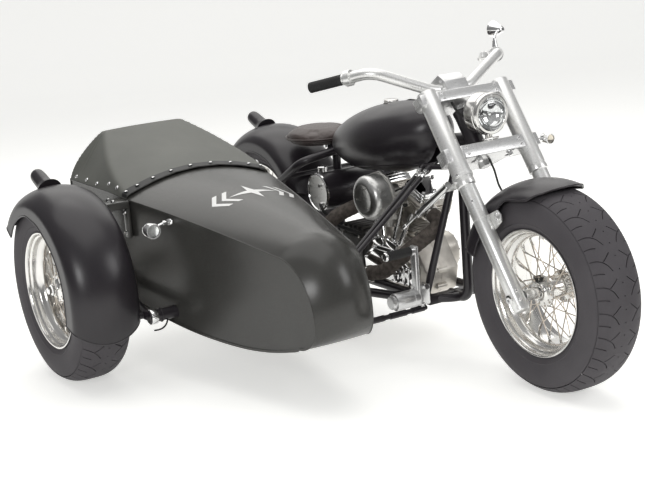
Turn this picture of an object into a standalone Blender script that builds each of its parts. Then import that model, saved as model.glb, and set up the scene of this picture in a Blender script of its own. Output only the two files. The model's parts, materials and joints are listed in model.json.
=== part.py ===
"""Sidecar motorcycle: a fat-tyred rigid chopper with a boat-shaped sidecar on its right.

Metres, +Z up. Inside the vehicle, x = 0 is the rear axle, y = 0 the motorcycle's centre plane
(+y its left side) and z = 0 the ground. The root empty shifts all of it, so that the world's
origin is the centre of the vehicle's footprint. A name that ends in SHARE or SHARES is a ratio.
"""

import math

import bmesh
import bpy
from mathutils import Matrix, Vector

# Clearances: running, seated, how deep welded pieces sink, and how far a cutter runs past
RUNNING_GAP = 0.0008
SEAT_GAP = 0.0003
WELD = 0.004
OVERRUN = 0.050

# Wheels
WHEELBASE = 1.680
TYRE_RADIUS = 0.330
TYRE_WIDTH = 0.194
TYRE_BEAD_RADIUS = 0.196
RIM_RADIUS = 0.205
RIM_WIDTH = 0.168
RIM_WELL_RADIUS = 0.172
RIM_THICKNESS = 0.007
HUB_RADIUS = 0.026
HUB_FLANGE_RADIUS = 0.052
HUB_FLANGE_OFFSET = 0.042
HUB_FLANGE_THICKNESS = 0.008
HUB_HALF_WIDTH = 0.064
AXLE_BORE_RADIUS = 0.0125
AXLE_RADIUS = 0.0120
AXLE_COLLAR_RADIUS = 0.019
SPOKE_RADIUS = 0.0028
SPOKES_PER_FLANGE = 20
SPOKE_SWEEP = math.radians(38)
SPOKE_SEAT_SHARE = 0.12
RIM_WELL_SHARES = (0.34, 0.26)
TYRE_SECTION_SHARES = ((0.0, 0.78), (0.10, 0.80), (0.20, 0.95), (0.50, 1.0), (0.78, 0.91),
                       (0.93, 0.66), (1.0, 0.22))

# Sidecar wheel's place
SIDECAR_LEAD = 0.438
SIDECAR_TRACK = 1.122

# Front fork, measured along the legs from the axle
RAKE = math.radians(34.75)
STEER_OFFSET = 0.055
FORK_HALF = 0.1486
LEG_RADIUS = 0.0275
SLEEVE_RADIUS = 0.0325
SLEEVE_START = 0.395
LEG_TOP = 0.738
LEG_BOTTOM = 0.045
LEG_TIP = 0.015
LEG_CHAMFER = 0.006
LOWER_CLAMP_AT = 0.503
LOWER_CLAMP_DEPTH = 0.046
UPPER_CLAMP_AT = 0.708
UPPER_CLAMP_DEPTH = 0.038
CLAMP_BACK = 0.098
CLAMP_FRONT = 0.040
CLAMP_SIDE_BACK = 0.046
CLAMP_OUT = 0.042
CLAMP_WAIST = 0.080
CLAMP_BOSS_HALF = 0.042
CLAMP_BEVEL = 0.003
NECK_RADIUS = 0.030
NECK_GAP = 0.003
STEM_RADIUS = 0.014

# Handlebar, its block on the upper clamp, levers, grips and mirror
BAR_RADIUS = 0.019
BAR_ABOVE = 0.039
BAR_CENTRE_HALF = 0.070
BAR_BEND_Y = 0.265
BAR_BEND_BACK = 0.075
BAR_BEND_RISE = 0.083
BAR_END_Y = 0.318
BAR_END_BACK = 0.165
BAR_END_RISE = 0.060
BAR_BEND_RADIUS = 0.090
GRIP_RADIUS = 0.0185
GRIP_LENGTH = 0.130
PERCH_RADIUS = 0.027
PERCH_LENGTH = 0.022
PERCH_BACK = 0.022
RESERVOIR_RADIUS = 0.014
RESERVOIR_LENGTH = 0.052
LEVER_RADIUS = 0.005
LEVER_REACH = 0.042
LEVER_LENGTH = 0.125
BLOCK_HALF_WIDTH = 0.045
BLOCK_HALF_LENGTH = 0.038
BLOCK_HEIGHT = 0.086
BLOCK_SLOPE_SHARE = 0.60
MIRROR_Y = 0.400
MIRROR_BACK = 0.078
MIRROR_RISE = 0.078
MIRROR_RADIUS = 0.030
MIRROR_TIP_RADIUS = 0.008
MIRROR_HALF_LENGTH = 0.0275
MIRROR_STEM_RADIUS = 0.005

# Headlight and turn signal
HEADLIGHT_AT = 0.615
HEADLIGHT_AHEAD = 0.045
HEADLIGHT_RADIUS = 0.070
HEADLIGHT_FRONT = 0.045
HEADLIGHT_CHAMFER = 0.005
HEADLIGHT_EDGE = 0.012
HEADLIGHT_BARREL = 0.060
HEADLIGHT_TAIL_RADIUS = 0.050
HEADLIGHT_DEPTH = 0.084
LENS_RADIUS = 0.056
LENS_STEP_RADIUS = 0.035
LENS_CROWN = 0.012
BRACKET_RADIUS = 0.011
BRACKET_AHEAD = 0.015
FOOT_LENGTH = 0.034
FOOT_WIDTH = 0.060
FOOT_THICKNESS = 0.006
SIGNAL_RADIUS = 0.019
SIGNAL_LENGTH = 0.046
SIGNAL_OUT = 0.026
SIGNAL_STEM_RADIUS = 0.007

# Steering damper
DAMPER_ALONG = 0.430
DAMPER_AHEAD = -0.048
DAMPER_ACROSS = -0.178
DAMPER_REACH = 0.325
DAMPER_TUBE_LENGTH = 0.222
DAMPER_TUBE_RADIUS = 0.012
DAMPER_ROD_RADIUS = 0.0045
DAMPER_ROD_START = 0.125
DAMPER_BASE = 0.030
EAR_THICKNESS = 0.006
EAR_MARGIN = 0.012
DAMPER_SHELF_HALF = 0.009
DAMPER_SHELF_CLEAR = 0.046
DAMPER_DRIFT = 0.064
DAMPER_SHELF_REACH = 0.107

# Frame tubes
SPINE_RADIUS = 0.022
SPINE_REAR_X = 0.470
SPINE_REAR_Z = 0.640
TUBE_RADIUS = 0.016
THIN_TUBE_RADIUS = 0.010
DOWNTUBE_RADIUS = 0.0175
DOWNTUBE_BACK = 0.445
RAIL_HEIGHT = 0.205
RAIL_HALF = 0.100
RAIL_FRONT_BACK = 0.030
RAIL_START_BACK = 0.105
RAIL_REAR_X = 0.450
KINK_X = 0.280
KINK_RISE = 0.030
STAY_HALF = 0.158
STAY_TOP_X = 0.440
STAY_TOP_DROP = 0.030
STAY_REAR = 0.030
STAY_REAR_RISE = 0.020
KNEE_DROP = 0.120
NECK_JOIN = 0.045
BRACE_TOP_X = 0.010
BRACE_TOP_Y = 0.040
BRACE_TOP_Z = 0.660
BRACE_FOOT_BACK = 0.115
BRACE_RADIUS = 0.013
FRAME_BEND = 0.070
PLATE_LENGTH = 0.110
PLATE_HEIGHT = 0.085
PLATE_THICKNESS = 0.010
SEAT_POST_LENGTH = 0.060
SEAT_POST_WIDTH = 0.036
CROSS_BAR_BACK = 0.085
CROSS_BAR_SIZE = 0.030

# Engine: a V-twin on its crankcase, with a separate gearbox behind
CRANK_BACK = 0.775
CRANK_Z = 0.270
CYLINDER_LEAN = math.radians(22.5)
CASE_HALF_LENGTH = 0.185
CASE_HALF_DEPTH = 0.070
CASE_DROP = 0.085
CASE_SHOULDER_SHARES = ((-1.0, 0.15), (-0.90, -0.80), (-0.75, -1.0), (0.75, -1.0), (0.90, -0.80),
                        (1.0, 0.15))
CASE_SHOULDER = 0.075
CYLINDER_START = 0.150
DECK_HALF = 0.055
FIN_START = 0.168
HEAD_START = 0.250
HEAD_DEPTH = 0.045
HEAD_HALF = 0.078
HEAD_BEVEL = 0.012
ROCKER_DEPTH = 0.035
ROCKER_HALF_LENGTH = 0.058
ROCKER_HALF_WIDTH = 0.066
ROCKER_BEVEL = 0.010
FIN_RADIUS = 0.066
BARREL_RADIUS = 0.050
FIN_THICKNESS = 0.004
FINS = 7
CAM_DEPTH = 0.050
CAM_HALF_LENGTH = 0.140
CAM_HEIGHT = 0.085
CAM_SHARES = ((-0.86, -0.41), (1.0, -0.41), (1.07, 0.35), (0.43, 1.0), (-0.43, 1.0), (-0.93, 0.35))
PUSHROD_RADIUS = 0.006
PUSHROD_FOOT_SHARES = (0.17, 0.42)
PUSHROD_HEAD_OFFSET = 0.031
PUSHROD_HEAD_GAP = 0.002
PRIMARY_DEPTH = 0.075
PRIMARY_RADIUS = 0.070
PRIMARY_RISE = 0.030
PRIMARY_FRONT = 0.030
PRIMARY_REAR = 0.300
GEARBOX_REAR = 0.375
GEARBOX_HEIGHT = 0.170
GEARBOX_RISE = 0.015
GEARBOX_BEVEL = 0.020
LUG_LENGTH = 0.040
LUG_HEIGHT = 0.020
LUG_AHEAD = 0.100
AIR_CLEANER_AHEAD = 0.050
AIR_CLEANER_RISE = 0.285
AIR_CLEANER_RADIUS = 0.079
AIR_CLEANER_DEPTH = 0.070
AIR_CLEANER_OUT = 0.225
BACKPLATE_RADIUS = 0.087
BACKPLATE_DEPTH = 0.012
BACKPLATE_SIDES = 10
THROAT_RADIUS = 0.028
BOWL_HEIGHT = 0.042
BOWL_HALF = 0.026
BOWL_DROP = 0.118
BRIDGE_HEIGHT = 0.022
BRIDGE_DEPTH = 0.010
OIL_TANK_X = 0.530
OIL_TANK_Z = 0.505
OIL_TANK_RADIUS = 0.072
OIL_TANK_HALF = 0.150
OIL_TANK_BEVEL = 0.006
PIPE_RADIUS = 0.024
PIPE_ELBOW = 0.076
PORT_RIGHT = 0.035
FRONT_PIPE_BEND = 0.100
REAR_PIPE_BEND = 0.080
PIPE_END_BACK = 0.100
FRONT_PIPE = ((0.200, -0.140, 0.115), (0.085, -0.180, 0.020), (-0.055, -0.205, -0.008))
REAR_PIPE = ((-0.245, -0.165, 0.165), (-0.300, -0.210, 0.075), (-0.455, -0.210, 0.057))

# Fuel tank, seat and fenders
TANK_FRONT_BACK = 0.548
TANK_LENGTH = 0.655
TANK_Z = 0.722
TANK_HALF_WIDTH = 0.147
TANK_HALF_HEIGHT = 0.122
TANK_SWELL_SHARE = 0.17
TANK_TILT = 0.050
TANK_LOW_SHARE = 1.06
TANK_FULLNESS_SHARE = 0.15
TANK_RINGS = 14
ENGINE_TOP_Z = 0.615
ENGINE_ROOM_LENGTH = 0.420
ENGINE_ROOM_WIDTH = 0.150
CAP_AHEAD = 0.032
CAP_RADIUS = 0.029
CAP_FOOT_Z = 0.836
CAP_HEIGHT = 0.025
SEAT_FROM_TANK = 0.007
SEAT_Z = 0.676
SEAT_RADIUS = 0.140
SEAT_HALF_THICKNESS = 0.035
SEAT_WIDTH_SHARE = 0.93
SEAT_TILT = math.radians(-6)
SEAT_X = WHEELBASE - TANK_FRONT_BACK - TANK_LENGTH - SEAT_FROM_TANK - SEAT_RADIUS
FENDER_RADIUS = 0.352
FRONT_FENDER_RADIUS = 0.349
FENDER_HALF_WIDTH = 0.117
FENDER_CROWN = 0.062
FENDER_WALL = 0.004
FACET_SHARE = 0.9964
SKIRT_RADIUS = 0.262
FRONT_FENDER_FROM = math.radians(76)
FRONT_FENDER_TO = math.radians(165)
REAR_FENDER_FROM = math.radians(20)
REAR_FENDER_TO = math.radians(176)
SIDECAR_FENDER_FROM = math.radians(-22)
SIDECAR_FENDER_TO = math.radians(150)
NUB_BACK = 0.100
NUB_RUN = 0.090
NUB_SINK = 0.020
NUB_RISE = 0.035
NUB_LENGTH = 0.115
NUB_RADIUS = 0.028
NUB_GAP = 0.0008
HOSE_RADIUS = 0.0035
HOSE_BACK = 0.025
HOSE_ANGLE = math.radians(40)
HOSE_DROP = 0.040
HOSE_BEND = 0.050

# Sidecar body: its side panels run between the fender and the motorcycle
BODY_INNER_Y = 0.342
BODY_FENDER_GAP = 0.087
BODY_HALF_WIDTH = (SIDECAR_TRACK - FENDER_HALF_WIDTH - BODY_FENDER_GAP - BODY_INNER_Y) / 2
BODY_CENTRE_Y = -BODY_INNER_Y - BODY_HALF_WIDTH
NOSE_HALF_WIDTH = 0.108
BODY_REAR_X = 0.010
BODY_LENGTH = 1.425
BODY_WALL = 0.006
DECK_Z = 0.620
DECK_FALL = 0.194
DECK_CROWN = 0.060
BELLY_DEPTH = 0.440
NOSE_LOW = 0.025
NOSE_ROUND = 0.080
NOSE_BULGE = 0.035
NOSE_STEPS = 7
WIDEST_SHARE = 0.344
FALL_FROM_SHARE = 0.26
FALL_POWER = 1.4
COCKPIT_REAR_SHARE = 0.098
COCKPIT_SIDE_SHARE = 0.84
DECK_SHARES = (0.014, COCKPIT_REAR_SHARE, 0.218, WIDEST_SHARE, 0.484, 0.625, 0.730, 0.835)
BELLY_SHARES = ((0.926, 0.080), (0.835, 0.023), (0.730, 0.0), (0.589, 0.018), (0.449, 0.080),
                (WIDEST_SHARE, 0.155), (0.168, 0.352), (0.063, 0.568), (0.014, 0.773))
COLUMN_SHARES = (-1, -COCKPIT_SIDE_SHARE, -0.5, 0, 0.5, COCKPIT_SIDE_SHARE, 1)

# Tonneau cover: a tent over the seat back, as (x, height) along its middle
COVER_REAR_X = 0.030
COVER_LENGTH = 0.485
COVER_FOOT_Z = 0.590
COVER_RISE = 0.195
COVER_TAPER = 0.118
COVER_INSET = 0.002
COVER_SAG = 0.058
COVER_EDGE_SHARE = 0.467
COVER_SHARES = ((0.0, 0.0), (1.0, 0.0), (1.0, COVER_EDGE_SHARE), (0.97, 0.49), (0.56, 0.745),
                (0.20, 0.985), (0.144, 1.0), (0.09, 0.97), (0.02, 0.56), (0.0, 0.48))
COVER_COLUMN_SHARES = (-1, -0.6, 0, 0.6, 1)
COVER_GAP = 0.0005

# Sidecar chassis, struts, fender bracket and lamp
ARM_SHARE = 0.505263
ARM_X = BODY_REAR_X + BODY_LENGTH * ARM_SHARE
ARM_Z = 0.245
ARM_OUT = 0.035
ARM_RADIUS = 0.021
TRAILING_RADIUS = 0.018
CROSS_IN_Y = 0.240
CROSS_OUT_Y = 0.360
CHASSIS_BEND = 0.050
CHASSIS_BRACE_X = 1.020
CHASSIS_BRACE_OUT = 0.050
BOSS_RADIUS = 0.012
BOSS_BACK = 0.009
BOSS_AT_X = ARM_X - ARM_RADIUS - BOSS_BACK
BOSS_AT_Z = 0.248
STRUT_RADIUS = 0.007
STRUT_BOSS_RADIUS = 0.011
STRUT_BOSS_LENGTH = 0.020
STRUT_FOOT_X = 1.165
STRUT_FOOT_SPREAD = 0.018
STRUT_FOOT_OUT = 0.012
STRUT_FOOT_Z = 0.395
STRUT_HEAD_BACK = 0.120
STRUT_HEAD_SPREAD = 0.036
STRUT_HEAD_Y = -0.085
STRUT_HEAD_Z = 0.655
TAB_X = 0.508
TAB_LENGTH = 0.075
TAB_Z = 0.600
TAB_HEIGHT = 0.026
STRAP_X = 0.530
STRAP_WIDTH = 0.030
STRAP_DEPTH = 0.012
STRAP_LENGTH = 0.115
LAMP_X = 0.775
LAMP_OUT = 0.0805
LAMP_Z = 0.552
LAMP_RADIUS = 0.026
LAMP_LENGTH = 0.056
LAMP_STEM_RADIUS = 0.006
LAMP_FOOT_X = 0.752
LAMP_FOOT_Z = 0.562
LAMP_FOOT_RADIUS = 0.011

# Forward foot controls
CONTROL_BLOCK = (0.045, 0.050, 0.070)
CONTROL_Z = 0.235
CONTROL_PLATE = (0.030, 0.016, 0.190)
CONTROL_PLATE_AHEAD = 0.020
CONTROL_PLATE_OUT = 0.055
CONTROL_PLATE_Z = 0.320
CONTROL_BEVEL = 0.004
BARREL_LENGTH = 0.110
CONTROL_BARREL_RADIUS = 0.030
PEG_Z = 0.398
PEG_LENGTH = 0.125
PEG_RADIUS = 0.016
PEDAL_Z = 0.1885
PEDAL_LENGTH = 0.240
PEDAL_RADIUS = 0.011
PEDAL_AHEAD = 0.015

# Facets
WHEEL_STEPS = 32
HUB_STEPS = 16
ROUND = 20
FINE_ROUND = 24
SMALL_ROUND = 12
SPOKE_SIDES = 3
SHARP_ANGLE = math.radians(35)

LEFT = Vector((0, 1, 0))
FORWARD = Vector((1, 0, 0))
UP = Vector((0, 0, 1))
FORK_UP = Vector((-math.sin(RAKE), 0, math.cos(RAKE)))
FORK_AHEAD = Vector((math.cos(RAKE), 0, math.sin(RAKE)))
FRONT_AXLE = Vector((WHEELBASE, 0, TYRE_RADIUS))
REAR_AXLE = Vector((0, 0, TYRE_RADIUS))
SIDECAR_AXLE = Vector((SIDECAR_LEAD, -SIDECAR_TRACK, TYRE_RADIUS))
STEER_FOOT = FRONT_AXLE - FORK_AHEAD * STEER_OFFSET
DOWNTUBE_X = WHEELBASE - DOWNTUBE_BACK
CRANK = Vector((WHEELBASE - CRANK_BACK, 0, CRANK_Z))
NOSE_X = BODY_REAR_X + BODY_LENGTH
CIRCLE = 2 * math.pi
QUARTER = math.radians(90)
MERGE = 0.00001
SIDES = ((-1, "right"), (1, "left"))
TURN_TO_Y = Matrix.Rotation(-QUARTER, 3, "X")
TURN_TO_FORK = Matrix.Rotation(-RAKE, 3, "Y")
UPRIGHT = Matrix.Rotation(QUARTER, 3, "X")
PARENTS = {
    "steering": "root",
    "front_wheel": "steering",
    "rear_wheel": "root",
    "sidecar_wheel": "root",
    "damper_tube": "steering",
    "damper_rod": "damper_tube",
}


def on_fork(along, ahead=0.0, across=0.0):
    return FRONT_AXLE + FORK_UP * along + FORK_AHEAD * ahead + LEFT * across


DAMPER_PIN = on_fork(DAMPER_ALONG, DAMPER_AHEAD, DAMPER_ACROSS)
NECK_LOW = on_fork(LOWER_CLAMP_AT + LOWER_CLAMP_DEPTH / 2 + NECK_GAP, -STEER_OFFSET)
NECK_HIGH = on_fork(UPPER_CLAMP_AT - UPPER_CLAMP_DEPTH / 2 - NECK_GAP, -STEER_OFFSET)
NECK_MIDDLE = (NECK_LOW + NECK_HIGH) / 2
SPINE_REAR = Vector((SPINE_REAR_X, 0, SPINE_REAR_Z))


def clear_scene():
    for obj in list(bpy.data.objects):
        bpy.data.objects.remove(obj, do_unlink=True)


def new_collection(name):
    collection = bpy.data.collections.new(name)
    bpy.context.scene.collection.children.link(collection)
    return collection


def make_material(name, colour, roughness, metallic):
    material = bpy.data.materials.new(name)
    material.use_nodes = True
    shader = material.node_tree.nodes["Principled BSDF"]
    shader.inputs["Base Color"].default_value = (*colour, 1)
    shader.inputs["Roughness"].default_value = roughness
    shader.inputs["Metallic"].default_value = metallic
    return material


clear_scene()
PARTS = new_collection("sidecar_motorcycle")
CUTTERS = new_collection("cutters")
SATIN_BLACK = make_material("satin_black", (0.030, 0.030, 0.032), 0.38, 0.0)
ALUMINIUM = make_material("brushed_aluminium", (0.80, 0.80, 0.79), 0.30, 1.0)
CHROME = make_material("chrome", (0.85, 0.85, 0.86), 0.10, 1.0)
TYRE_RUBBER = make_material("tyre_rubber", (0.045, 0.042, 0.046), 0.75, 0.0)
GRIP_RUBBER = make_material("grip_rubber", (0.020, 0.020, 0.020), 0.60, 0.0)
LEATHER = make_material("brown_leather", (0.060, 0.040, 0.036), 0.50, 0.0)
PIPE_WRAP = make_material("pipe_wrap", (0.085, 0.055, 0.045), 0.90, 0.0)
COVER_VINYL = make_material("cover_vinyl", (0.110, 0.115, 0.100), 0.55, 0.0)
CLEAR_GLASS = make_material("clear_glass", (0.85, 0.88, 0.90), 0.05, 0.0)


def make_bodies():
    """One empty for each rigid body, standing on its joint's axis."""
    ends_x = (-FENDER_RADIUS - FENDER_WALL, WHEELBASE + TYRE_RADIUS)
    ends_y = (-SIDECAR_TRACK - FENDER_HALF_WIDTH - FENDER_WALL, MIRROR_Y + MIRROR_RADIUS)
    centre = Vector((-sum(ends_x) / 2, -sum(ends_y) / 2, 0))
    places = {
        "root": Vector((0, 0, 0)),
        "steering": STEER_FOOT,
        "front_wheel": FRONT_AXLE,
        "rear_wheel": REAR_AXLE,
        "sidecar_wheel": SIDECAR_AXLE,
        "damper_tube": DAMPER_PIN,
        "damper_rod": DAMPER_PIN,
    }
    bodies = {}
    for name, place in places.items():
        empty = bpy.data.objects.new(name + "_body", None)
        PARTS.objects.link(empty)
        if name == "root":
            empty.location = centre
        else:
            parent = PARENTS[name]
            empty.parent = bodies[parent]
            empty.location = place - places[parent]
        bodies[name] = empty
    return bodies, places


BODIES, PLACES = make_bodies()


def add(name, mesh, material, body, location=Vector((0, 0, 0)), rotation=None, cutter=False):
    """A new object at a place in the vehicle, carried by a body's empty."""
    obj = bpy.data.objects.new(name, mesh)
    (CUTTERS if cutter else PARTS).objects.link(obj)
    mesh.materials.append(material)
    obj.parent = BODIES[body]
    obj.location = Vector(location) - PLACES[body]
    if rotation is not None:
        obj.rotation_euler = rotation.to_euler()
    if cutter:
        obj.hide_render = True
        obj.display_type = "WIRE"
    mesh.shade_smooth()
    mesh.set_sharp_from_angle(angle=SHARP_ANGLE)
    return obj


def mesh_from(bm, name):
    bmesh.ops.recalc_face_normals(bm, faces=bm.faces)
    mesh = bpy.data.meshes.new(name)
    bm.to_mesh(mesh)
    bm.free()
    return mesh


def bevel_all(bm, width, segments=1):
    bmesh.ops.bevel(bm, geom=bm.edges[:], offset=width, segments=segments, profile=0.5,
                    affect="EDGES", material=-1)


def box_mesh(name, size, bevel=0.0, segments=1):
    bm = bmesh.new()
    bmesh.ops.create_cube(bm, size=1)
    bmesh.ops.scale(bm, vec=size, verts=bm.verts)
    if bevel:
        bevel_all(bm, bevel, segments)
    return mesh_from(bm, name)


def rod_mesh(name, radius, length, sides=HUB_STEPS, top_radius=None):
    """A cylinder or cone along +Z, centred on its middle."""
    bm = bmesh.new()
    bmesh.ops.create_cone(bm, cap_ends=True, segments=sides, radius1=radius,
                          radius2=radius if top_radius is None else top_radius, depth=length)
    return mesh_from(bm, name)


def turned_mesh(name, profile, closed=False):
    """Edges for a Screw: (radius, height) pairs that run down the outer side."""
    mesh = bpy.data.meshes.new(name)
    edges = [(i, i + 1) for i in range(len(profile) - 1)]
    if closed:
        edges.append((len(profile) - 1, 0))
    mesh.from_pydata([(radius, 0, height) for radius, height in profile], edges, [])
    return mesh


def add_turned(name, profile, material, body, location, rotation, steps=FINE_ROUND, closed=False,
               sweep=CIRCLE, cutter=False):
    obj = add(name, turned_mesh(name, profile, closed), material, body, location, rotation,
              cutter=cutter)
    screw = obj.modifiers.new("turn", "SCREW")
    screw.steps = steps
    screw.render_steps = steps
    screw.angle = sweep
    screw.use_merge_vertices = True
    screw.merge_threshold = MERGE
    return obj


def add_solidify(obj, thickness, offset=-1):
    wall = obj.modifiers.new("wall", "SOLIDIFY")
    wall.thickness = thickness
    wall.offset = offset
    wall.use_even_offset = True


def combine(obj, others, operation):
    for other in others:
        step = obj.modifiers.new(other.name, "BOOLEAN")
        step.operation = operation
        step.solver = "EXACT"
        step.object = other
    return obj


def rounded_path(points, bend, steps=5):
    """The points with each corner replaced by an arc of the bend's radius."""
    points = [Vector(p) for p in points]
    path = [points[0]]
    for before, corner, after in zip(points, points[1:], points[2:]):
        back = (before - corner).normalized()
        ahead = (after - corner).normalized()
        half = back.angle(ahead) / 2
        reach = min(bend / math.tan(half), (before - corner).length / 2, (after - corner).length / 2)
        start, end = corner + back * reach, corner + ahead * reach
        for i in range(steps + 1):
            t = i / steps
            path.append(start.lerp(corner, t).lerp(corner.lerp(end, t), t))
    path.append(points[-1])
    return path


def add_tube(name, points, radius, material, body, resolution=2):
    """A round tube along the points, as a curve with filled caps."""
    curve = bpy.data.curves.new(name, "CURVE")
    curve.dimensions = "3D"
    curve.bevel_depth = radius
    curve.bevel_resolution = resolution
    curve.use_fill_caps = True
    spline = curve.splines.new("POLY")
    spline.points.add(len(points) - 1)
    for point, place in zip(spline.points, points):
        point.co = (*(Vector(place) - Vector(points[0])), 1)
    curve.materials.append(material)
    obj = bpy.data.objects.new(name, curve)
    PARTS.objects.link(obj)
    obj.parent = BODIES[body]
    obj.location = Vector(points[0]) - PLACES[body]
    return obj


def made_mesh(obj, cutter=False):
    """The curve object as a mesh with its caps welded, ready for a Boolean."""
    bpy.context.view_layer.update()
    graph = bpy.context.evaluated_depsgraph_get()
    mesh = bpy.data.meshes.new_from_object(obj.evaluated_get(graph))
    bm = bmesh.new()
    bm.from_mesh(mesh)
    bmesh.ops.remove_doubles(bm, verts=bm.verts, dist=MERGE)
    bmesh.ops.recalc_face_normals(bm, faces=bm.faces)
    bm.to_mesh(mesh)
    bm.free()
    name, parent, location = obj.name, obj.parent, obj.location.copy()
    bpy.data.objects.remove(obj)
    solid = bpy.data.objects.new(name, mesh)
    (CUTTERS if cutter else PARTS).objects.link(solid)
    solid.parent = parent
    solid.location = location
    if cutter:
        solid.hide_render = True
        solid.display_type = "WIRE"
    return solid


def aim(direction):
    """The turn that takes +Z to a direction."""
    return Vector(direction).to_track_quat("Z", "Y").to_matrix()


def add_rod(name, start, end, radius, material, body, sides=HUB_STEPS, top_radius=None, cutter=False):
    start, end = Vector(start), Vector(end)
    mesh = rod_mesh(name, radius, (end - start).length, sides, top_radius)
    return add(name, mesh, material, body, (start + end) / 2, aim(end - start), cutter=cutter)


def outline_mesh(name, points, depth, bevel=0.0):
    """A flat outline in local X and Y, filled, and as thick as the depth along local Z."""
    bm = bmesh.new()
    face = bm.faces.new([bm.verts.new((x, y, -depth / 2)) for x, y in points])
    pulled = bmesh.ops.extrude_face_region(bm, geom=[face])
    verts = [item for item in pulled["geom"] if isinstance(item, bmesh.types.BMVert)]
    bmesh.ops.translate(bm, vec=(0, 0, depth), verts=verts)
    if bevel:
        bevel_all(bm, bevel)
    return mesh_from(bm, name)


def mirrored(points):
    """Half an outline, closed by its mirror image across local X."""
    return points + [(x, -y) for x, y in reversed(points)]


def add_wheel(prefix, body, centre):
    """A tyre, and a rim, hub and crossed spokes welded as one wheel."""
    rise = TYRE_RADIUS - TYRE_BEAD_RADIUS
    half = TYRE_WIDTH / 2
    outer = [(TYRE_BEAD_RADIUS + rise * up, half * out) for up, out in TYRE_SECTION_SHARES]
    add_turned(prefix + "_tyre", mirrored(outer), TYRE_RUBBER, body, centre, TURN_TO_Y,
               steps=WHEEL_STEPS, closed=True)
    half = RIM_WIDTH / 2
    lip = TYRE_BEAD_RADIUS - RUNNING_GAP
    well_out, well_in = (half * share for share in RIM_WELL_SHARES)
    down = [(RIM_RADIUS, half), (RIM_RADIUS, half - RIM_THICKNESS), (lip, half - RIM_THICKNESS),
            (RIM_WELL_RADIUS + RIM_THICKNESS, well_out)]
    back = [(lip - RIM_THICKNESS, -half), (RIM_WELL_RADIUS, -well_in)]
    profile = mirrored(down) + back + [(r, -z) for r, z in reversed(back)]
    wheel = add_turned(prefix + "_wheel", profile, ALUMINIUM, body, centre, TURN_TO_Y,
                       steps=WHEEL_STEPS, closed=True)
    flange_out = HUB_FLANGE_OFFSET + HUB_FLANGE_THICKNESS / 2
    flange_in = HUB_FLANGE_OFFSET - HUB_FLANGE_THICKNESS / 2
    hub_profile = mirrored([(AXLE_BORE_RADIUS, HUB_HALF_WIDTH), (HUB_RADIUS, HUB_HALF_WIDTH),
                            (HUB_RADIUS, flange_out), (HUB_FLANGE_RADIUS, flange_out),
                            (HUB_FLANGE_RADIUS, flange_in), (HUB_RADIUS, flange_in)])
    hub = add_turned(prefix + "_hub", hub_profile, ALUMINIUM, body, centre, TURN_TO_Y,
                     steps=HUB_STEPS, closed=True, cutter=True)
    spokes = bmesh.new()
    hub_reach = HUB_FLANGE_RADIUS - HUB_FLANGE_THICKNESS
    rim_reach = RIM_WELL_RADIUS + RIM_THICKNESS / 2
    for side in (-1, 1):
        for i in range(SPOKES_PER_FLANGE):
            lead = 1 if i % 2 else -1
            angle = CIRCLE * (i + 0.25 + 0.5 * (side > 0)) / SPOKES_PER_FLANGE
            hub_angle = angle + lead * SPOKE_SWEEP
            plane = side * (HUB_FLANGE_OFFSET + lead * HUB_FLANGE_THICKNESS / 2)
            inner = Vector((math.cos(hub_angle) * hub_reach, math.sin(hub_angle) * hub_reach, plane))
            outer_end = Vector((math.cos(angle) * rim_reach, math.sin(angle) * rim_reach,
                                side * half * SPOKE_SEAT_SHARE))
            along = outer_end - inner
            turn = aim(along).to_4x4()
            turn.translation = (inner + outer_end) / 2
            bmesh.ops.create_cone(spokes, cap_ends=True, segments=SPOKE_SIDES, radius1=SPOKE_RADIUS,
                                  radius2=SPOKE_RADIUS, depth=along.length, matrix=turn)
    spoke_set = add(prefix + "_spokes", mesh_from(spokes, prefix + "_spokes"), ALUMINIUM, body,
                    centre, TURN_TO_Y, cutter=True)
    combine(wheel, [hub, spoke_set], "UNION")


def add_axle(name, body, centre, reach):
    spacer = HUB_HALF_WIDTH + RUNNING_GAP
    half = [(0, reach), (AXLE_COLLAR_RADIUS, reach), (AXLE_COLLAR_RADIUS, spacer),
            (AXLE_RADIUS, spacer)]
    add_turned(name, mirrored(half), CHROME, body, centre, TURN_TO_Y, steps=SMALL_ROUND)


def make_clamp(label, along, depth):
    """A billet clamp: a bar across both legs that narrows behind them to a boss round the stem."""
    width = FORK_HALF + CLAMP_OUT
    plan = mirrored([(CLAMP_FRONT, width), (-CLAMP_SIDE_BACK, width), (-CLAMP_SIDE_BACK, CLAMP_WAIST),
                     (-CLAMP_BACK, CLAMP_BOSS_HALF)])
    clamp = add(f"{label}_clamp", outline_mesh(label, plan, depth, CLAMP_BEVEL), ALUMINIUM,
                "steering", on_fork(along), TURN_TO_FORK)
    for side, hand in SIDES:
        hole = add(f"{label}_leg_hole_{hand}",
                   rod_mesh("hole", SLEEVE_RADIUS + SEAT_GAP, depth + 2 * OVERRUN, ROUND), ALUMINIUM,
                   "steering", on_fork(along, across=side * FORK_HALF), TURN_TO_FORK, cutter=True)
        combine(clamp, [hole], "DIFFERENCE")
    return clamp


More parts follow.
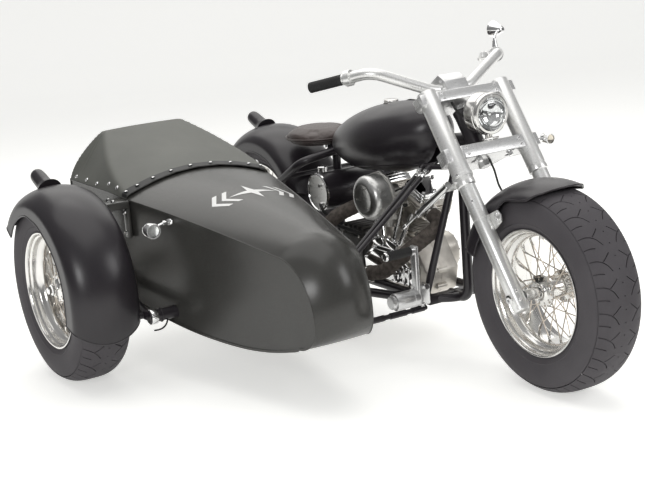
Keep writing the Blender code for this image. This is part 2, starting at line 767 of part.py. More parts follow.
def make_fork():
    """Two straight legs in billet clamps, with the stem in the lower one."""
    legs = {}
    for side, label in SIDES:
        sleeve = SLEEVE_START + SLEEVE_RADIUS - LEG_RADIUS
        profile = [(0, LEG_TOP), (SLEEVE_RADIUS - LEG_CHAMFER, LEG_TOP),
                   (SLEEVE_RADIUS, LEG_TOP - LEG_CHAMFER), (SLEEVE_RADIUS, sleeve),
                   (LEG_RADIUS, SLEEVE_START), (LEG_RADIUS, LEG_TIP - LEG_BOTTOM),
                   (LEG_RADIUS - LEG_CHAMFER, -LEG_BOTTOM), (0, -LEG_BOTTOM)]
        legs[label] = add_turned(f"fork_leg_{label}", profile, ALUMINIUM, "steering",
                                 on_fork(0, across=side * FORK_HALF), TURN_TO_FORK, steps=ROUND)
    ear_length = EAR_MARGIN - DAMPER_AHEAD
    ear_width = -DAMPER_ACROSS - FORK_HALF + EAR_MARGIN
    ear_at = DAMPER_ALONG - DAMPER_TUBE_RADIUS - SEAT_GAP - EAR_THICKNESS / 2
    ear = add("damper_ear", box_mesh("ear", (ear_length, ear_width, EAR_THICKNESS)), ALUMINIUM,
              "steering", on_fork(ear_at, -ear_length / 2, -FORK_HALF - ear_width / 2), TURN_TO_FORK,
              cutter=True)
    combine(legs["right"], [ear], "UNION")
    lower = make_clamp("lower", LOWER_CLAMP_AT, LOWER_CLAMP_DEPTH)
    make_clamp("upper", UPPER_CLAMP_AT, UPPER_CLAMP_DEPTH)
    stem_top = UPPER_CLAMP_AT - UPPER_CLAMP_DEPTH / 2 - SEAT_GAP
    stem = add_rod("stem", on_fork(LOWER_CLAMP_AT, -STEER_OFFSET), on_fork(stem_top, -STEER_OFFSET),
                   STEM_RADIUS, ALUMINIUM, "steering", ROUND, cutter=True)
    combine(lower, [stem], "UNION")
    add_axle("front_axle", "steering", FRONT_AXLE, FORK_HALF - LEG_RADIUS - SEAT_GAP)


def make_handlebar():
    """A bent bar held in a block on the upper clamp, with a lever and its perch at each grip."""
    bar_at = UPPER_CLAMP_AT + UPPER_CLAMP_DEPTH / 2 + BAR_ABOVE
    centre = on_fork(bar_at, -STEER_OFFSET)
    bend = centre + Vector((-BAR_BEND_BACK, BAR_BEND_Y, BAR_BEND_RISE))
    end = centre + Vector((-BAR_END_BACK, BAR_END_Y, BAR_END_RISE))
    left_half = [centre + LEFT * BAR_CENTRE_HALF, bend, end]
    right_half = [Vector((p.x, -p.y, p.z)) for p in reversed(left_half)]
    bar = made_mesh(add_tube("handlebar", rounded_path(right_half + left_half, BAR_BEND_RADIUS),
                             BAR_RADIUS, ALUMINIUM, "steering", 3))
    for side, label in SIDES:
        tip = Vector((end.x, side * end.y, end.z))
        along = (tip - Vector((bend.x, side * bend.y, bend.z))).normalized()
        out = along.cross(UP).normalized() * -side
        add_rod(f"grip_{label}", tip + along * SEAT_GAP, tip + along * GRIP_LENGTH, GRIP_RADIUS,
                GRIP_RUBBER, "steering")
        perch = tip - along * PERCH_BACK
        ring = add_rod(f"{label}_perch", perch - along * PERCH_LENGTH / 2,
                       perch + along * PERCH_LENGTH / 2, PERCH_RADIUS, ALUMINIUM, "steering",
                       cutter=True)
        heart = perch + out * LEVER_REACH
        reservoir = add_rod(f"{label}_reservoir", heart - along * RESERVOIR_LENGTH / 2,
                            heart + along * RESERVOIR_LENGTH / 2, RESERVOIR_RADIUS, ALUMINIUM,
                            "steering", SMALL_ROUND, cutter=True)
        arm = add_rod(f"{label}_perch_arm", perch, heart, RESERVOIR_RADIUS - LEVER_RADIUS, ALUMINIUM,
                      "steering", SMALL_ROUND, cutter=True)
        lever = add_rod(f"{label}_lever", heart, heart + along * LEVER_LENGTH, LEVER_RADIUS,
                        ALUMINIUM, "steering", SMALL_ROUND, cutter=True)
        combine(bar, [ring, arm, reservoir, lever], "UNION")
    mirror = Vector((end.x - MIRROR_BACK, MIRROR_Y, end.z + MIRROR_RISE))
    head_half = FORWARD * MIRROR_HALF_LENGTH
    head = add_rod("mirror", mirror - head_half, mirror + head_half, MIRROR_RADIUS, CHROME,
                   "steering", top_radius=MIRROR_TIP_RADIUS)
    along = (end - bend).normalized()
    off = (UP - along * along.z).normalized()
    foot = end - along * PERCH_BACK + off * (PERCH_RADIUS + SEAT_GAP)
    knee = foot + off * PERCH_LENGTH
    socket = add_rod("mirror_foot", foot, knee, 2 * MIRROR_STEM_RADIUS, CHROME, "steering",
                     SMALL_ROUND, cutter=True)
    stem = add_rod("mirror_stem", knee - off * WELD, mirror, MIRROR_STEM_RADIUS, CHROME, "steering",
                   SMALL_ROUND, cutter=True)
    combine(head, [stem, socket], "UNION")
    top = UPPER_CLAMP_AT + UPPER_CLAMP_DEPTH / 2
    slope = BLOCK_HEIGHT * BLOCK_SLOPE_SHARE
    side_view = [(-BLOCK_HALF_LENGTH, -WELD), (BLOCK_HALF_LENGTH, -WELD), (BLOCK_HALF_LENGTH, slope),
                 (BLOCK_HALF_LENGTH / 2, BLOCK_HEIGHT), (-BLOCK_HALF_LENGTH, BLOCK_HEIGHT)]
    block = add("bar_block", outline_mesh("block", side_view, 2 * BLOCK_HALF_WIDTH, CLAMP_BEVEL),
                ALUMINIUM, "steering", on_fork(top, -STEER_OFFSET), TURN_TO_FORK @ UPRIGHT,
                cutter=True)
    reach = LEFT * (BLOCK_HALF_WIDTH + OVERRUN)
    hole = add_rod("bar_hole", centre - reach, centre + reach, BAR_RADIUS + SEAT_GAP, ALUMINIUM,
                   "steering", ROUND, cutter=True)
    clamp = bpy.data.objects["upper_clamp"]
    combine(clamp, [block], "UNION")
    combine(clamp, [hole], "DIFFERENCE")


def make_headlight():
    """A round lamp on a post whose foot stands on the lower clamp."""
    front = on_fork(HEADLIGHT_AT, HEADLIGHT_AHEAD) + FORWARD * HEADLIGHT_FRONT
    profile = [(0, 0), (HEADLIGHT_RADIUS - HEADLIGHT_CHAMFER, 0), (HEADLIGHT_RADIUS, -HEADLIGHT_EDGE),
               (HEADLIGHT_RADIUS, -HEADLIGHT_BARREL), (HEADLIGHT_TAIL_RADIUS, -HEADLIGHT_DEPTH),
               (0, -HEADLIGHT_DEPTH)]
    turn = aim(FORWARD)
    add_turned("headlight_housing", profile, ALUMINIUM, "steering", front, turn)
    add_turned("headlight_lens", [(0, LENS_CROWN), (LENS_STEP_RADIUS, LENS_CROWN * 3 / 4),
                                  (LENS_RADIUS, SEAT_GAP), (0, SEAT_GAP)],
               CLEAR_GLASS, "steering", front, turn)
    middle = front - FORWARD * HEADLIGHT_DEPTH / 2
    foot_at = LOWER_CLAMP_AT + LOWER_CLAMP_DEPTH / 2 + SEAT_GAP + FOOT_THICKNESS / 2
    foot = on_fork(foot_at, BRACKET_AHEAD)
    bracket = add("headlight_bracket", box_mesh("foot", (FOOT_LENGTH, FOOT_WIDTH, FOOT_THICKNESS)),
                  ALUMINIUM, "steering", foot, TURN_TO_FORK)
    weld = (middle - foot).normalized() * WELD
    post = add_rod("headlight_post", foot + weld, middle, BRACKET_RADIUS, ALUMINIUM, "steering",
                   SMALL_ROUND, cutter=True)
    combine(bracket, [post], "UNION")
    reach = FORWARD * (HEADLIGHT_DEPTH + OVERRUN)
    seat = add_rod("headlight_seat", middle - reach, middle + reach, HEADLIGHT_RADIUS + SEAT_GAP,
                   ALUMINIUM, "steering", FINE_ROUND, cutter=True)
    combine(bracket, [seat], "DIFFERENCE")


def make_turn_signal():
    """A small bullet lamp on a stem at the left end of the lower clamp."""
    end = FORK_HALF + CLAMP_OUT
    root = on_fork(LOWER_CLAMP_AT, 0, end + SEAT_GAP)
    middle = root + LEFT * (SIGNAL_OUT + SIGNAL_RADIUS)
    half = SIGNAL_LENGTH / 2
    profile = [(0, half), (SIGNAL_RADIUS, half), (SIGNAL_RADIUS, -half / 2),
               (SIGNAL_RADIUS / 2, -half), (0, -half)]
    signal = add_turned("turn_signal", profile, CHROME, "steering", middle, aim(FORWARD), HUB_STEPS)
    stem = add_rod("signal_stem", root, middle, SIGNAL_STEM_RADIUS, CHROME, "steering", SMALL_ROUND,
                   cutter=True)
    combine(signal, [stem], "UNION")


def add_fender(name, body, axle, start, end, steps, radius=FENDER_RADIUS):
    """A deep, round-crowned shell, swept about its axle between two angles."""
    arcs = 6
    section = [(SKIRT_RADIUS, FENDER_HALF_WIDTH)]
    for i in range(arcs + 1):
        turn = math.pi * i / arcs
        section.append((radius - FENDER_CROWN + FENDER_CROWN * math.sin(turn),
                        FENDER_HALF_WIDTH * math.cos(turn)))
    section.append((SKIRT_RADIUS, -FENDER_HALF_WIDTH))
    turn = TURN_TO_Y @ Matrix.Rotation(-end, 3, "Z")
    fender = add_turned(name, section, SATIN_BLACK, body, axle, turn, steps=steps, sweep=end - start)
    add_solidify(fender, FENDER_WALL, 1)
    return fender


def seat_tube_x():
    """The seat tube stands just behind the oil tank."""
    return OIL_TANK_X - OIL_TANK_RADIUS - SEAT_GAP - TUBE_RADIUS


def frame_routes():
    """The routes of the frame's tubes, as (points, radius, bend)."""
    rail_front = DOWNTUBE_X - RAIL_FRONT_BACK
    rail_start = DOWNTUBE_X - RAIL_START_BACK
    downtube_top = NECK_LOW + FORK_UP * NECK_JOIN
    knee = Vector((DOWNTUBE_X, 0, downtube_top.z - KNEE_DROP))
    routes = [([NECK_MIDDLE, SPINE_REAR], SPINE_RADIUS, 0),
              ([downtube_top, knee, (DOWNTUBE_X, 0, RAIL_HEIGHT), (rail_start, 0, RAIL_HEIGHT)],
               DOWNTUBE_RADIUS, FRAME_BEND)]
    axle_z = REAR_AXLE.z
    rail = [(-STAY_REAR, STAY_HALF, axle_z - STAY_REAR_RISE / 2),
            (KINK_X, STAY_HALF, RAIL_HEIGHT + KINK_RISE), (RAIL_REAR_X, RAIL_HALF, RAIL_HEIGHT),
            (rail_start, RAIL_HALF, RAIL_HEIGHT)]
    stay = [(-STAY_REAR / 2, STAY_HALF, axle_z + STAY_REAR_RISE),
            (STAY_TOP_X, STAY_HALF, SPINE_REAR_Z - STAY_TOP_DROP)]
    for half, middle in ((rail, (rail_front, 0, RAIL_HEIGHT)), (stay, SPINE_REAR)):
        other = [(x, -y, z) for x, y, z in reversed(half)]
        routes.append((half + [middle] + other, TUBE_RADIUS, FRAME_BEND))
    routes.append(([(DOWNTUBE_X + BRACE_TOP_X, -BRACE_TOP_Y, BRACE_TOP_Z),
                    (DOWNTUBE_X - BRACE_FOOT_BACK, -RAIL_HALF, RAIL_HEIGHT)], BRACE_RADIUS, 0))
    x = seat_tube_x()
    routes.append(([(x, 0, SPINE_REAR_Z), (x, 0, RAIL_HEIGHT)], TUBE_RADIUS, 0))
    routes.append(([(x, -RAIL_HALF, RAIL_HEIGHT), (x, RAIL_HALF, RAIL_HEIGHT)], BRACE_RADIUS, 0))
    return routes


def fender_bridge():
    """Where a cross tube between the upper stays just meets the rear fender's crown."""
    reach = (FENDER_RADIUS + FENDER_WALL) * FACET_SHARE + SEAT_GAP + THIN_TUBE_RADIUS
    top = Vector((STAY_TOP_X, 0, SPINE_REAR_Z - STAY_TOP_DROP))
    foot = Vector((-STAY_REAR / 2, 0, REAR_AXLE.z + STAY_REAR_RISE))
    along = (top - foot).normalized()
    offset = foot - REAR_AXLE
    half = offset.dot(along)
    run = -half + math.sqrt(half * half - offset.length_squared + reach * reach)
    return foot + along * run


def make_frame():
    """The rigid frame: neck, spine, downtube, rails and stays, welded with its lugs."""
    frame = add_rod("main_frame", NECK_LOW, NECK_HIGH, NECK_RADIUS, SATIN_BLACK, "root", ROUND)
    joins = []
    for i, (points, radius, bend) in enumerate(frame_routes()):
        path = rounded_path(points, bend) if bend else points
        joins.append(made_mesh(add_tube(f"frame_tube_{i}", path, radius, SATIN_BLACK, "root"),
                               cutter=True))
    for side, label in SIDES:
        plate = (PLATE_LENGTH, PLATE_THICKNESS, PLATE_HEIGHT)
        joins.append(add(f"axle_plate_{label}", box_mesh("plate", plate), SATIN_BLACK, "root",
                         REAR_AXLE + LEFT * side * STAY_HALF, cutter=True))
        lug_width = RAIL_HALF - CASE_HALF_DEPTH - SEAT_GAP
        lug_y = side * (RAIL_HALF - lug_width / 2)
        for lean in (-1, 1):
            joins.append(add(f"engine_lug_{label}_{lean}",
                             box_mesh("lug", (LUG_LENGTH, lug_width, LUG_HEIGHT)), SATIN_BLACK, "root",
                             (CRANK.x + lean * LUG_AHEAD, lug_y, RAIL_HEIGHT), cutter=True))
    bridge = fender_bridge()
    across = LEFT * STAY_HALF
    joins.append(add_rod("fender_bridge", bridge - across, bridge + across, THIN_TUBE_RADIUS,
                         SATIN_BLACK, "root", SMALL_ROUND, cutter=True))
    bar_x = DOWNTUBE_X - CROSS_BAR_BACK
    bar_width = 2 * (RAIL_HALF + TUBE_RADIUS)
    joins.append(add("control_bar", box_mesh("bar", (CROSS_BAR_SIZE, bar_width, CROSS_BAR_SIZE)),
                     SATIN_BLACK, "root", (bar_x, 0, RAIL_HEIGHT), cutter=True))
    post_foot = SPINE_REAR.z - SPINE_RADIUS
    post = (SEAT_POST_LENGTH, SEAT_POST_WIDTH, SEAT_Z - post_foot)
    joins.append(add("seat_post", box_mesh("post", post), SATIN_BLACK, "root",
                     (seat_tube_x(), 0, (SEAT_Z + post_foot) / 2), cutter=True))
    for i, (boss, head, foot) in enumerate(strut_places()):
        joins.append(add_rod(f"strut_boss_{i}", boss, head - (foot - head).normalized() * SEAT_GAP,
                             STRUT_BOSS_RADIUS, SATIN_BLACK, "root", SMALL_ROUND, cutter=True))
    first, second = (places[0] for places in strut_places())
    arm = [Vector((DOWNTUBE_X, 0, second.z)), second, first]
    joins.append(made_mesh(add_tube("strut_arm", arm, THIN_TUBE_RADIUS, SATIN_BLACK, "root"),
                           cutter=True))
    joins.append(damper_shelf())
    combine(frame, joins, "UNION")
    bore = add_rod("neck_bore", NECK_LOW - FORK_UP * OVERRUN, NECK_HIGH + FORK_UP * OVERRUN,
                   STEM_RADIUS + RUNNING_GAP, SATIN_BLACK, "root", ROUND, cutter=True)
    under_seat = seat_solid("seat_clear", SEAT_GAP, True)
    combine(frame, [bore, under_seat], "DIFFERENCE")
    add_axle("rear_axle", "root", REAR_AXLE, STAY_HALF - TUBE_RADIUS - SEAT_GAP)


def damper_shelf():
    """A bracket from the right brace that ends in a pad under the damper rod's eye."""
    eye = DAMPER_PIN - FORK_AHEAD * DAMPER_REACH
    pad = DAMPER_SHELF_HALF
    brace_side = -DAMPER_ACROSS - BRACE_TOP_Y
    plan = [(-pad, -pad), (pad, -pad), (pad, DAMPER_SHELF_CLEAR),
            (DAMPER_SHELF_REACH, DAMPER_SHELF_CLEAR), (DAMPER_SHELF_REACH, brace_side),
            (DAMPER_SHELF_REACH - 2 * pad, brace_side), (DAMPER_SHELF_REACH - 2 * pad, DAMPER_DRIFT),
            (-pad, DAMPER_DRIFT)]
    drop = DAMPER_ROD_RADIUS + SEAT_GAP + EAR_THICKNESS / 2
    return add("damper_shelf", outline_mesh("shelf", plan, EAR_THICKNESS), SATIN_BLACK, "root",
               eye - FORK_UP * drop, TURN_TO_FORK, cutter=True)


def cylinder_axis(side):
    return Vector((side * math.sin(CYLINDER_LEAN), 0, math.cos(CYLINDER_LEAN)))


def cylinder_cross(side):
    """The direction square to a cylinder that points away from the other one."""
    return Vector((side * math.cos(CYLINDER_LEAN), 0, -math.sin(CYLINDER_LEAN)))


def case_outline():
    """The crankcase from its right: flat decks square to the cylinders on a rounded case."""
    points = [(x * CASE_HALF_LENGTH, z * (CASE_DROP if z < 0 else CASE_SHOULDER))
              for x, z in CASE_SHOULDER_SHARES]
    deck = cylinder_axis(1) * (CYLINDER_START - SEAT_GAP)
    outer = deck + cylinder_cross(1) * DECK_HALF
    inner = deck - cylinder_cross(1) * DECK_HALF
    points += [(outer.x, outer.z), (inner.x, inner.z), (-inner.x, inner.z), (-outer.x, outer.z)]
    return points


def make_engine():
    """Crankcase, covers, gearbox and two finned cylinders with heads and rocker boxes."""
    add("crankcase", outline_mesh("crankcase", case_outline(), 2 * CASE_HALF_DEPTH), ALUMINIUM,
        "root", CRANK, UPRIGHT)
    cam_y = -CASE_HALF_DEPTH - SEAT_GAP - CAM_DEPTH / 2
    outline = [(x * CAM_HALF_LENGTH, z * CAM_HEIGHT) for x, z in CAM_SHARES]
    cam = add("cam_cover", outline_mesh("cam", outline, CAM_DEPTH), ALUMINIUM, "root",
              CRANK + LEFT * cam_y, UPRIGHT)
    primary = []
    for i in range(FINE_ROUND):
        turn = CIRCLE * i / FINE_ROUND
        offset = -PRIMARY_REAR if math.cos(turn) < 0 else PRIMARY_FRONT
        primary.append((offset + PRIMARY_RADIUS * math.cos(turn),
                        PRIMARY_RISE + PRIMARY_RADIUS * math.sin(turn)))
    add("primary_cover", outline_mesh("primary", primary, PRIMARY_DEPTH), ALUMINIUM, "root",
        CRANK + LEFT * (CASE_HALF_DEPTH + SEAT_GAP + PRIMARY_DEPTH / 2), UPRIGHT)
    gearbox_front = CASE_HALF_LENGTH + SEAT_GAP
    gearbox = (GEARBOX_REAR - gearbox_front, 2 * CASE_HALF_DEPTH, GEARBOX_HEIGHT)
    add("gearbox", box_mesh("gearbox", gearbox, GEARBOX_BEVEL, 2), ALUMINIUM, "root",
        CRANK + Vector((-(GEARBOX_REAR + gearbox_front) / 2, 0, GEARBOX_RISE)))
    for side, label in ((1, "front"), (-1, "rear")):
        axis = cylinder_axis(side)
        profile = [(0, HEAD_START)]
        pitch = (HEAD_START - FIN_START) / FINS
        for i in range(FINS):
            top = HEAD_START - i * pitch
            profile += [(FIN_RADIUS, top), (FIN_RADIUS, top - FIN_THICKNESS),
                        (BARREL_RADIUS, top - FIN_THICKNESS), (BARREL_RADIUS, top - pitch)]
        profile += [(BARREL_RADIUS, CYLINDER_START), (0, CYLINDER_START)]
        add_turned(f"{label}_cylinder", profile, ALUMINIUM, "root", CRANK, aim(axis), HUB_STEPS)
        turn = Matrix.Rotation(side * CYLINDER_LEAN, 3, "Y")
        head_at = HEAD_START + SEAT_GAP + HEAD_DEPTH / 2
        add(f"{label}_head", box_mesh("head", (2 * HEAD_HALF, 2 * HEAD_HALF, HEAD_DEPTH), HEAD_BEVEL),
            ALUMINIUM, "root", CRANK + axis * head_at, turn)
        rocker_at = head_at + HEAD_DEPTH / 2 + SEAT_GAP + ROCKER_DEPTH / 2
        rocker = (2 * ROCKER_HALF_LENGTH, 2 * ROCKER_HALF_WIDTH, ROCKER_DEPTH)
        add(f"{label}_rocker_box", box_mesh("rocker", rocker, ROCKER_BEVEL), CHROME, "root",
            CRANK + axis * rocker_at, turn)
        for i, share in enumerate(PUSHROD_FOOT_SHARES):
            foot = CRANK + Vector((side * share * CAM_HALF_LENGTH, cam_y, CAM_HEIGHT - WELD))
            lean = (2 * i - 1) * PUSHROD_HEAD_OFFSET
            head = (CRANK + axis * (HEAD_START - PUSHROD_HEAD_GAP) + cylinder_cross(side) * lean
                    - LEFT * (HEAD_HALF - PUSHROD_RADIUS - SEAT_GAP))
            rod = add_rod(f"{label}_pushrod_{i}", foot, head, PUSHROD_RADIUS, CHROME, "root", 8,
                          cutter=True)
            combine(cam, [rod], "UNION")


def make_air_cleaner():
    """The drum, its back plate and throat on a bar that is bolted across both heads."""
    place = CRANK + Vector((AIR_CLEANER_AHEAD, -AIR_CLEANER_OUT, AIR_CLEANER_RISE))
    back = place + LEFT * AIR_CLEANER_DEPTH
    add_rod("air_cleaner", place, back, AIR_CLEANER_RADIUS, ALUMINIUM, "root", WHEEL_STEPS)
    plate_front = back + LEFT * SEAT_GAP
    plate = add_rod("air_cleaner_back", plate_front, plate_front + LEFT * BACKPLATE_DEPTH,
                    BACKPLATE_RADIUS, ALUMINIUM, "root", BACKPLATE_SIDES)
    head_at = HEAD_START + SEAT_GAP + HEAD_DEPTH / 2
    bridge_y = -HEAD_HALF - SEAT_GAP - BRIDGE_DEPTH / 2
    ends = [CRANK + cylinder_axis(side) * head_at for side in (1, -1)]
    length = ends[0].x - ends[1].x + HEAD_HALF
    bridge = add("head_bridge", box_mesh("bridge", (length, BRIDGE_DEPTH, BRIDGE_HEIGHT)), ALUMINIUM,
                 "root", ((ends[0].x + ends[1].x) / 2, bridge_y, ends[0].z), cutter=True)
    throat_end = Vector((place.x, bridge_y, place.z))
    throat = add_rod("throat", plate_front + LEFT * WELD, throat_end, THROAT_RADIUS, ALUMINIUM,
                     "root", HUB_STEPS, cutter=True)
    bowl_centre = (plate_front + throat_end) / 2 - UP * BOWL_DROP / 2
    bowl = add("carburettor_bowl", box_mesh("bowl", (2 * BOWL_HALF, BOWL_HEIGHT, BOWL_DROP),
                                            CONTROL_BEVEL), ALUMINIUM, "root", bowl_centre,
               cutter=True)
    combine(plate, [throat, bridge, bowl], "UNION")


def make_oil_tank_and_pipes():
    middle = Vector((OIL_TANK_X, 0, OIL_TANK_Z))
    half = OIL_TANK_HALF
    edge = OIL_TANK_RADIUS - OIL_TANK_BEVEL
    profile = mirrored([(0, half), (edge, half), (OIL_TANK_RADIUS, half - OIL_TANK_BEVEL)])
    add_turned("oil_tank", profile, ALUMINIUM, "root", middle, TURN_TO_Y, WHEEL_STEPS)
    port_at = HEAD_START + SEAT_GAP + HEAD_DEPTH / 2
    for side, label in ((1, "front"), (-1, "rear")):
        cross = cylinder_cross(side)
        port = (CRANK + cylinder_axis(side) * port_at + cross * (HEAD_HALF + SEAT_GAP)
                - LEFT * PORT_RIGHT)
        table = FRONT_PIPE if side > 0 else REAR_PIPE
        bend = FRONT_PIPE_BEND if side > 0 else REAR_PIPE_BEND
        route = [port, port + cross * PIPE_ELBOW] + [CRANK + Vector(place) for place in table]
        end = route[-1]
        route.append(Vector((-PIPE_END_BACK, end.y, end.z)))
        add_tube(f"{label}_exhaust", rounded_path(route, bend), PIPE_RADIUS, PIPE_WRAP, "root", 3)


def spine_turn():
    along = NECK_MIDDLE - SPINE_REAR
    return Matrix.Rotation(-math.atan2(along.z, along.x), 3, "Y")


def make_tank():
    """An egg fuller at its front, over a tunnel for the spine, with its cap in a recess."""
    front = WHEELBASE - TANK_FRONT_BACK
    centre = Vector((front - TANK_LENGTH / 2, 0, TANK_Z))
    bm = bmesh.new()
    bmesh.ops.create_uvsphere(bm, u_segments=FINE_ROUND, v_segments=TANK_RINGS, radius=1)
    bmesh.ops.rotate(bm, verts=bm.verts, matrix=Matrix.Rotation(QUARTER, 3, "Y"))
    for vert in bm.verts:
        share = vert.co.x
        swell = 1 + TANK_SWELL_SHARE * share
        vert.co.y *= TANK_HALF_WIDTH * swell
        if 0 < share < 1 - MERGE:
            swell *= (1 - share * share) ** -TANK_FULLNESS_SHARE
        low = TANK_LOW_SHARE if vert.co.z < 0 else 1
        vert.co.z = vert.co.z * TANK_HALF_HEIGHT * swell * low + TANK_TILT * share
        vert.co.x *= TANK_LENGTH / 2
    tank = add("fuel_tank", mesh_from(bm, "tank"), SATIN_BLACK, "root", centre)
    turn = spine_turn()
    reach = SPINE_RADIUS + SEAT_GAP
    length = (NECK_MIDDLE - SPINE_REAR).length + 2 * OVERRUN
    offset = turn @ Vector((0, 0, reach - TANK_LENGTH / 2))
    tunnel = add("tank_tunnel", box_mesh("tunnel", (length, 2 * reach, TANK_LENGTH)), SATIN_BLACK,
                 "root", (NECK_MIDDLE + SPINE_REAR) / 2 + offset, turn, cutter=True)
    engine_top = ENGINE_TOP_Z - TANK_LENGTH / 2
    over_engine = add("tank_engine_room",
                      box_mesh("room", (ENGINE_ROOM_LENGTH, ENGINE_ROOM_WIDTH, TANK_LENGTH)),
                      SATIN_BLACK, "root", (CRANK.x, 0, engine_top), cutter=True)
    cap_foot = Vector((centre.x + CAP_AHEAD, 0, CAP_FOOT_Z))
    add_rod("fuel_cap", cap_foot, cap_foot + UP * CAP_HEIGHT, CAP_RADIUS, ALUMINIUM, "root", ROUND)
    recess = add_rod("cap_recess", cap_foot - UP * SEAT_GAP, cap_foot + UP * OVERRUN,
                     CAP_RADIUS + SEAT_GAP, ALUMINIUM, "root", ROUND, cutter=True)
    combine(tank, [tunnel, over_engine, recess], "DIFFERENCE")


def seat_solid(name, extra=0.0, cutter=False):
    bm = bmesh.new()
    bmesh.ops.create_uvsphere(bm, u_segments=ROUND, v_segments=8, radius=1)
    for vert in bm.verts:
        vert.co.x *= SEAT_RADIUS + extra
        vert.co.y *= SEAT_RADIUS * SEAT_WIDTH_SHARE + extra
        vert.co.z *= SEAT_HALF_THICKNESS + extra
    return add(name, mesh_from(bm, name), LEATHER, "root", (SEAT_X, 0, SEAT_Z),
               Matrix.Rotation(SEAT_TILT, 3, "Y"), cutter=cutter)


def at_share(share):
    return BODY_REAR_X + BODY_LENGTH * share


def deck_height(x):
    """The height of the sidecar's upper side edge."""
    share = (x - BODY_REAR_X) / BODY_LENGTH
    fall = max(0.0, (share - FALL_FROM_SHARE) / (1 - FALL_FROM_SHARE))
    return DECK_Z - DECK_FALL * fall ** FALL_POWER


def half_width(x):
    widest = at_share(WIDEST_SHARE)
    share = min(1.0, max(0.0, (x - widest) / (NOSE_X - widest)))
    return BODY_HALF_WIDTH + (NOSE_HALF_WIDTH - BODY_HALF_WIDTH) * share


def side_slope():
    return math.atan((BODY_HALF_WIDTH - NOSE_HALF_WIDTH) / (NOSE_X - at_share(WIDEST_SHARE)))


def side_outline():
    """The side's outline from its upper rear corner, as (x, z, share of crown, share of bulge)."""
    points = [(at_share(share), deck_height(at_share(share)), 1, 0) for share in DECK_SHARES]
    nose_x = NOSE_X - NOSE_ROUND
    nose_top, nose_low = deck_height(nose_x), DECK_Z - BELLY_DEPTH + NOSE_LOW
    points.append((nose_x, nose_top, 1, 0))
    for i in range(1, NOSE_STEPS):
        turn = 2 * QUARTER * i / NOSE_STEPS
        level = math.cos(turn)
        points.append((nose_x + NOSE_ROUND * math.sin(turn),
                       (nose_top + nose_low + (nose_top - nose_low) * level) / 2,
                       (1 + level) / 2, math.sin(turn)))
    floor = DECK_Z - BELLY_DEPTH
    points += [(at_share(x), floor + BELLY_DEPTH * z, 0, 0) for x, z in BELLY_SHARES]
    return points


def inset_outline(points, inset):
    """The outline moved inwards by an even distance from every one of its edges."""
    flat = [Vector((x, z)) for x, z, crown, bulge in points]
    moved = []
    for i, (point, (x, z, crown, bulge)) in enumerate(zip(flat, points)):
        before = (point - flat[i - 1]).normalized()
        after = (flat[(i + 1) % len(flat)] - point).normalized()
        inward = Vector((before.y + after.y, -before.x - after.x)).normalized()
        lean = inward.dot(Vector((before.y, -before.x)))
        place = point + inward * inset / lean
        moved.append((place.x, place.y, crown, bulge))
    return moved


def outline_rings(bm, points):
    """The outline's vertices in columns across the body, crowned on the deck, bulged at the nose."""
    rings = []
    for share in COLUMN_SHARES:
        rise = 1 - share * share
        rings.append([bm.verts.new((x + NOSE_BULGE * rise * bulge,
                                    BODY_CENTRE_Y + half_width(x) * share,
                                    z + DECK_CROWN * rise * crown))
                      for x, z, crown, bulge in points])
    return rings


def fill_side(bm, ring, first, last):
    """The flat side in two parts that meet at the bend."""
    bm.faces.new(ring[first:last + 1])
    bm.faces.new(ring[last:] + ring[:first + 1])


def body_bends():
    """Where the deck's and the belly's edges bend, as places in the outline."""
    widest = at_share(WIDEST_SHARE)
    return [i for i, (x, z, crown, bulge) in enumerate(side_outline()) if x == widest]


def body_solid(name, grow):
    """The whole body's shape as one closed cutter."""
    points = inset_outline(side_outline(), -grow)
    bm = bmesh.new()
    rings = outline_rings(bm, points)
    first, last = body_bends()
    for ring in (rings[0], rings[-1]):
        fill_side(bm, ring, first, last)
    count = len(points)
    for ring, after in zip(rings, rings[1:]):
        for i in range(count):
            j = (i + 1) % count
            bm.faces.new((ring[i], after[i], after[j], ring[j]))
    bmesh.ops.triangulate(bm, faces=bm.faces[:], quad_method="FIXED")
    return add(name, mesh_from(bm, name), SATIN_BLACK, "root", cutter=True)


def make_sidecar_body():
    """One sheet round deck, nose, belly and rear, open at its sides and at the cockpit."""
    outer_points = side_outline()
    inner_points = inset_outline(outer_points, BODY_WALL)
    bm = bmesh.new()
    outer, inner = outline_rings(bm, outer_points), outline_rings(bm, inner_points)
    count = len(outer_points)
    cockpit = [i for i in range(count - 1) if outer_points[i][2] == 1
               and at_share(COCKPIT_REAR_SHARE) <= outer_points[i][0] < at_share(WIDEST_SHARE)]
    open_columns = [c for c, share in enumerate(COLUMN_SHARES[:-1])
                    if -COCKPIT_SIDE_SHARE <= share < COCKPIT_SIDE_SHARE]
    cells = {(c, i) for c in range(len(COLUMN_SHARES) - 1) for i in range(count)
             if not (c in open_columns and i in cockpit)}
    for c, i in cells:
        j = (i + 1) % count
        bm.faces.new((outer[c][i], outer[c + 1][i], outer[c + 1][j], outer[c][j]))
        bm.faces.new((inner[c][j], inner[c + 1][j], inner[c + 1][i], inner[c][i]))
        edges = (((c, i), (c + 1, i), (c, (i - 1) % count)), ((c + 1, i), (c + 1, j), (c + 1, i)),
                 ((c + 1, j), (c, j), (c, j)), ((c, j), (c, i), (c - 1, i)))
        for (a, m), (b, n), beyond in edges:
            if beyond not in cells:
                bm.faces.new((outer[b][n], outer[a][m], inner[a][m], inner[b][n]))
    bmesh.ops.triangulate(bm, faces=bm.faces[:], quad_method="FIXED")
    add("sidecar_body", mesh_from(bm, "sidecar_body"), SATIN_BLACK, "root")
    make_sides()


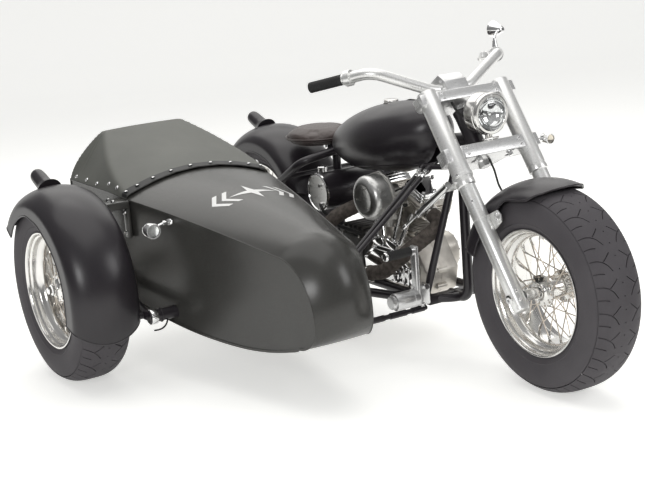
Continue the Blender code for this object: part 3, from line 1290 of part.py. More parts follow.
def make_sides():
    """The flat side panels, let into the sheet's open sides, with the fender's bracket."""
    points = inset_outline(side_outline(), BODY_WALL + SEAT_GAP)
    first, last = body_bends()
    count = len(points)
    sides = {}
    for side, label in SIDES:
        bm = bmesh.new()
        rings = [[bm.verts.new((x, BODY_CENTRE_Y + side * (half_width(x) - depth), z))
                  for x, z, crown, bulge in points] for depth in (0, BODY_WALL)]
        for ring in rings:
            fill_side(bm, ring, first, last)
        for i in range(count):
            j = (i + 1) % count
            bm.faces.new((rings[0][i], rings[1][i], rings[1][j], rings[0][j]))
        bmesh.ops.triangulate(bm, faces=bm.faces[:])
        sides[label] = add(f"sidecar_side_{label}", mesh_from(bm, label), SATIN_BLACK, "root")
        hole_start = Vector((ARM_X, BODY_CENTRE_Y, ARM_Z))
        hole = add_rod(f"chassis_hole_{label}", hole_start,
                       hole_start + LEFT * side * (BODY_HALF_WIDTH + OVERRUN), ARM_RADIUS + SEAT_GAP,
                       SATIN_BLACK, "root", ROUND, cutter=True)
        combine(sides[label], [hole], "DIFFERENCE")
    strap_y = BODY_CENTRE_Y - half_width(STRAP_X)
    strap_top = deck_height(STRAP_X + STRAP_WIDTH) - BODY_WALL - SEAT_GAP
    strap = add("bracket_strap", box_mesh("strap", (STRAP_WIDTH, STRAP_DEPTH + WELD, STRAP_LENGTH)),
                SATIN_BLACK, "root",
                (STRAP_X, strap_y - (STRAP_DEPTH - WELD) / 2, strap_top - STRAP_LENGTH / 2),
                Matrix.Rotation(side_slope(), 3, "Z"), cutter=True)
    tab_in = BODY_CENTRE_Y - BODY_HALF_WIDTH - SEAT_GAP
    tab_out = -SIDECAR_TRACK + FENDER_HALF_WIDTH + FENDER_WALL + SEAT_GAP
    tab = add("bracket_tab", box_mesh("tab", (TAB_LENGTH, tab_in - tab_out, TAB_HEIGHT)), SATIN_BLACK,
              "root", (TAB_X, (tab_in + tab_out) / 2, TAB_Z), cutter=True)
    combine(sides["right"], [strap, tab], "UNION")


def make_sidecar_lamp():
    """A chrome bullet on a stem from a small foot on the body's right side."""
    slope = side_slope()
    outward = Vector((math.sin(slope), -math.cos(slope), 0))
    foot = Vector((LAMP_FOOT_X, BODY_CENTRE_Y - half_width(LAMP_FOOT_X), LAMP_FOOT_Z))
    foot += outward * SEAT_GAP
    middle = Vector((LAMP_X, foot.y - LAMP_OUT, LAMP_Z))
    half = LAMP_LENGTH / 2
    profile = [(0, half), (LAMP_RADIUS, half), (LAMP_RADIUS, -half / 3), (LAMP_RADIUS / 2, -half),
               (0, -half)]
    lamp = add_turned("sidecar_front_lamp", profile, CHROME, "root", middle, aim(FORWARD), HUB_STEPS)
    disc = add_rod("lamp_foot", foot, foot + outward * STRAP_DEPTH, LAMP_FOOT_RADIUS, CHROME, "root",
                   SMALL_ROUND, cutter=True)
    stem = add_rod("lamp_stem", foot + outward * WELD, middle, LAMP_STEM_RADIUS, CHROME, "root",
                   SMALL_ROUND, cutter=True)
    combine(lamp, [disc, stem], "UNION")


def make_cover():
    """A tent over the seat back that lies down on the deck round the cockpit."""
    bm = bmesh.new()
    rings = []
    for share in COVER_COLUMN_SHARES:
        ring = []
        for along, rise in COVER_SHARES:
            x = COVER_REAR_X + COVER_LENGTH * along
            lift = max(0.0, rise - COVER_EDGE_SHARE) / (1 - COVER_EDGE_SHARE)
            half = half_width(x) - COVER_INSET - COVER_TAPER * lift
            sag = COVER_SAG * share * share * (1 - lift) * (rise > 0)
            ring.append(bm.verts.new((x, BODY_CENTRE_Y + half * share,
                                      COVER_FOOT_Z + COVER_RISE * rise - sag)))
        rings.append(ring)
    bm.faces.new(rings[0])
    bm.faces.new(list(reversed(rings[-1])))
    count = len(COVER_SHARES)
    for ring, after in zip(rings, rings[1:]):
        for i in range(count):
            j = (i + 1) % count
            bm.faces.new((ring[i], after[i], after[j], ring[j]))
    bmesh.ops.triangulate(bm, faces=bm.faces[:])
    cover = add("tonneau_cover", mesh_from(bm, "cover"), COVER_VINYL, "root")
    combine(cover, [body_solid("cover_bed", COVER_GAP)], "DIFFERENCE")


def strut_places():
    """Both struts as (end of its boss, head, foot)."""
    places = []
    for shift in (0, 1):
        foot_x = STRUT_FOOT_X + STRUT_FOOT_SPREAD * shift
        foot = Vector((foot_x, BODY_CENTRE_Y + half_width(foot_x) + STRUT_FOOT_OUT, STRUT_FOOT_Z))
        head = Vector((DOWNTUBE_X - STRUT_HEAD_BACK + STRUT_HEAD_SPREAD * shift, STRUT_HEAD_Y,
                       STRUT_HEAD_Z))
        places.append((head - (foot - head).normalized() * STRUT_BOSS_LENGTH, head, foot))
    return places


def make_sidecar_chassis():
    """Cross tubes from the motorcycle, a trailing arm for the wheel, and twin upper struts."""
    rail_side = -RAIL_HALF - TUBE_RADIUS - SEAT_GAP
    arm_y = -SIDECAR_TRACK + FENDER_HALF_WIDTH + ARM_OUT
    trail_y = arm_y + ARM_OUT / 7
    routes = [
        ([(ARM_X, rail_side, RAIL_HEIGHT), (ARM_X, -CROSS_IN_Y, RAIL_HEIGHT),
          (ARM_X, -CROSS_OUT_Y, ARM_Z), (ARM_X, arm_y, ARM_Z)], ARM_RADIUS),
        ([(ARM_X, arm_y + ARM_OUT, ARM_Z), (ARM_X - ARM_RADIUS, trail_y, ARM_Z),
          (SIDECAR_LEAD - STAY_REAR, trail_y, TYRE_RADIUS)], TRAILING_RADIUS),
        ([(CHASSIS_BRACE_X, rail_side, RAIL_HEIGHT),
          (CHASSIS_BRACE_X, rail_side - CHASSIS_BRACE_OUT, RAIL_HEIGHT),
          (ARM_X, -(CROSS_IN_Y + 2 * CROSS_OUT_Y) / 3, (RAIL_HEIGHT + ARM_Z) / 2)], TUBE_RADIUS),
    ]
    joins = []
    for i, (points, radius) in enumerate(routes):
        path = rounded_path(points, CHASSIS_BEND)
        joins.append(made_mesh(add_tube(f"chassis_tube_{i}", path, radius, SATIN_BLACK, "root", 3),
                               cutter=i > 0))
    chassis = joins[0]
    chassis.name = "sidecar_chassis"
    seat_y = trail_y - SIDECAR_AXLE.y
    spacer = HUB_HALF_WIDTH + RUNNING_GAP
    stub_profile = [(0, seat_y), (AXLE_COLLAR_RADIUS, seat_y), (AXLE_COLLAR_RADIUS, spacer),
                    (AXLE_RADIUS, spacer), (AXLE_RADIUS, -spacer), (0, -spacer)]
    stub = add_turned("sidecar_stub", stub_profile, CHROME, "root", SIDECAR_AXLE, TURN_TO_Y,
                      steps=ROUND, cutter=True)
    boss_foot = Vector((BOSS_AT_X, arm_y + ARM_OUT, BOSS_AT_Z))
    boss_end = -SIDECAR_TRACK + FENDER_HALF_WIDTH + FENDER_WALL + SEAT_GAP
    boss = add_rod("fender_boss", boss_foot, (BOSS_AT_X, boss_end, BOSS_AT_Z), BOSS_RADIUS,
                   SATIN_BLACK, "root", SMALL_ROUND, cutter=True)
    combine(chassis, joins[1:] + [stub, boss], "UNION")
    side = bpy.data.objects["sidecar_side_left"]
    for i, (boss_end, head, foot) in enumerate(strut_places()):
        add_rod(f"sidecar_strut_{i + 1}", head, foot, STRUT_RADIUS, SATIN_BLACK, "root", SMALL_ROUND)
        along = (foot - head).normalized()
        eye = add_rod(f"strut_eye_{i}", foot + along * SEAT_GAP,
                      foot + along * (STRUT_BOSS_LENGTH + SEAT_GAP), STRUT_BOSS_RADIUS, SATIN_BLACK,
                      "root", SMALL_ROUND, cutter=True)
        combine(side, [eye], "UNION")


def make_controls():
    """Forward controls on the lower rails: a plate with its cylinder, a peg and a pedal."""
    front = DOWNTUBE_X - CROSS_BAR_BACK
    for side, label in SIDES:
        out = LEFT * side
        rail_side = RAIL_HALF + TUBE_RADIUS + SEAT_GAP
        foot = Vector((front, 0, 0)) + out * rail_side
        block = add(f"{label}_foot_control", box_mesh("block", CONTROL_BLOCK, CONTROL_BEVEL),
                    ALUMINIUM, "root", foot + out * CONTROL_BLOCK[1] / 2 + UP * CONTROL_Z)
        plate_place = foot + FORWARD * CONTROL_PLATE_AHEAD + out * CONTROL_PLATE_OUT
        plate = add(f"{label}_plate", box_mesh("plate", CONTROL_PLATE, CONTROL_BEVEL), ALUMINIUM,
                    "root", plate_place + UP * CONTROL_PLATE_Z, cutter=True)
        low = plate_place + UP * CONTROL_Z - out * CONTROL_BEVEL
        barrel = add_rod(f"{label}_barrel", low, low + out * BARREL_LENGTH, CONTROL_BARREL_RADIUS,
                         ALUMINIUM, "root", ROUND, cutter=True)
        peg_root = plate_place + UP * PEG_Z
        peg = add_rod(f"{label}_peg", peg_root, peg_root + out * PEG_LENGTH, PEG_RADIUS, GRIP_RUBBER,
                      "root", HUB_STEPS, cutter=True)
        shaft = foot + FORWARD * PEDAL_AHEAD + out * PEG_RADIUS + UP * PEDAL_Z
        pedal = add_rod(f"{label}_pedal", shaft, shaft + out * PEDAL_LENGTH, PEDAL_RADIUS, ALUMINIUM,
                        "root", SMALL_ROUND, cutter=True)
        hanger_size = (PEG_RADIUS, PEG_RADIUS, CONTROL_Z - PEDAL_Z)
        hanger = add(f"{label}_hanger", box_mesh("hanger", hanger_size), ALUMINIUM, "root",
                     shaft + out * PEG_RADIUS + UP * (CONTROL_Z - PEDAL_Z) / 2, cutter=True)
        combine(block, [plate, barrel, peg, pedal, hanger], "UNION")


def make_damper():
    """A steering damper: its tube on the right leg, its rod reaching back to the frame."""
    back = -FORK_AHEAD
    bore = DAMPER_ROD_RADIUS + RUNNING_GAP
    length = DAMPER_TUBE_LENGTH
    profile = [(0, DAMPER_BASE), (bore, DAMPER_BASE), (bore, length), (DAMPER_TUBE_RADIUS, length),
               (DAMPER_TUBE_RADIUS, 0), (0, 0)]
    add_turned("damper_tube", profile, CHROME, "damper_tube", DAMPER_PIN, aim(back), HUB_STEPS)
    add_rod("damper_rod", DAMPER_PIN + back * DAMPER_ROD_START, DAMPER_PIN + back * DAMPER_REACH,
            DAMPER_ROD_RADIUS, CHROME, "damper_rod", SMALL_ROUND)


def add_nub(name, axle):
    """A finger-like lamp that grows out of a fender's crown."""
    root = axle + Vector((-NUB_BACK, 0, FENDER_RADIUS - NUB_SINK))
    tip = root + Vector((-NUB_RUN, 0, NUB_RISE))
    profile = [(0, NUB_LENGTH)]
    for i in range(1, 6):
        turn = QUARTER * i / 5
        profile.append((NUB_RADIUS * math.sin(turn), NUB_LENGTH - NUB_RADIUS * (1 - math.cos(turn))))
    profile += [(NUB_RADIUS, 0), (0, 0)]
    nub = add_turned(name, profile, SATIN_BLACK, "root", root, aim(tip - root), SMALL_ROUND)
    reach = FENDER_RADIUS + FENDER_WALL + NUB_GAP
    bed_profile = mirrored([(0, FENDER_HALF_WIDTH), (reach, FENDER_HALF_WIDTH)])
    bed = add_turned(name + "_bed", bed_profile, SATIN_BLACK, "root", axle, TURN_TO_Y,
                     2 * WHEEL_STEPS, cutter=True)
    combine(nub, [bed], "DIFFERENCE")


def make_brake_hose():
    """A thin hose from under the lower clamp to the crown of the front fender."""
    top = on_fork(LOWER_CLAMP_AT - LOWER_CLAMP_DEPTH / 2 - SEAT_GAP, -HOSE_BACK)
    out = Vector((-math.sin(HOSE_ANGLE), 0, math.cos(HOSE_ANGLE)))
    reach = FRONT_FENDER_RADIUS + FENDER_WALL + 2 * SEAT_GAP
    foot = FRONT_AXLE + out * reach
    route = [top, top - FORK_UP * HOSE_DROP, foot + out * HOSE_DROP, foot]
    add_tube("brake_hose", rounded_path(route, HOSE_BEND), HOSE_RADIUS, GRIP_RUBBER, "steering")


for prefix, axle in (("front", FRONT_AXLE), ("rear", REAR_AXLE), ("sidecar", SIDECAR_AXLE)):
    add_wheel(prefix, prefix + "_wheel", axle)
make_fork()
make_handlebar()
make_headlight()
make_turn_signal()
make_frame()
make_engine()
make_air_cleaner()
make_oil_tank_and_pipes()
make_tank()
seat_solid("seat")
make_sidecar_body()
make_sidecar_lamp()
make_cover()
make_sidecar_chassis()
make_controls()
make_damper()
make_brake_hose()
add_nub("rear_lamp", REAR_AXLE)
add_nub("sidecar_lamp", SIDECAR_AXLE)
add_fender("front_fender", "steering", FRONT_AXLE, FRONT_FENDER_FROM, FRONT_FENDER_TO, 8,
           FRONT_FENDER_RADIUS)
add_fender("rear_fender", "root", REAR_AXLE, REAR_FENDER_FROM, REAR_FENDER_TO, 14)
add_fender("sidecar_fender", "root", SIDECAR_AXLE, SIDECAR_FENDER_FROM, SIDECAR_FENDER_TO, 15)
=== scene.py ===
import json
import math

import bmesh
import bpy
from mathutils import Matrix, Vector, noise


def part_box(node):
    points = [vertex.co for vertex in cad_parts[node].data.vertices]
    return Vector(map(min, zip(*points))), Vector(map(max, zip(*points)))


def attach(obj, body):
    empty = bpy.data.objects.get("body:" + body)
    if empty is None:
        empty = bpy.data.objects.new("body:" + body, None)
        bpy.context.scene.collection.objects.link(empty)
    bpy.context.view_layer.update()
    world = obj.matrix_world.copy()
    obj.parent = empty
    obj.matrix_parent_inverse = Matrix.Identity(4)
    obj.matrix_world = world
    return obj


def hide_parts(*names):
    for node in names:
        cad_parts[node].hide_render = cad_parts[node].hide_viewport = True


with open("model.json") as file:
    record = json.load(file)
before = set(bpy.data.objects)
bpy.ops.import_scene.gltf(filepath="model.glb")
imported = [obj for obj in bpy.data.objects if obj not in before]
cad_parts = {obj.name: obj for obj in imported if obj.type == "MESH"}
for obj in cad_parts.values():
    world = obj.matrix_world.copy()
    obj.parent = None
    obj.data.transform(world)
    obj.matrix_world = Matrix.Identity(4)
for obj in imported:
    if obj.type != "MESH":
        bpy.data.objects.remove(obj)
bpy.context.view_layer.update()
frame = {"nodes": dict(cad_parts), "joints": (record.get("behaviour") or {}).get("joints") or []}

NODES = frame["nodes"]
JOINT = {joint["name"]: joint for joint in frame["joints"]}

# The vehicle's own frame: its rear axle is at x = 0 and the motorcycle's centre plane at y = 0.
# Places below are written there, and home() takes them to the world.
rear_low, rear_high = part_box("rear_tyre")
AXLE_HEIGHT = (rear_low.z + rear_high.z) / 2
HOME = Vector(((rear_low.x + rear_high.x) / 2, (rear_low.y + rear_high.y) / 2, 0))


def home(x, y, z):
    return HOME + Vector((x, y, z))


# The studio: a pale floor that sweeps up behind, soft lamps overhead and behind, and two in front.
# The camera stands low at the front right corner, with a long lens.
SWEEP_WIDTH = 16.0
SWEEP_FRONT = 9.0
SWEEP_BEND = 7.0
SWEEP_HEIGHT = 5.0
CAMERA_PLACE = home(5.166, -2.922, 1.648)
CAMERA_YAW = math.radians(149.072)
CAMERA_PITCH = math.radians(-13.877)
CAMERA_ROLL = math.radians(-4.432)
CAMERA_FOCAL_PIXELS = 1481.43
PHOTO_WIDTH = 645
SENSOR = 36.0
BACKDROP_GLOW = 0.52
AIR_STRENGTH, AIR_LOW, AIR_HIGH = 0.38, 0.42, 1.0
LIT_MIDDLE = home(0.8, -0.4, 0.4)
# Each lamp's name, place, width and height, power in watts, and colour.
LAMPS = (("overhead", home(0.9, -0.6, 4.0), (4.5, 3.5), 60, (1.0, 0.99, 0.97)),
         ("behind", home(-1.5, 0.9, 3.4), (4.5, 3.0), 58, (1.0, 0.99, 0.96)),
         ("front_right", home(4.6, -4.2, 2.4), (1.5, 1.3), 58, (1, 1, 1)),
         ("front_left", home(4.5, 2.2, 2.6), (1.6, 1.8), 36, (1, 1, 1)))


def new_nodes(name):
    material = bpy.data.materials.new(name)
    material.use_nodes = True
    tree = material.node_tree
    return material, tree, tree.nodes["Principled BSDF"]


def studio_paint():
    material, tree, shader = new_nodes("studio_paint")
    shader.inputs["Base Color"].default_value = (0.93, 0.93, 0.91, 1)
    shader.inputs["Roughness"].default_value = 0.85
    shader.inputs["Specular IOR Level"].default_value = 0.2
    path = tree.nodes.new("ShaderNodeLightPath")
    seen = tree.nodes.new("ShaderNodeMath")
    seen.operation = "MAXIMUM"
    tree.links.new(path.outputs["Is Camera Ray"], seen.inputs[0])
    tree.links.new(path.outputs["Is Glossy Ray"], seen.inputs[1])
    seen_glass = tree.nodes.new("ShaderNodeMath")
    seen_glass.operation = "MAXIMUM"
    tree.links.new(seen.outputs[0], seen_glass.inputs[0])
    tree.links.new(path.outputs["Is Transmission Ray"], seen_glass.inputs[1])
    glow = tree.nodes.new("ShaderNodeEmission")
    glow.inputs["Color"].default_value = (1.0, 1.0, 0.98, 1)
    lift = tree.nodes.new("ShaderNodeMath")
    lift.operation = "MULTIPLY"
    lift.inputs[1].default_value = BACKDROP_GLOW
    tree.links.new(seen_glass.outputs[0], lift.inputs[0])
    tree.links.new(lift.outputs[0], glow.inputs["Strength"])
    both = tree.nodes.new("ShaderNodeAddShader")
    tree.links.new(shader.outputs[0], both.inputs[0])
    tree.links.new(glow.outputs[0], both.inputs[1])
    # From behind, the sweep is clear, so that it hides nothing from a camera at the back.
    place = tree.nodes.new("ShaderNodeNewGeometry")
    clear = tree.nodes.new("ShaderNodeBsdfTransparent")
    one_sided = tree.nodes.new("ShaderNodeMixShader")
    tree.links.new(place.outputs["Backfacing"], one_sided.inputs[0])
    tree.links.new(both.outputs[0], one_sided.inputs[1])
    tree.links.new(clear.outputs[0], one_sided.inputs[2])
    tree.links.new(one_sided.outputs[0], tree.nodes["Material Output"].inputs["Surface"])
    return material


def look_from(place, yaw, pitch, roll):
    ahead = Vector((math.cos(yaw) * math.cos(pitch), math.sin(yaw) * math.cos(pitch),
                    math.sin(pitch)))
    level = Vector((math.sin(yaw), -math.cos(yaw), 0))
    rise = level.cross(ahead)
    right = level * math.cos(roll) + rise * math.sin(roll)
    top = rise * math.cos(roll) - level * math.sin(roll)
    turn = Matrix((right, top, -ahead)).transposed()
    return Matrix.Translation(place) @ turn.to_4x4()


def soft_lamp(name, place, size, power, colour):
    data = bpy.data.lights.new(name, "AREA")
    data.shape = "RECTANGLE"
    data.size, data.size_y = size
    data.energy = power
    data.color = colour
    lamp = bpy.data.objects.new(name, data)
    bpy.context.scene.collection.objects.link(lamp)
    lamp.location = place
    lamp.rotation_euler = (LIT_MIDDLE - place).to_track_quat("-Z", "Y").to_euler()


def make_studio():
    bm = bmesh.new()
    bmesh.ops.create_grid(bm, x_segments=40, y_segments=2, size=1)
    behind = Vector((math.cos(CAMERA_YAW), math.sin(CAMERA_YAW), 0))
    across = Vector((-behind.y, behind.x, 0))
    for vert in bm.verts:
        run = -SWEEP_FRONT + (vert.co.x + 1) / 2 * (SWEEP_FRONT + SWEEP_BEND + 3)
        rise = max(0.0, run - SWEEP_BEND) / 3
        place = behind * (run - 0.3 * rise) + across * vert.co.y * SWEEP_WIDTH / 2
        vert.co = Vector((place.x, place.y, SWEEP_HEIGHT * rise ** 2))
    mesh = bpy.data.meshes.new("studio_sweep")
    bm.to_mesh(mesh)
    bm.free()
    mesh.shade_smooth()
    sweep = bpy.data.objects.new("studio_sweep", mesh)
    bpy.context.scene.collection.objects.link(sweep)
    mesh.materials.append(studio_paint())

    lens = bpy.data.cameras.new("camera")
    lens.sensor_width = SENSOR
    lens.lens = CAMERA_FOCAL_PIXELS * SENSOR / PHOTO_WIDTH
    camera = bpy.data.objects.new("camera", lens)
    bpy.context.scene.collection.objects.link(camera)
    camera.matrix_world = look_from(CAMERA_PLACE, CAMERA_YAW, CAMERA_PITCH, CAMERA_ROLL)
    bpy.context.scene.camera = camera

    for lamp in LAMPS:
        soft_lamp(*lamp)

    world = bpy.data.worlds.new("studio_air")
    world.use_nodes = True
    bpy.context.scene.world = world
    tree = world.node_tree
    air = tree.nodes["Background"]
    air.inputs["Strength"].default_value = AIR_STRENGTH
    place = tree.nodes.new("ShaderNodeTexCoord")
    height = tree.nodes.new("ShaderNodeSeparateXYZ")
    tree.links.new(place.outputs["Generated"], height.inputs[0])
    shades = tree.nodes.new("ShaderNodeValToRGB")
    shades.color_ramp.elements[0].position = 0.0
    shades.color_ramp.elements[0].color = (AIR_LOW, AIR_LOW, AIR_LOW, 1)
    shades.color_ramp.elements[1].position = 0.75
    shades.color_ramp.elements[1].color = (AIR_HIGH, AIR_HIGH, AIR_HIGH, 1)
    tree.links.new(height.outputs["Z"], shades.inputs[0])
    tree.links.new(shades.outputs[0], air.inputs["Color"])
    # Past the sweep's edges the camera sees plain white.
    path = tree.nodes.new("ShaderNodeLightPath")
    white = tree.nodes.new("ShaderNodeBackground")
    white.inputs["Color"].default_value = (0.93, 0.93, 0.92, 1)
    either = tree.nodes.new("ShaderNodeMixShader")
    tree.links.new(path.outputs["Is Camera Ray"], either.inputs[0])
    tree.links.new(air.outputs[0], either.inputs[1])
    tree.links.new(white.outputs[0], either.inputs[2])
    tree.links.new(either.outputs[0], tree.nodes["World Output"].inputs["Surface"])
    bpy.context.scene.view_settings.view_transform = "Standard"


make_studio()


# Finishes that several pieces share. Each is one Principled shader whose colour, roughness and
# relief come from noise on Object coordinates, at the grain that the real finish has.
def grain(tree, scale, detail=3.0, stretch=(1, 1, 1), turn=(0, 0, 0)):
    place = tree.nodes.new("ShaderNodeTexCoord")
    mapping = tree.nodes.new("ShaderNodeMapping")
    mapping.inputs["Scale"].default_value = stretch
    mapping.inputs["Rotation"].default_value = turn
    texture = tree.nodes.new("ShaderNodeTexNoise")
    texture.inputs["Scale"].default_value = scale
    texture.inputs["Detail"].default_value = detail
    tree.links.new(place.outputs["Object"], mapping.inputs["Vector"])
    tree.links.new(mapping.outputs["Vector"], texture.inputs["Vector"])
    return texture.outputs["Fac"]


def spread(tree, source, low, high):
    """A value of 0.3 to 0.7 taken to a range."""
    span = tree.nodes.new("ShaderNodeMapRange")
    span.inputs["From Min"].default_value = 0.3
    span.inputs["From Max"].default_value = 0.7
    span.inputs["To Min"].default_value = low
    span.inputs["To Max"].default_value = high
    tree.links.new(source, span.inputs["Value"])
    return span.outputs["Result"]


def tint(tree, source, dark, light):
    shades = tree.nodes.new("ShaderNodeValToRGB")
    shades.color_ramp.elements[0].position = 0.30
    shades.color_ramp.elements[0].color = (*dark, 1)
    shades.color_ramp.elements[1].position = 0.70
    shades.color_ramp.elements[1].color = (*light, 1)
    tree.links.new(source, shades.inputs[0])
    return shades.outputs[0]


def relief(tree, shader, source, depth, strength=1.0):
    bump = tree.nodes.new("ShaderNodeBump")
    bump.inputs["Distance"].default_value = depth
    bump.inputs["Strength"].default_value = strength
    tree.links.new(source, bump.inputs["Height"])
    tree.links.new(bump.outputs["Normal"], shader.inputs["Normal"])


def finish(name, dark, light, roughness, metallic=0.0, patch=6.0, fine=700.0, depth=0.00006,
           stretch=(1, 1, 1), turn=(0, 0, 0), specular=0.5):
    material, tree, shader = new_nodes(name)
    shader.inputs["Metallic"].default_value = metallic
    shader.inputs["Specular IOR Level"].default_value = specular
    patches = grain(tree, patch)
    tree.links.new(tint(tree, patches, dark, light), shader.inputs["Base Color"])
    grit = grain(tree, fine, 2.0, stretch, turn)
    tree.links.new(spread(tree, grit, *roughness), shader.inputs["Roughness"])
    relief(tree, shader, grit, depth)
    return material


RAKE = math.asin(-JOINT["steering"]["axis"][0])
SATIN_BLACK = finish("satin_black_paint", (0.020, 0.017, 0.021), (0.026, 0.022, 0.026),
                     (0.27, 0.34), depth=0.00002, fine=1400)
BRUSHED = finish("brushed_aluminium", (0.82, 0.82, 0.81), (0.90, 0.90, 0.89), (0.26, 0.36), 0.7,
                 fine=900, stretch=(1, 1, 0.03), turn=(0, RAKE, 0), depth=0.00002)
CAST = finish("cast_aluminium", (0.44, 0.43, 0.41), (0.58, 0.57, 0.55), (0.34, 0.52), 1.0, fine=900,
              depth=0.0001)
POLISHED = finish("polished_aluminium", (0.72, 0.71, 0.69), (0.82, 0.81, 0.79), (0.14, 0.22), 1.0,
                  depth=0.00001)
CHROME = finish("chrome", (0.78, 0.78, 0.78), (0.86, 0.86, 0.86), (0.05, 0.09), 1.0, depth=0.000005)
RUBBER = finish("black_rubber", (0.014, 0.014, 0.014), (0.024, 0.024, 0.024), (0.55, 0.70),
                depth=0.00008)
TYRE = finish("tyre_rubber", (0.070, 0.064, 0.071), (0.094, 0.087, 0.095), (0.60, 0.78), fine=420,
              depth=0.00012)
LEATHER = finish("brown_leather", (0.062, 0.046, 0.044), (0.092, 0.071, 0.066), (0.32, 0.46),
                 fine=520, depth=0.0003)
VINYL = finish("cover_vinyl", (0.124, 0.127, 0.114), (0.148, 0.151, 0.135), (0.50, 0.62), fine=900,
               depth=0.0002)


def dress(material, *names):
    for name in names:
        node = NODES[name]
        node.data.materials.clear()
        node.data.materials.append(material)


# Every piece below is one mesh in world coordinates that rides on its CAD body. It is built in the
# vehicle's own frame, so shape() ends by moving it home.
def shape(name, bm, material, body="root", replaces=(), smooth=35, extra=()):
    mesh = bpy.data.meshes.new(name)
    bmesh.ops.translate(bm, vec=HOME, verts=bm.verts)
    bm.to_mesh(mesh)
    bm.free()
    mesh.shade_smooth()
    mesh.set_sharp_from_angle(angle=math.radians(smooth))
    piece = bpy.data.objects.new(name, mesh)
    bpy.context.scene.collection.objects.link(piece)
    for finish_used in (material, *extra):
        mesh.materials.append(finish_used)
    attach(piece, body)
    if replaces:
        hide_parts(*replaces)
    return piece


def lathe(profile, steps=96, angle=2 * math.pi, closed=False, material=0):
    """The profile, as (radius, height) down its outer side, turned about +Z."""
    bm = bmesh.new()
    verts = [bm.verts.new((radius, 0, height)) for radius, height in profile]
    ends = verts[1:] + verts[:1] if closed else verts[1:]
    edges = [bm.edges.new(pair) for pair in zip(verts, ends)]
    whole = abs(angle - 2 * math.pi) < 1e-6
    bmesh.ops.spin(bm, geom=verts + edges, cent=(0, 0, 0), axis=(0, 0, 1), angle=angle, steps=steps,
                   use_merge=whole, use_duplicate=False)
    bmesh.ops.remove_doubles(bm, verts=bm.verts, dist=1e-6)
    bmesh.ops.recalc_face_normals(bm, faces=bm.faces)
    for face in bm.faces:
        face.material_index = material
    return bm


def put(bm, piece, turn=None, place=(0, 0, 0)):
    """Adds a finished piece to bm, turned and then placed."""
    matrix = Matrix.Translation(place) @ (turn.to_4x4() if turn else Matrix.Identity(4))
    bmesh.ops.transform(piece, matrix=matrix, verts=piece.verts)
    held = bpy.data.meshes.new("held")
    piece.to_mesh(held)
    piece.free()
    bm.from_mesh(held)
    bpy.data.meshes.remove(held)
    return bm


def aim(direction, up="Y"):
    return Vector(direction).to_track_quat("Z", up).to_matrix()


def rod(bm, start, end, radius, sides=16, end_radius=None, material=0):
    start, end = Vector(start), Vector(end)
    piece = bmesh.new()
    bmesh.ops.create_cone(piece, cap_ends=True, segments=sides, radius1=radius,
                          radius2=radius if end_radius is None else end_radius,
                          depth=(end - start).length)
    for face in piece.faces:
        face.material_index = material
    return put(bm, piece, aim(end - start), (start + end) / 2)


def rounded(points, bend, steps=12):
    points = [Vector(point) for point in points]
    path = [points[0]]
    for before, corner, after in zip(points, points[1:], points[2:]):
        back, ahead = (before - corner).normalized(), (after - corner).normalized()
        reach = min(bend / math.tan(back.angle(ahead) / 2), (before - corner).length / 2,
                    (after - corner).length / 2)
        start, end = corner + back * reach, corner + ahead * reach
        path += [start.lerp(corner, i / steps).lerp(corner.lerp(end, i / steps), i / steps)
                 for i in range(steps + 1)]
    path.append(points[-1])
    return [point for i, point in enumerate(path) if i == 0 or (point - path[i - 1]).length > 1e-6]


def tube(bm, path, radius, sides=20, material=0, caps=True):
    """A round tube along the path; radius is one value or one for each point."""
    path = [Vector(point) for point in path]
    radii = radius if isinstance(radius, (list, tuple)) else [radius] * len(path)
    ahead = [(b - a).normalized() for a, b in zip(path, path[1:])]
    tangents = [ahead[0]] + [(a + b).normalized() for a, b in zip(ahead, ahead[1:])] + [ahead[-1]]
    side = tangents[0].orthogonal().normalized()
    rings = []
    for point, tangent, size in zip(path, tangents, radii):
        side = (side - tangent * side.dot(tangent)).normalized()
        other = tangent.cross(side)
        rings.append([bm.verts.new(point + (side * math.cos(a) + other * math.sin(a)) * size)
                      for a in (2 * math.pi * i / sides for i in range(sides))])
    for ring, after in zip(rings, rings[1:]):
        for i in range(sides):
            j = (i + 1) % sides
            bm.faces.new((ring[i], ring[j], after[j], after[i])).material_index = material
    if caps:
        bm.faces.new(list(reversed(rings[0]))).material_index = material
        bm.faces.new(rings[-1]).material_index = material
    return bm


def block(size, bevel=0.0, segments=3, material=0):
    bm = bmesh.new()
    bmesh.ops.create_cube(bm, size=1)
    bmesh.ops.scale(bm, vec=size, verts=bm.verts)
    if bevel:
        bmesh.ops.bevel(bm, geom=bm.edges[:], offset=bevel, segments=segments, profile=0.5,
                        affect="EDGES", material=-1)
    for face in bm.faces:
        face.material_index = material
    return bm


def hex_bolt(bm, place, direction, radius, height, material=0, washer=True):
    """A hexagonal head with a chamfered top, on a washer."""
    direction = Vector(direction).normalized()
    place = Vector(place)
    if washer:
        rod(bm, place, place + direction * height * 0.25, radius * 1.35, 24, material=material)
    base = place + direction * height * 0.25 * washer
    rod(bm, base, base + direction * height * 0.8, radius, 6, material=material)
    rod(bm, base + direction * height * 0.8, base + direction * height, radius, 6, radius * 0.8,
        material)
    return bm


def cap_screw(bm, place, direction, radius, height, material=0):
    """A round head with a round socket sunk in its top."""
    profile = [(0, height * 0.35), (radius * 0.5, height * 0.35), (radius * 0.5, height),
               (radius * 0.85, height), (radius, height * 0.85), (radius, 0), (0, 0)]
    piece = lathe(profile, 24, material=material)
    return put(bm, piece, aim(direction), place)


def evaluated_mesh(item):
    """The item's mesh as its modifiers leave it."""
    return bpy.data.meshes.new_from_object(
        item.evaluated_get(bpy.context.evaluated_depsgraph_get()))


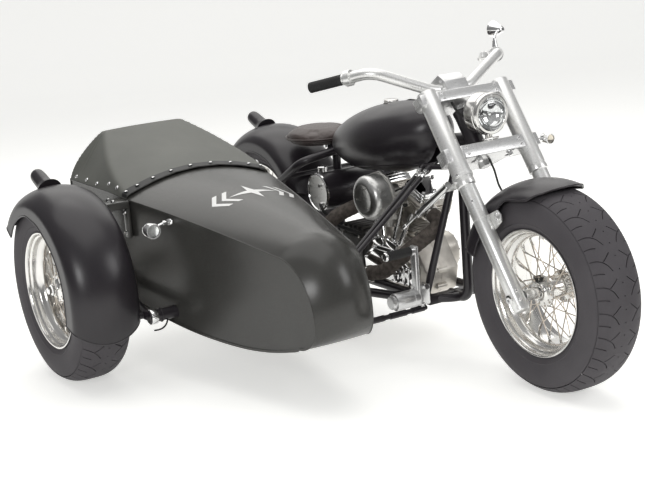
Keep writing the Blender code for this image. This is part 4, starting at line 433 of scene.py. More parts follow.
def cut(bm, cutters):
    """bm with the cutters taken out of it, by an exact Boolean."""
    meshes = [bpy.data.meshes.new("cut_from"), bpy.data.meshes.new("cutter")]
    for source, mesh in zip((bm, cutters), meshes):
        source.to_mesh(mesh)
        source.free()
    whole, tool = (bpy.data.objects.new(mesh.name, mesh) for mesh in meshes)
    for item in (whole, tool):
        bpy.context.scene.collection.objects.link(item)
    step = whole.modifiers.new("cut", "BOOLEAN")
    step.operation = "DIFFERENCE"
    step.solver = "EXACT"
    step.object = tool
    bpy.context.view_layer.update()
    done = evaluated_mesh(whole)
    result = bmesh.new()
    result.from_mesh(done)
    for item in (whole, tool):
        bpy.data.objects.remove(item)
    for mesh in (*meshes, done):
        bpy.data.meshes.remove(mesh)
    return result


# The tyres: a smooth sidewall with moulded rings, and a crown whose sipes are cut into real tiles,
# each with a long curved sipe, its branch, a short shoulder sipe and dots along the middle.
TYRE_RADIUS = AXLE_HEIGHT
TREAD_HALF = 0.086
TREAD_PITCHES = 25
SIPE_WIDTH = 0.0032
SIPE_DEPTH = 0.0045
LONG_SIPE = ((0.0835, 0.0), (0.068, 0.002), (0.053, 0.009), (0.038, 0.023), (0.026, 0.042))
BRANCH_SIPE = ((0.0475, 0.0085), (0.034, -0.002), (0.020, -0.014))
SHORT_SIPE = ((0.0835, 0.041), (0.068, 0.042), (0.056, 0.046))
SIDEWALL = ((0.1965, 0.0745), (0.2005, 0.0790), (0.2060, 0.0785), (0.2090, 0.0792),
            (0.2105, 0.0812), (0.2140, 0.0840), (0.2230, 0.0895), (0.2240, 0.0905),
            (0.2262, 0.0905), (0.2272, 0.0902), (0.2400, 0.0943), (0.2560, 0.0966),
            (0.2660, 0.0970), (0.2780, 0.0958), (0.2880, 0.0932), (0.2955, 0.0900),
            (0.2985, 0.0882), (0.3000, 0.0872), (0.3014, 0.0850))
WHEELS = (("front", (1.680, 0.0)), ("rear", (0.0, 0.0)), ("sidecar", (0.438, -1.122)))
TURN_TO_Y = Matrix.Rotation(math.radians(-90), 3, "X")


def crown_radius(across):
    return TYRE_RADIUS - 0.0006 - 0.0092 * (abs(across) / 0.064) ** 3.5


def stroke(points, width):
    """The outline round a line of (across, along) points, with rounded ends."""
    line = rounded([(a, b, 0) for a, b in points], 0.03, 4)
    left, right = [], []
    for i, point in enumerate(line):
        way = (line[min(i + 1, len(line) - 1)] - line[max(i - 1, 0)]).normalized()
        side = Vector((-way.y, way.x, 0)) * width / 2
        left.append(point + side)
        right.append(point - side)
    first, last = (line[1] - line[0]).normalized(), (line[-1] - line[-2]).normalized()
    return (left + [line[-1] + last * width * 0.45] + right[::-1]
            + [line[0] - first * width * 0.45])


def tread_tile(pitch):
    """One flat pitch of the crown in (across, along), with its sipes sunk into it."""
    holes = []
    for hand in (1, -1):
        for line in (LONG_SIPE, BRANCH_SIPE, SHORT_SIPE):
            holes.append(stroke([(a * hand, b) for a, b in line], SIPE_WIDTH))
    for along in (0.0, 0.041):
        holes.append([Vector((0.0022 * math.cos(t), along + 0.0022 * math.sin(t), 0))
                      for t in (2 * math.pi * i / 10 for i in range(10))])
    low = -0.022
    outline = [Vector((TREAD_HALF * x, low + pitch * y, 0))
               for x, y in ((-1, 0), (1, 0), (1, 1), (-1, 1))]
    curve = bpy.data.curves.new("tread_tile", "CURVE")
    curve.dimensions = "2D"
    curve.fill_mode = "BOTH"
    for loop in [outline] + holes:
        spline = curve.splines.new("POLY")
        spline.points.add(len(loop) - 1)
        for point, place in zip(spline.points, loop):
            point.co = (*place, 1)
        spline.use_cyclic_u = True
    holder = bpy.data.objects.new("tread_tile", curve)
    bpy.context.scene.collection.objects.link(holder)
    bpy.context.view_layer.update()
    flat = evaluated_mesh(holder)
    bm = bmesh.new()
    bm.from_mesh(flat)
    bpy.data.objects.remove(holder)
    bpy.data.meshes.remove(flat)
    bmesh.ops.remove_doubles(bm, verts=bm.verts, dist=1e-5)
    edge_in = TREAD_HALF - 1e-4
    rims = [edge for edge in bm.edges if edge.is_boundary and all(
        abs(v.co.x) < edge_in and low + 1e-4 < v.co.y < low + pitch - 1e-4 for v in edge.verts)]
    walls = bmesh.ops.extrude_edge_only(bm, edges=rims)["geom"]
    sunk = [item for item in walls if isinstance(item, bmesh.types.BMVert)]
    bmesh.ops.translate(bm, vec=(0, 0, -SIPE_DEPTH), verts=sunk)
    floors = [item for item in walls if isinstance(item, bmesh.types.BMEdge)
              and all(v in set(sunk) for v in item.verts)]
    bmesh.ops.holes_fill(bm, edges=floors, sides=0)
    bmesh.ops.triangulate(bm, faces=[face for face in bm.faces if len(face.verts) > 4])
    lines = [((x * TREAD_HALF / 12, 0, 0), (1, 0, 0)) for x in range(-11, 12)]
    lines += [((0, low + pitch * y / 8, 0), (0, 1, 0)) for y in range(1, 8)]
    for place, way in lines:
        bmesh.ops.bisect_plane(bm, geom=bm.verts[:] + bm.edges[:] + bm.faces[:], dist=1e-6,
                               plane_co=place, plane_no=way)
    return bm


def make_tyre(prefix, x, y):
    pitch = 2 * math.pi * TYRE_RADIUS / TREAD_PITCHES
    tile = tread_tile(pitch)
    flat = bpy.data.meshes.new("tile")
    tile.to_mesh(flat)
    tile.free()
    crown = bmesh.new()
    for i in range(TREAD_PITCHES):
        before = len(crown.verts)
        crown.from_mesh(flat)
        crown.verts.ensure_lookup_table()
        for vert in crown.verts[before:]:
            across, along, sink = vert.co
            turn = (along + pitch * i) / TYRE_RADIUS
            reach = crown_radius(across) + sink
            vert.co = Vector((math.cos(turn) * reach, math.sin(turn) * reach, across))
    bpy.data.meshes.remove(flat)
    bmesh.ops.remove_doubles(crown, verts=crown.verts, dist=2e-5)
    bmesh.ops.recalc_face_normals(crown, faces=crown.faces)
    walls = lathe([(r, z) for r, z in SIDEWALL], 160)
    other = lathe([(r, -z) for r, z in reversed(SIDEWALL)], 160)
    inside = lathe([(0.1965, 0.0745), (0.2100, 0.0500), (0.2100, -0.0500), (0.1965, -0.0745)], 96)
    bm = bmesh.new()
    for piece in (crown, walls, other, inside):
        put(bm, piece, TURN_TO_Y, (x, y, AXLE_HEIGHT))
    return shape(f"{prefix}_tyre_treaded", bm, TYRE, prefix + "_wheel",
                 [prefix + "_tyre"], 30)


for prefix, (x, y) in WHEELS:
    make_tyre(prefix, x, y)


# The wheels: a wide polished rim with a stepped well, a bell-shaped hub with drilled flanges, and
# forty crossed spokes, each with a bent end in its flange and a nipple in the well.
RIM_SIDE = ((0.2052, 0.0825), (0.2048, 0.0838), (0.2036, 0.0842), (0.1998, 0.0832),
            (0.1972, 0.0800), (0.1962, 0.0760), (0.1956, 0.0700), (0.1930, 0.0668),
            (0.1904, 0.0648), (0.1894, 0.0610), (0.1890, 0.0500), (0.1868, 0.0456),
            (0.1800, 0.0404), (0.1752, 0.0350), (0.1728, 0.0280), (0.1722, 0.0180))
RIM_WALL = 0.0034
HUB_SIDE = ((0.0127, 0.0638), (0.0215, 0.0638), (0.0225, 0.0625), (0.0228, 0.0570),
            (0.0248, 0.0535), (0.0300, 0.0500), (0.0390, 0.0472), (0.0500, 0.0466),
            (0.0522, 0.0458), (0.0530, 0.0442), (0.0530, 0.0398), (0.0522, 0.0382),
            (0.0500, 0.0375), (0.0400, 0.0366), (0.0310, 0.0335), (0.0270, 0.0280),
            (0.0258, 0.0200), (0.0256, 0.0))
SPOKES_PER_FLANGE = 20
SPOKE_SWEEP = math.radians(38)
SPOKE_GAUGE = 0.0021
SPOKES = finish("spoke_steel", (0.52, 0.46, 0.40), (0.66, 0.60, 0.53), (0.22, 0.34), 1.0, patch=30)


def make_wheel(prefix, x, y):
    place = (x, y, AXLE_HEIGHT)
    wheel_body = prefix + "_wheel"
    skin = list(RIM_SIDE) + [(r, -z) for r, z in reversed(RIM_SIDE)]
    back = [(r + RIM_WALL, z * 0.97) for r, z in skin[4:-4]]
    rim = lathe(skin + back[::-1], 160, closed=True)
    bm = put(bmesh.new(), rim, TURN_TO_Y, place)
    valve = bmesh.new()
    rod(valve, (0.168, 0, 0.012), (0.142, 0, 0.026), 0.003, 12)
    rod(valve, (0.150, 0, 0.0216), (0.140, 0, 0.0272), 0.0045, 12)
    put(bm, valve, TURN_TO_Y, place)
    shape(f"{prefix}_rim", bm, POLISHED, wheel_body, [prefix + "_wheel"], 30)

    hub = lathe(list(HUB_SIDE) + [(r, -z) for r, z in reversed(HUB_SIDE[:-1])], 72, closed=True)
    drills = bmesh.new()
    for i in range(SPOKES_PER_FLANGE // 2):
        turn = 2 * math.pi * i / (SPOKES_PER_FLANGE // 2)
        for level in (-0.042, 0.042):
            spot = Vector((0.0385 * math.cos(turn), 0.0385 * math.sin(turn), level))
            rod(drills, spot - Vector((0, 0, 0.012)), spot + Vector((0, 0, 0.012)), 0.0034, 10)
    hub = put(bmesh.new(), cut(hub, drills), TURN_TO_Y, place)
    shape(f"{prefix}_hub", hub, POLISHED, wheel_body, (), 30)

    laced = bmesh.new()
    for side in (-1, 1):
        for i in range(SPOKES_PER_FLANGE):
            lead = 1 if i % 2 else -1
            turn = 2 * math.pi * (i + 0.25 + 0.5 * (side > 0)) / SPOKES_PER_FLANGE
            root = turn + lead * SPOKE_SWEEP
            face = side * (0.042 + lead * 0.0052)
            behind = side * (0.042 - lead * 0.0052)
            hub_spot = Vector((math.cos(root) * 0.0465, math.sin(root) * 0.0465, face))
            rim_spot = Vector((math.cos(turn) * 0.1735, math.sin(turn) * 0.1735, side * 0.0105))
            way = (rim_spot - hub_spot).normalized()
            start = Vector((hub_spot.x, hub_spot.y, behind))
            tube(laced, [start, start.lerp(hub_spot, 0.75), hub_spot + way * 0.004,
                         rim_spot - way * 0.01], SPOKE_GAUGE, 8)
            rod(laced, start - Vector((0, 0, 0.0016 * lead * side)), start, 0.0036, 10)
            rod(laced, rim_spot - way * 0.016, rim_spot, 0.0032, 8, 0.0038, 1)
    laced = put(bmesh.new(), laced, TURN_TO_Y, place)
    shape(f"{prefix}_spokes", laced, SPOKES, wheel_body, (), 40, (POLISHED,))


for prefix, (x, y) in WHEELS:
    make_wheel(prefix, x, y)


# The fenders: pressed steel shells in satin black, each with a rounded crown and a rolled bead
# along its whole edge. The front one's skirt is cut high over the tyre.
FENDER_HALF = 0.121
FENDER_CROWN = 0.062
FENDER_SHEET = 0.0026
FENDER_BEAD = 0.0034
CROWN_RUN = 0.150
FENDERS = (
    ("front", "steering", WHEELS[0][1], 0.353, (76, 165), (7, -4),
     ((75, 0.339), (84, 0.309), (93, 0.303), (104, 0.304), (110, 0.294), (115, 0.277), (121, 0.262),
      (170, 0.262))),
    ("rear", "root", WHEELS[1][1], 0.356, (20, 176), (5, -5), ((0, 0.262), (180, 0.262))),
    ("sidecar", "root", WHEELS[2][1], 0.356, (-22, 150), (6, -9),
     ((-30, 0.245), (4, 0.245), (28, 0.250), (57, 0.250), (81, 0.260), (100, 0.270), (121, 0.268),
      (150, 0.262))))


def follow(table, at):
    """A smooth value between the table's (place, value) rows."""
    for (start, low), (end, high) in zip(table, table[1:]):
        if at <= end:
            share = max(0.0, (at - start) / (end - start))
            return low + (high - low) * share * share * (3 - 2 * share)
    return table[-1][1]


def skin(bm, rows, flip=False, material=0, wrap=False):
    """Faces over a grid of vertices."""
    for row, after in zip(rows, rows[1:]):
        count = len(row)
        for j in range(count if wrap else count - 1):
            k = (j + 1) % count
            corners = (row[j], row[k], after[k], after[j])
            bm.faces.new(corners[::-1] if flip else corners).material_index = material


def border(rows):
    return ([row[0] for row in rows] + rows[-1][1:] + [row[-1] for row in reversed(rows[:-1])]
            + rows[0][-2:0:-1])


def shell(bm, outer_points, inner_points, material=0):
    """A closed sheet between two grids of places."""
    grids = [[[bm.verts.new(point) for point in row] for row in points]
             for points in (outer_points, inner_points)]
    skin(bm, grids[0], False, material)
    skin(bm, grids[1], True, material)
    edges = [border(grid) for grid in grids]
    count = len(edges[0])
    for i in range(count):
        j = (i + 1) % count
        bm.faces.new((edges[0][j], edges[0][i], edges[1][i], edges[1][j])).material_index = material


def bead(bm, points, radius, sides=10, material=0):
    """A closed round bead along a loop of places."""
    loop = [Vector(point) for point in points]
    tube(bm, loop + loop[:2], radius, sides, material)


def fender_section(radius, edge):
    """Half the section from its edge to its crown, as (radius, across, outward)."""
    shoulder = radius - FENDER_CROWN
    low = edge - shoulder if edge < shoulder else math.asin((edge - shoulder) / FENDER_CROWN)
    section = []
    start = low if edge < shoulder else low * CROWN_RUN / (math.pi / 2)
    for i in range(25):
        run = start + (CROWN_RUN - start) * i / 24
        turn = max(0.0, run / CROWN_RUN * math.pi / 2)
        out = Vector((FENDER_HALF * math.sin(turn), FENDER_CROWN * math.cos(turn))).normalized()
        section.append((shoulder + min(run, 0) + FENDER_CROWN * math.sin(turn),
                        FENDER_HALF * math.cos(turn), out))
    return section


def make_fender(name, body, place, radius, angles, ends, edges):
    outer, inner = [], []
    count = round((angles[1] - angles[0]) / 1.6)
    for i in range(count + 1):
        share = i / count
        turn = angles[0] + (angles[1] - angles[0]) * share
        section = fender_section(radius, follow(edges, turn))
        half = section + [(r, -y, Vector((out.x, -out.y))) for r, y, out in section[-2::-1]]
        rows = ([], [])
        for r, y, out in half:
            aside = (y / FENDER_HALF) ** 2
            shift = ends[0] * aside * max(0, 1 - share * 5) ** 2
            shift += ends[1] * aside * max(0, share * 5 - 4) ** 2
            way = math.radians(turn + shift)
            for row, inset in zip(rows, (0, FENDER_SHEET)):
                reach = r - out.x * inset
                row.append(Vector((place[0] + math.cos(way) * reach, place[1] + y - out.y * inset,
                                   AXLE_HEIGHT + math.sin(way) * reach)))
        outer.append(rows[0])
        inner.append(rows[1])
    bm = bmesh.new()
    shell(bm, outer, inner)
    bead(bm, [a.lerp(b, 0.6) for a, b in zip(border(outer), border(inner))], FENDER_BEAD)
    bmesh.ops.recalc_face_normals(bm, faces=bm.faces)
    return bm


for name, body, place, radius, angles, ends, edges in FENDERS:
    shape(f"{name}_fender_pressed", make_fender(name, body, place, radius, angles, ends, edges),
          SATIN_BLACK, body, [f"{name}_fender"], 40)


# The two rear lamps: smooth nubs that swell out of the rear and the sidecar fender's crowns.
NUB_SHAPE = ((-0.012, 0.046), (0.002, 0.0385), (0.012, 0.0330), (0.024, 0.0295), (0.040, 0.0282),
             (0.080, 0.0272), (0.098, 0.0255), (0.106, 0.0222), (0.1115, 0.0160), (0.1145, 0.0080),
             (0.1150, 0.0010))
NUB_WAY = Vector((-0.090, 0, 0.035)).normalized()
for name, (x, y) in (("rear_lamp", WHEELS[1][1]), ("sidecar_lamp", WHEELS[2][1])):
    root = Vector((x - 0.100, y, AXLE_HEIGHT + 0.332))
    nub = tube(bmesh.new(), [root + NUB_WAY * along for along, r in NUB_SHAPE],
               [r for along, r in NUB_SHAPE], 40)
    shape(f"{name}_nub", nub, SATIN_BLACK, "root", [name], 60)


# The fuel tank: an egg of pressed steel, fuller at its front, with the spine's tunnel underneath
# and a welded seam low round its sides. Its cap has a knurled top, and a thin vent hose leads off.
TANK_LENGTH = 0.655
TANK_CENTRE = Vector((0.8045, 0, 0.722))
TANK_HALF = (TANK_LENGTH / 2, 0.147, 0.122)
TANK_SEAM_LEVEL = -0.70


def on_tank(unit, grow=0.0):
    """A place on the tank for a place on the unit ball."""
    share = unit.x
    swell = 1 + 0.17 * share
    full = swell * (1 - share * share) ** -0.15 if 0 < share < 0.9999 else swell
    low = 1.06 if unit.z < 0 else 1
    return TANK_CENTRE + Vector((share * (TANK_HALF[0] + grow),
                                 unit.y * (TANK_HALF[1] * swell + grow),
                                 unit.z * (TANK_HALF[2] * full * low + grow) + 0.050 * share))


egg = bmesh.new()
bmesh.ops.create_uvsphere(egg, u_segments=120, v_segments=90, radius=1)
bmesh.ops.rotate(egg, verts=egg.verts, matrix=Matrix.Rotation(math.radians(90), 3, "Y"))
for vert in egg.verts:
    vert.co = on_tank(vert.co)
NECK_MIDDLE = Vector((1.3070, 0, 0.7713))
SPINE_REAR = Vector((0.470, 0, 0.640))
along_spine = (NECK_MIDDLE - SPINE_REAR).normalized()
spine_turn = Matrix((along_spine, (0, 1, 0), along_spine.cross(Vector((0, 1, 0))))).transposed()
tunnel = put(bmesh.new(), block((1.0, 0.0446, 0.500)), spine_turn,
             (NECK_MIDDLE + SPINE_REAR) / 2 + spine_turn @ Vector((0, 0, 0.0223 - 0.250)))
egg = cut(egg, tunnel)
room = put(bmesh.new(), block((0.420, 0.150, 0.655)), None, (0.905, 0, 0.615 - 0.3275))
egg = cut(egg, room)
seam = []
for i in range(160):
    turn = 2 * math.pi * i / 160
    level = TANK_SEAM_LEVEL + 0.10 * math.cos(turn)
    ring = math.sqrt(1 - level * level)
    seam.append(on_tank(Vector((math.cos(turn) * ring, math.sin(turn) * ring, level)), 0.0004))
bead(egg, seam, 0.0021)
shape("tank_egg", egg, SATIN_BLACK, "root", ["fuel_tank"], 40)

CAP_FOOT = Vector((0.8365, 0, 0.836))
cap = lathe([(0.0, 0.0115), (0.0275, 0.0115), (0.0288, 0.0100), (0.0290, 0.002), (0.0285, -0.006),
             (0.0, -0.006)], 64)
knurl = lathe([(0.0, 0.0250), (0.0225, 0.0250), (0.0245, 0.0240), (0.0262, 0.0222),
               (0.0266, 0.0205), (0.0266, 0.0135), (0.0258, 0.0117), (0.0, 0.0117)], 144,
              material=1)
for vert in knurl.verts:
    reach = vert.co.xy.length
    if reach > 0.0255:
        turn = math.atan2(vert.co.y, vert.co.x)
        vert.co.xy *= 1 - 0.028 * (0.5 + 0.5 * math.cos(turn * 48))
put(cap, knurl)
bmesh.ops.translate(cap, vec=CAP_FOOT, verts=cap.verts)
vent = rounded([(0.866, 0, 0.846), (0.895, 0.004, 0.853), (0.935, 0.012, 0.866),
                (0.985, 0.016, 0.866), (1.010, 0.018, 0.852)], 0.05, 8)
tube(cap, vent, 0.0028, 12)
rod(cap, (0.858, 0, 0.8445), (0.871, 0, 0.8475), 0.0045, 14, material=1)
shape("tank_cap", cap, RUBBER, "root", ["fuel_cap"], 30, (POLISHED,))


# The sidecar's body: one steel sheet bent round deck, nose and belly, between flat side panels set
# a little inside its edges, with a bead where they meet.
BODY_REAR, BODY_LENGTH = 0.010, 1.425
BODY_CENTRE = -0.630
BODY_HALF, NOSE_HALF = 0.288, 0.108
BODY_BEND_X = 0.5002
DECK_LEVEL, DECK_FALL, DECK_CROWN = 0.620, 0.132, 0.060
BODY_DEPTH = 0.440
NOSE_ROUND, NOSE_TUCK, NOSE_LEVEL, NOSE_FOOT = 0.165, 0.080, 0.310, 0.226
BELLY = ((0.926, 0.080), (0.835, 0.023), (0.730, 0.0), (0.589, 0.018), (0.449, 0.080),
         (0.344, 0.155), (0.168, 0.352), (0.063, 0.568), (0.014, 0.773))
NOSE_X = BODY_REAR + BODY_LENGTH
BODY_SHEET = 0.006
PANEL_INSET = 0.0028
EDGE_BEAD = 0.0024


def deck_height(x):
    share = (x - BODY_REAR) / BODY_LENGTH
    return DECK_LEVEL - DECK_FALL * max(0.0, (share - 0.26) / 0.74) ** 1.4


def body_half(x):
    """Half the body's width: even at the cockpit, then a soft bend into the taper."""
    run = (x - BODY_BEND_X) / 0.016
    soft = 0.016 * (run if run > 30 else math.log1p(math.exp(run)))
    return BODY_HALF - (BODY_HALF - NOSE_HALF) * min(1.0, soft / (NOSE_X - BODY_BEND_X))


def curve_through(points, steps):
    """A smooth curve through flat points."""
    points = [Vector(point) for point in points]
    points = [points[0] * 2 - points[1]] + points + [points[-1] * 2 - points[-2]]
    path = []
    for a, b, c, d in zip(points, points[1:], points[2:], points[3:]):
        for i in range(steps):
            t = i / steps
            path.append((b * 2 + (c - a) * t + (a * 2 - b * 5 + c * 4 - d) * t * t
                         + (b * 3 - a - c * 3 + d) * t * t * t) / 2)
    return path + [points[-2]]


def side_outline():
    """The side's outline from its upper rear corner, as (x, z, share of crown, share of bulge)."""
    first, last = BODY_REAR + BODY_LENGTH * 0.014, NOSE_X - NOSE_ROUND
    outline = [(first + (last - first) * i / 44, 1) for i in range(45)]
    outline = [(x, deck_height(x), 1, 0) for x, crown in outline]
    top, low = deck_height(last), NOSE_FOOT
    for i in range(1, 28):
        turn = math.pi * i / 28
        level, reach = math.cos(turn), math.sin(turn)
        depth, height = (NOSE_TUCK, NOSE_LEVEL - low)
        if level > 0:
            depth, height = (NOSE_ROUND, top - NOSE_LEVEL)
        outline.append((NOSE_X - depth * (1 - reach), NOSE_LEVEL + height * level, (1 + level) / 2,
                        reach))
    floor = DECK_LEVEL - BODY_DEPTH
    belly = [(BODY_REAR + BODY_LENGTH * x, floor + BODY_DEPTH * z) for x, z in BELLY]
    belly.insert(0, (NOSE_X - NOSE_TUCK, low))
    outline += [(point.x, point.y, 0, 0) for point in curve_through(belly, 7)]
    return outline


def columns():
    return [math.sin(math.pi / 2 * (i / 22 - 1) * 0.995) / math.sin(math.pi / 2 * 0.995)
            for i in range(45)]


def on_body(spot, share, inset=0.0):
    x, z, crown, bulge = spot
    rise = 1 - share * share
    return Vector((x + 0.035 * rise * bulge, BODY_CENTRE + (body_half(x) - inset) * share,
                   z + DECK_CROWN * rise * crown))


def inset_spots(spots, inset):
    moved = []
    for i, (x, z, crown, bulge) in enumerate(spots):
        before, after = spots[i - 1], spots[(i + 1) % len(spots)]
        along = Vector((after[0] - before[0], after[1] - before[1])).normalized()
        moved.append((x + along.y * inset, z - along.x * inset, crown, bulge))
    return moved


# The body's own paint is charcoal. Its colour is raised further as a painted sheen, so that the
# deck's top looks brighter, and the side panels carry the same lightened colour.
BODY_PAINT_AND_SHEEN = finish("charcoal_paint_and_painted_sheen", (0.044, 0.043, 0.040), (0.055, 0.054, 0.050),
                    (0.24, 0.30), depth=0.00002, fine=1400)
spots = side_outline()
inner_spots = inset_spots(spots, BODY_SHEET)
sheet = bmesh.new()
shares = columns()
grid = [[[sheet.verts.new(on_body(spot, share)) for share in shares] for spot in ring]
        for ring in (spots, inner_spots)]
rows = len(spots)
cells = {(i, j) for i in range(rows) for j in range(len(shares) - 1)
         if not (0.150 <= spots[i][0] < 0.490 and spots[i][2] == 1 and abs(shares[j]) < 0.84
                 and abs(shares[j + 1]) < 0.84)}
for i, j in cells:
    n = (i + 1) % rows
    corners = ((i, j), (i, j + 1), (n, j + 1), (n, j))
    sheet.faces.new([grid[0][a][b] for a, b in corners])
    sheet.faces.new([grid[1][a][b] for a, b in reversed(corners)])
    beyond = (((i - 1) % rows, j), (i, j + 1), (n, j), (i, j - 1))
    for k in range(4):
        if beyond[k] not in cells:
            (a, b), (c, d) = corners[k], corners[(k + 1) % 4]
            sheet.faces.new((grid[0][c][d], grid[0][a][b], grid[1][a][b], grid[1][c][d]))
bmesh.ops.recalc_face_normals(sheet, faces=sheet.faces)
for share in (-1, 1):
    edge = [on_body(spot, share) for spot in spots]
    edge = [point for i, point in enumerate(edge) if (point - edge[i - 1]).length > 1e-4]
    bead(sheet, [point - Vector((0, share * EDGE_BEAD * 0.9, 0)) for point in edge], EDGE_BEAD)
shape("sidecar_sheet", sheet, BODY_PAINT_AND_SHEEN, "root", ["sidecar_body"], 40)

for share, label in ((-1, "right"), (1, "left")):
    panel = bmesh.new()
    ring = [panel.verts.new((x, 0, z)) for x, z, crown, bulge in inset_spots(spots, 0.0008)]
    bmesh.ops.remove_doubles(panel, verts=ring, dist=1e-5)
    panel.faces.new(panel.verts[:])
    for i in range(1, 70):
        bmesh.ops.bisect_plane(panel, geom=panel.verts[:] + panel.edges[:] + panel.faces[:],
                               dist=1e-6, plane_co=(BODY_REAR + BODY_LENGTH * i / 70, 0, 0),
                               plane_no=(1, 0, 0))
    for i in range(1, 12):
        bmesh.ops.bisect_plane(panel, geom=panel.verts[:] + panel.edges[:] + panel.faces[:],
                               dist=1e-6, plane_co=(0, 0, DECK_LEVEL - BODY_DEPTH * (1 - i / 12)),
                               plane_no=(0, 0, 1))
    arm_hole = rod(bmesh.new(), (0.730, -0.2, 0.245), (0.730, 0.2, 0.245), 0.0225, 40)
    extruded = bmesh.ops.extrude_face_region(panel, geom=panel.faces[:])["geom"]
    bmesh.ops.translate(panel, vec=(0, 0.004, 0),
                        verts=[item for item in extruded if isinstance(item, bmesh.types.BMVert)])
    bmesh.ops.recalc_face_normals(panel, faces=panel.faces)
    panel = cut(panel, arm_hole)
    for vert in panel.verts:
        vert.co.y = BODY_CENTRE + share * (body_half(vert.co.x) - PANEL_INSET - vert.co.y)
    bmesh.ops.recalc_face_normals(panel, faces=panel.faces)
    if share < 0:
        strap_y = BODY_CENTRE - BODY_HALF
        strap = put(bmesh.new(), block((0.031, 0.013, 0.118), 0.0015, 2), None,
                    (0.530, strap_y - 0.0025, 0.541))
        for bolt_z in (0.572, 0.500):
            hex_bolt(strap, (0.530, strap_y - 0.009, bolt_z), (0, -1, 0), 0.0062, 0.007, 1)
        put(strap, block((0.077, 0.086, 0.027), 0.002, 2), None, (0.508, -0.9590, 0.600))
        for bolt_x in (0.488, 0.528):
            hex_bolt(strap, (bolt_x, -0.968, 0.6135), (0, 0, 1), 0.0065, 0.007, 1)
        put(panel, strap)
    shape(f"sidecar_panel_{label}", panel, BODY_PAINT_AND_SHEEN, "root",
          [f"sidecar_side_{label}"], 40, (CHROME,))


# The deck's painted mark: a white four-pointed star between two pairs of chevrons.
MARK_PAINT = finish("white_deck_paint", (0.80, 0.80, 0.79), (0.90, 0.90, 0.89), (0.35, 0.45))
MARK_AT = (0.860, BODY_CENTRE + 0.030)
MARK_TURN = math.radians(4)
STAR_LONG, STAR_SHORT, STAR_WAIST = 0.096, 0.072, 0.0195
CHEVRON_SPREAD, CHEVRON_POINT, CHEVRON_BAND = 0.052, 0.034, 0.018


def mark_shapes():
    star = []
    for i in range(8):
        turn = math.pi / 4 * i
        reach = STAR_WAIST if i % 2 else (STAR_LONG if i % 4 else STAR_SHORT)
        star.append((math.cos(turn) * reach, math.sin(turn) * reach))
    shapes = [star]
    for hand in (-1, 1):
        for out in (0.090, 0.130):
            tip = out + CHEVRON_POINT
            for up in (-1, 1):
                shapes.append([(0, hand * tip), (up * CHEVRON_SPREAD, hand * out),
                               (up * CHEVRON_SPREAD, hand * (out - CHEVRON_BAND)),
                               (0, hand * (tip - CHEVRON_BAND))])
    return shapes


mark = bmesh.new()
for outline in mark_shapes():
    verts = [mark.verts.new((x, y, 0)) for x, y in outline]
    mark.faces.new(verts)
bmesh.ops.remove_doubles(mark, verts=mark.verts, dist=1e-6)
for i in range(-34, 35):
    for normal in ((1, 0, 0), (0, 1, 0)):
        bmesh.ops.bisect_plane(mark, geom=mark.verts[:] + mark.edges[:] + mark.faces[:], dist=1e-6,
                               plane_co=Vector(normal) * i * 0.005, plane_no=normal)
bmesh.ops.rotate(mark, verts=mark.verts, matrix=Matrix.Rotation(MARK_TURN, 3, "Z"))
for vert in mark.verts:
    x, y = vert.co.x + MARK_AT[0], vert.co.y + MARK_AT[1]
    share = (y - BODY_CENTRE) / body_half(x)
    vert.co = (x, y, deck_height(x) + DECK_CROWN * (1 - share * share) + 0.0006)
bmesh.ops.recalc_face_normals(mark, faces=mark.faces)
if sum(face.normal.z for face in mark.faces) < 0:
    bmesh.ops.reverse_faces(mark, faces=mark.faces)
shape("deck_mark", mark, MARK_PAINT, "root", (), 60)


# The frame: one rigid loop of round black tubes, welded round the engine, with axle plates at the
# rear, a square bar for the foot controls and a bridge over the rear fender.
STEEL_TUBE = 0.016
DOWNTUBE_X = 1.235
RAIL_Z = 0.205
RAIL_Y = 0.100
STAY_Y = 0.158
FRAME_BEND = 0.070
FORK_UP = Vector(JOINT["steering"]["axis"]).normalized()
FORK_AHEAD = Vector((FORK_UP.z, 0, -FORK_UP.x))
FRONT_AXLE = Vector((1.680, 0, AXLE_HEIGHT))
LEFT = Vector((0, 1, 0))
TURN_TO_FORK = Matrix((FORK_AHEAD, LEFT, FORK_UP)).transposed()
UPRIGHT = Matrix.Rotation(math.radians(90), 3, "X")


def on_fork(along, ahead=0.0, across=0.0):
    return FRONT_AXLE + FORK_UP * along + FORK_AHEAD * ahead + LEFT * across


def prism(outline, depth, bevel=0.0, segments=3, material=0):
    """A flat outline made into a plate of the given depth about z = 0, with rounded edges."""
    bm = bmesh.new()
    face = bm.faces.new([bm.verts.new((x, y, -depth / 2)) for x, y in outline])
    raised = bmesh.ops.extrude_face_region(bm, geom=[face])["geom"]
    bmesh.ops.translate(bm, vec=(0, 0, depth),
                        verts=[item for item in raised if isinstance(item, bmesh.types.BMVert)])
    bmesh.ops.recalc_face_normals(bm, faces=bm.faces)
    if bevel:
        edges = [edge for edge in bm.edges if edge.calc_face_angle(0) > 0.3]
        bmesh.ops.bevel(bm, geom=edges, offset=bevel, segments=segments, profile=0.5,
                        affect="EDGES", material=-1)
    for face in bm.faces:
        face.material_index = material
    return bm


def weld_ring(bm, path, radius, material=0):
    """A rippled weld bead round a tube's foot."""
    a, b = Vector(path[0]), Vector(path[1])
    turn = aim(b - a)
    loop = []
    for i in range(48):
        angle = 2 * math.pi * i / 48
        reach = radius * (1.03 + 0.02 * (i % 2))
        loop.append(a + turn @ Vector((math.cos(angle) * reach, math.sin(angle) * reach, 0)))
    bead(bm, loop, radius * 0.13, 8, material)


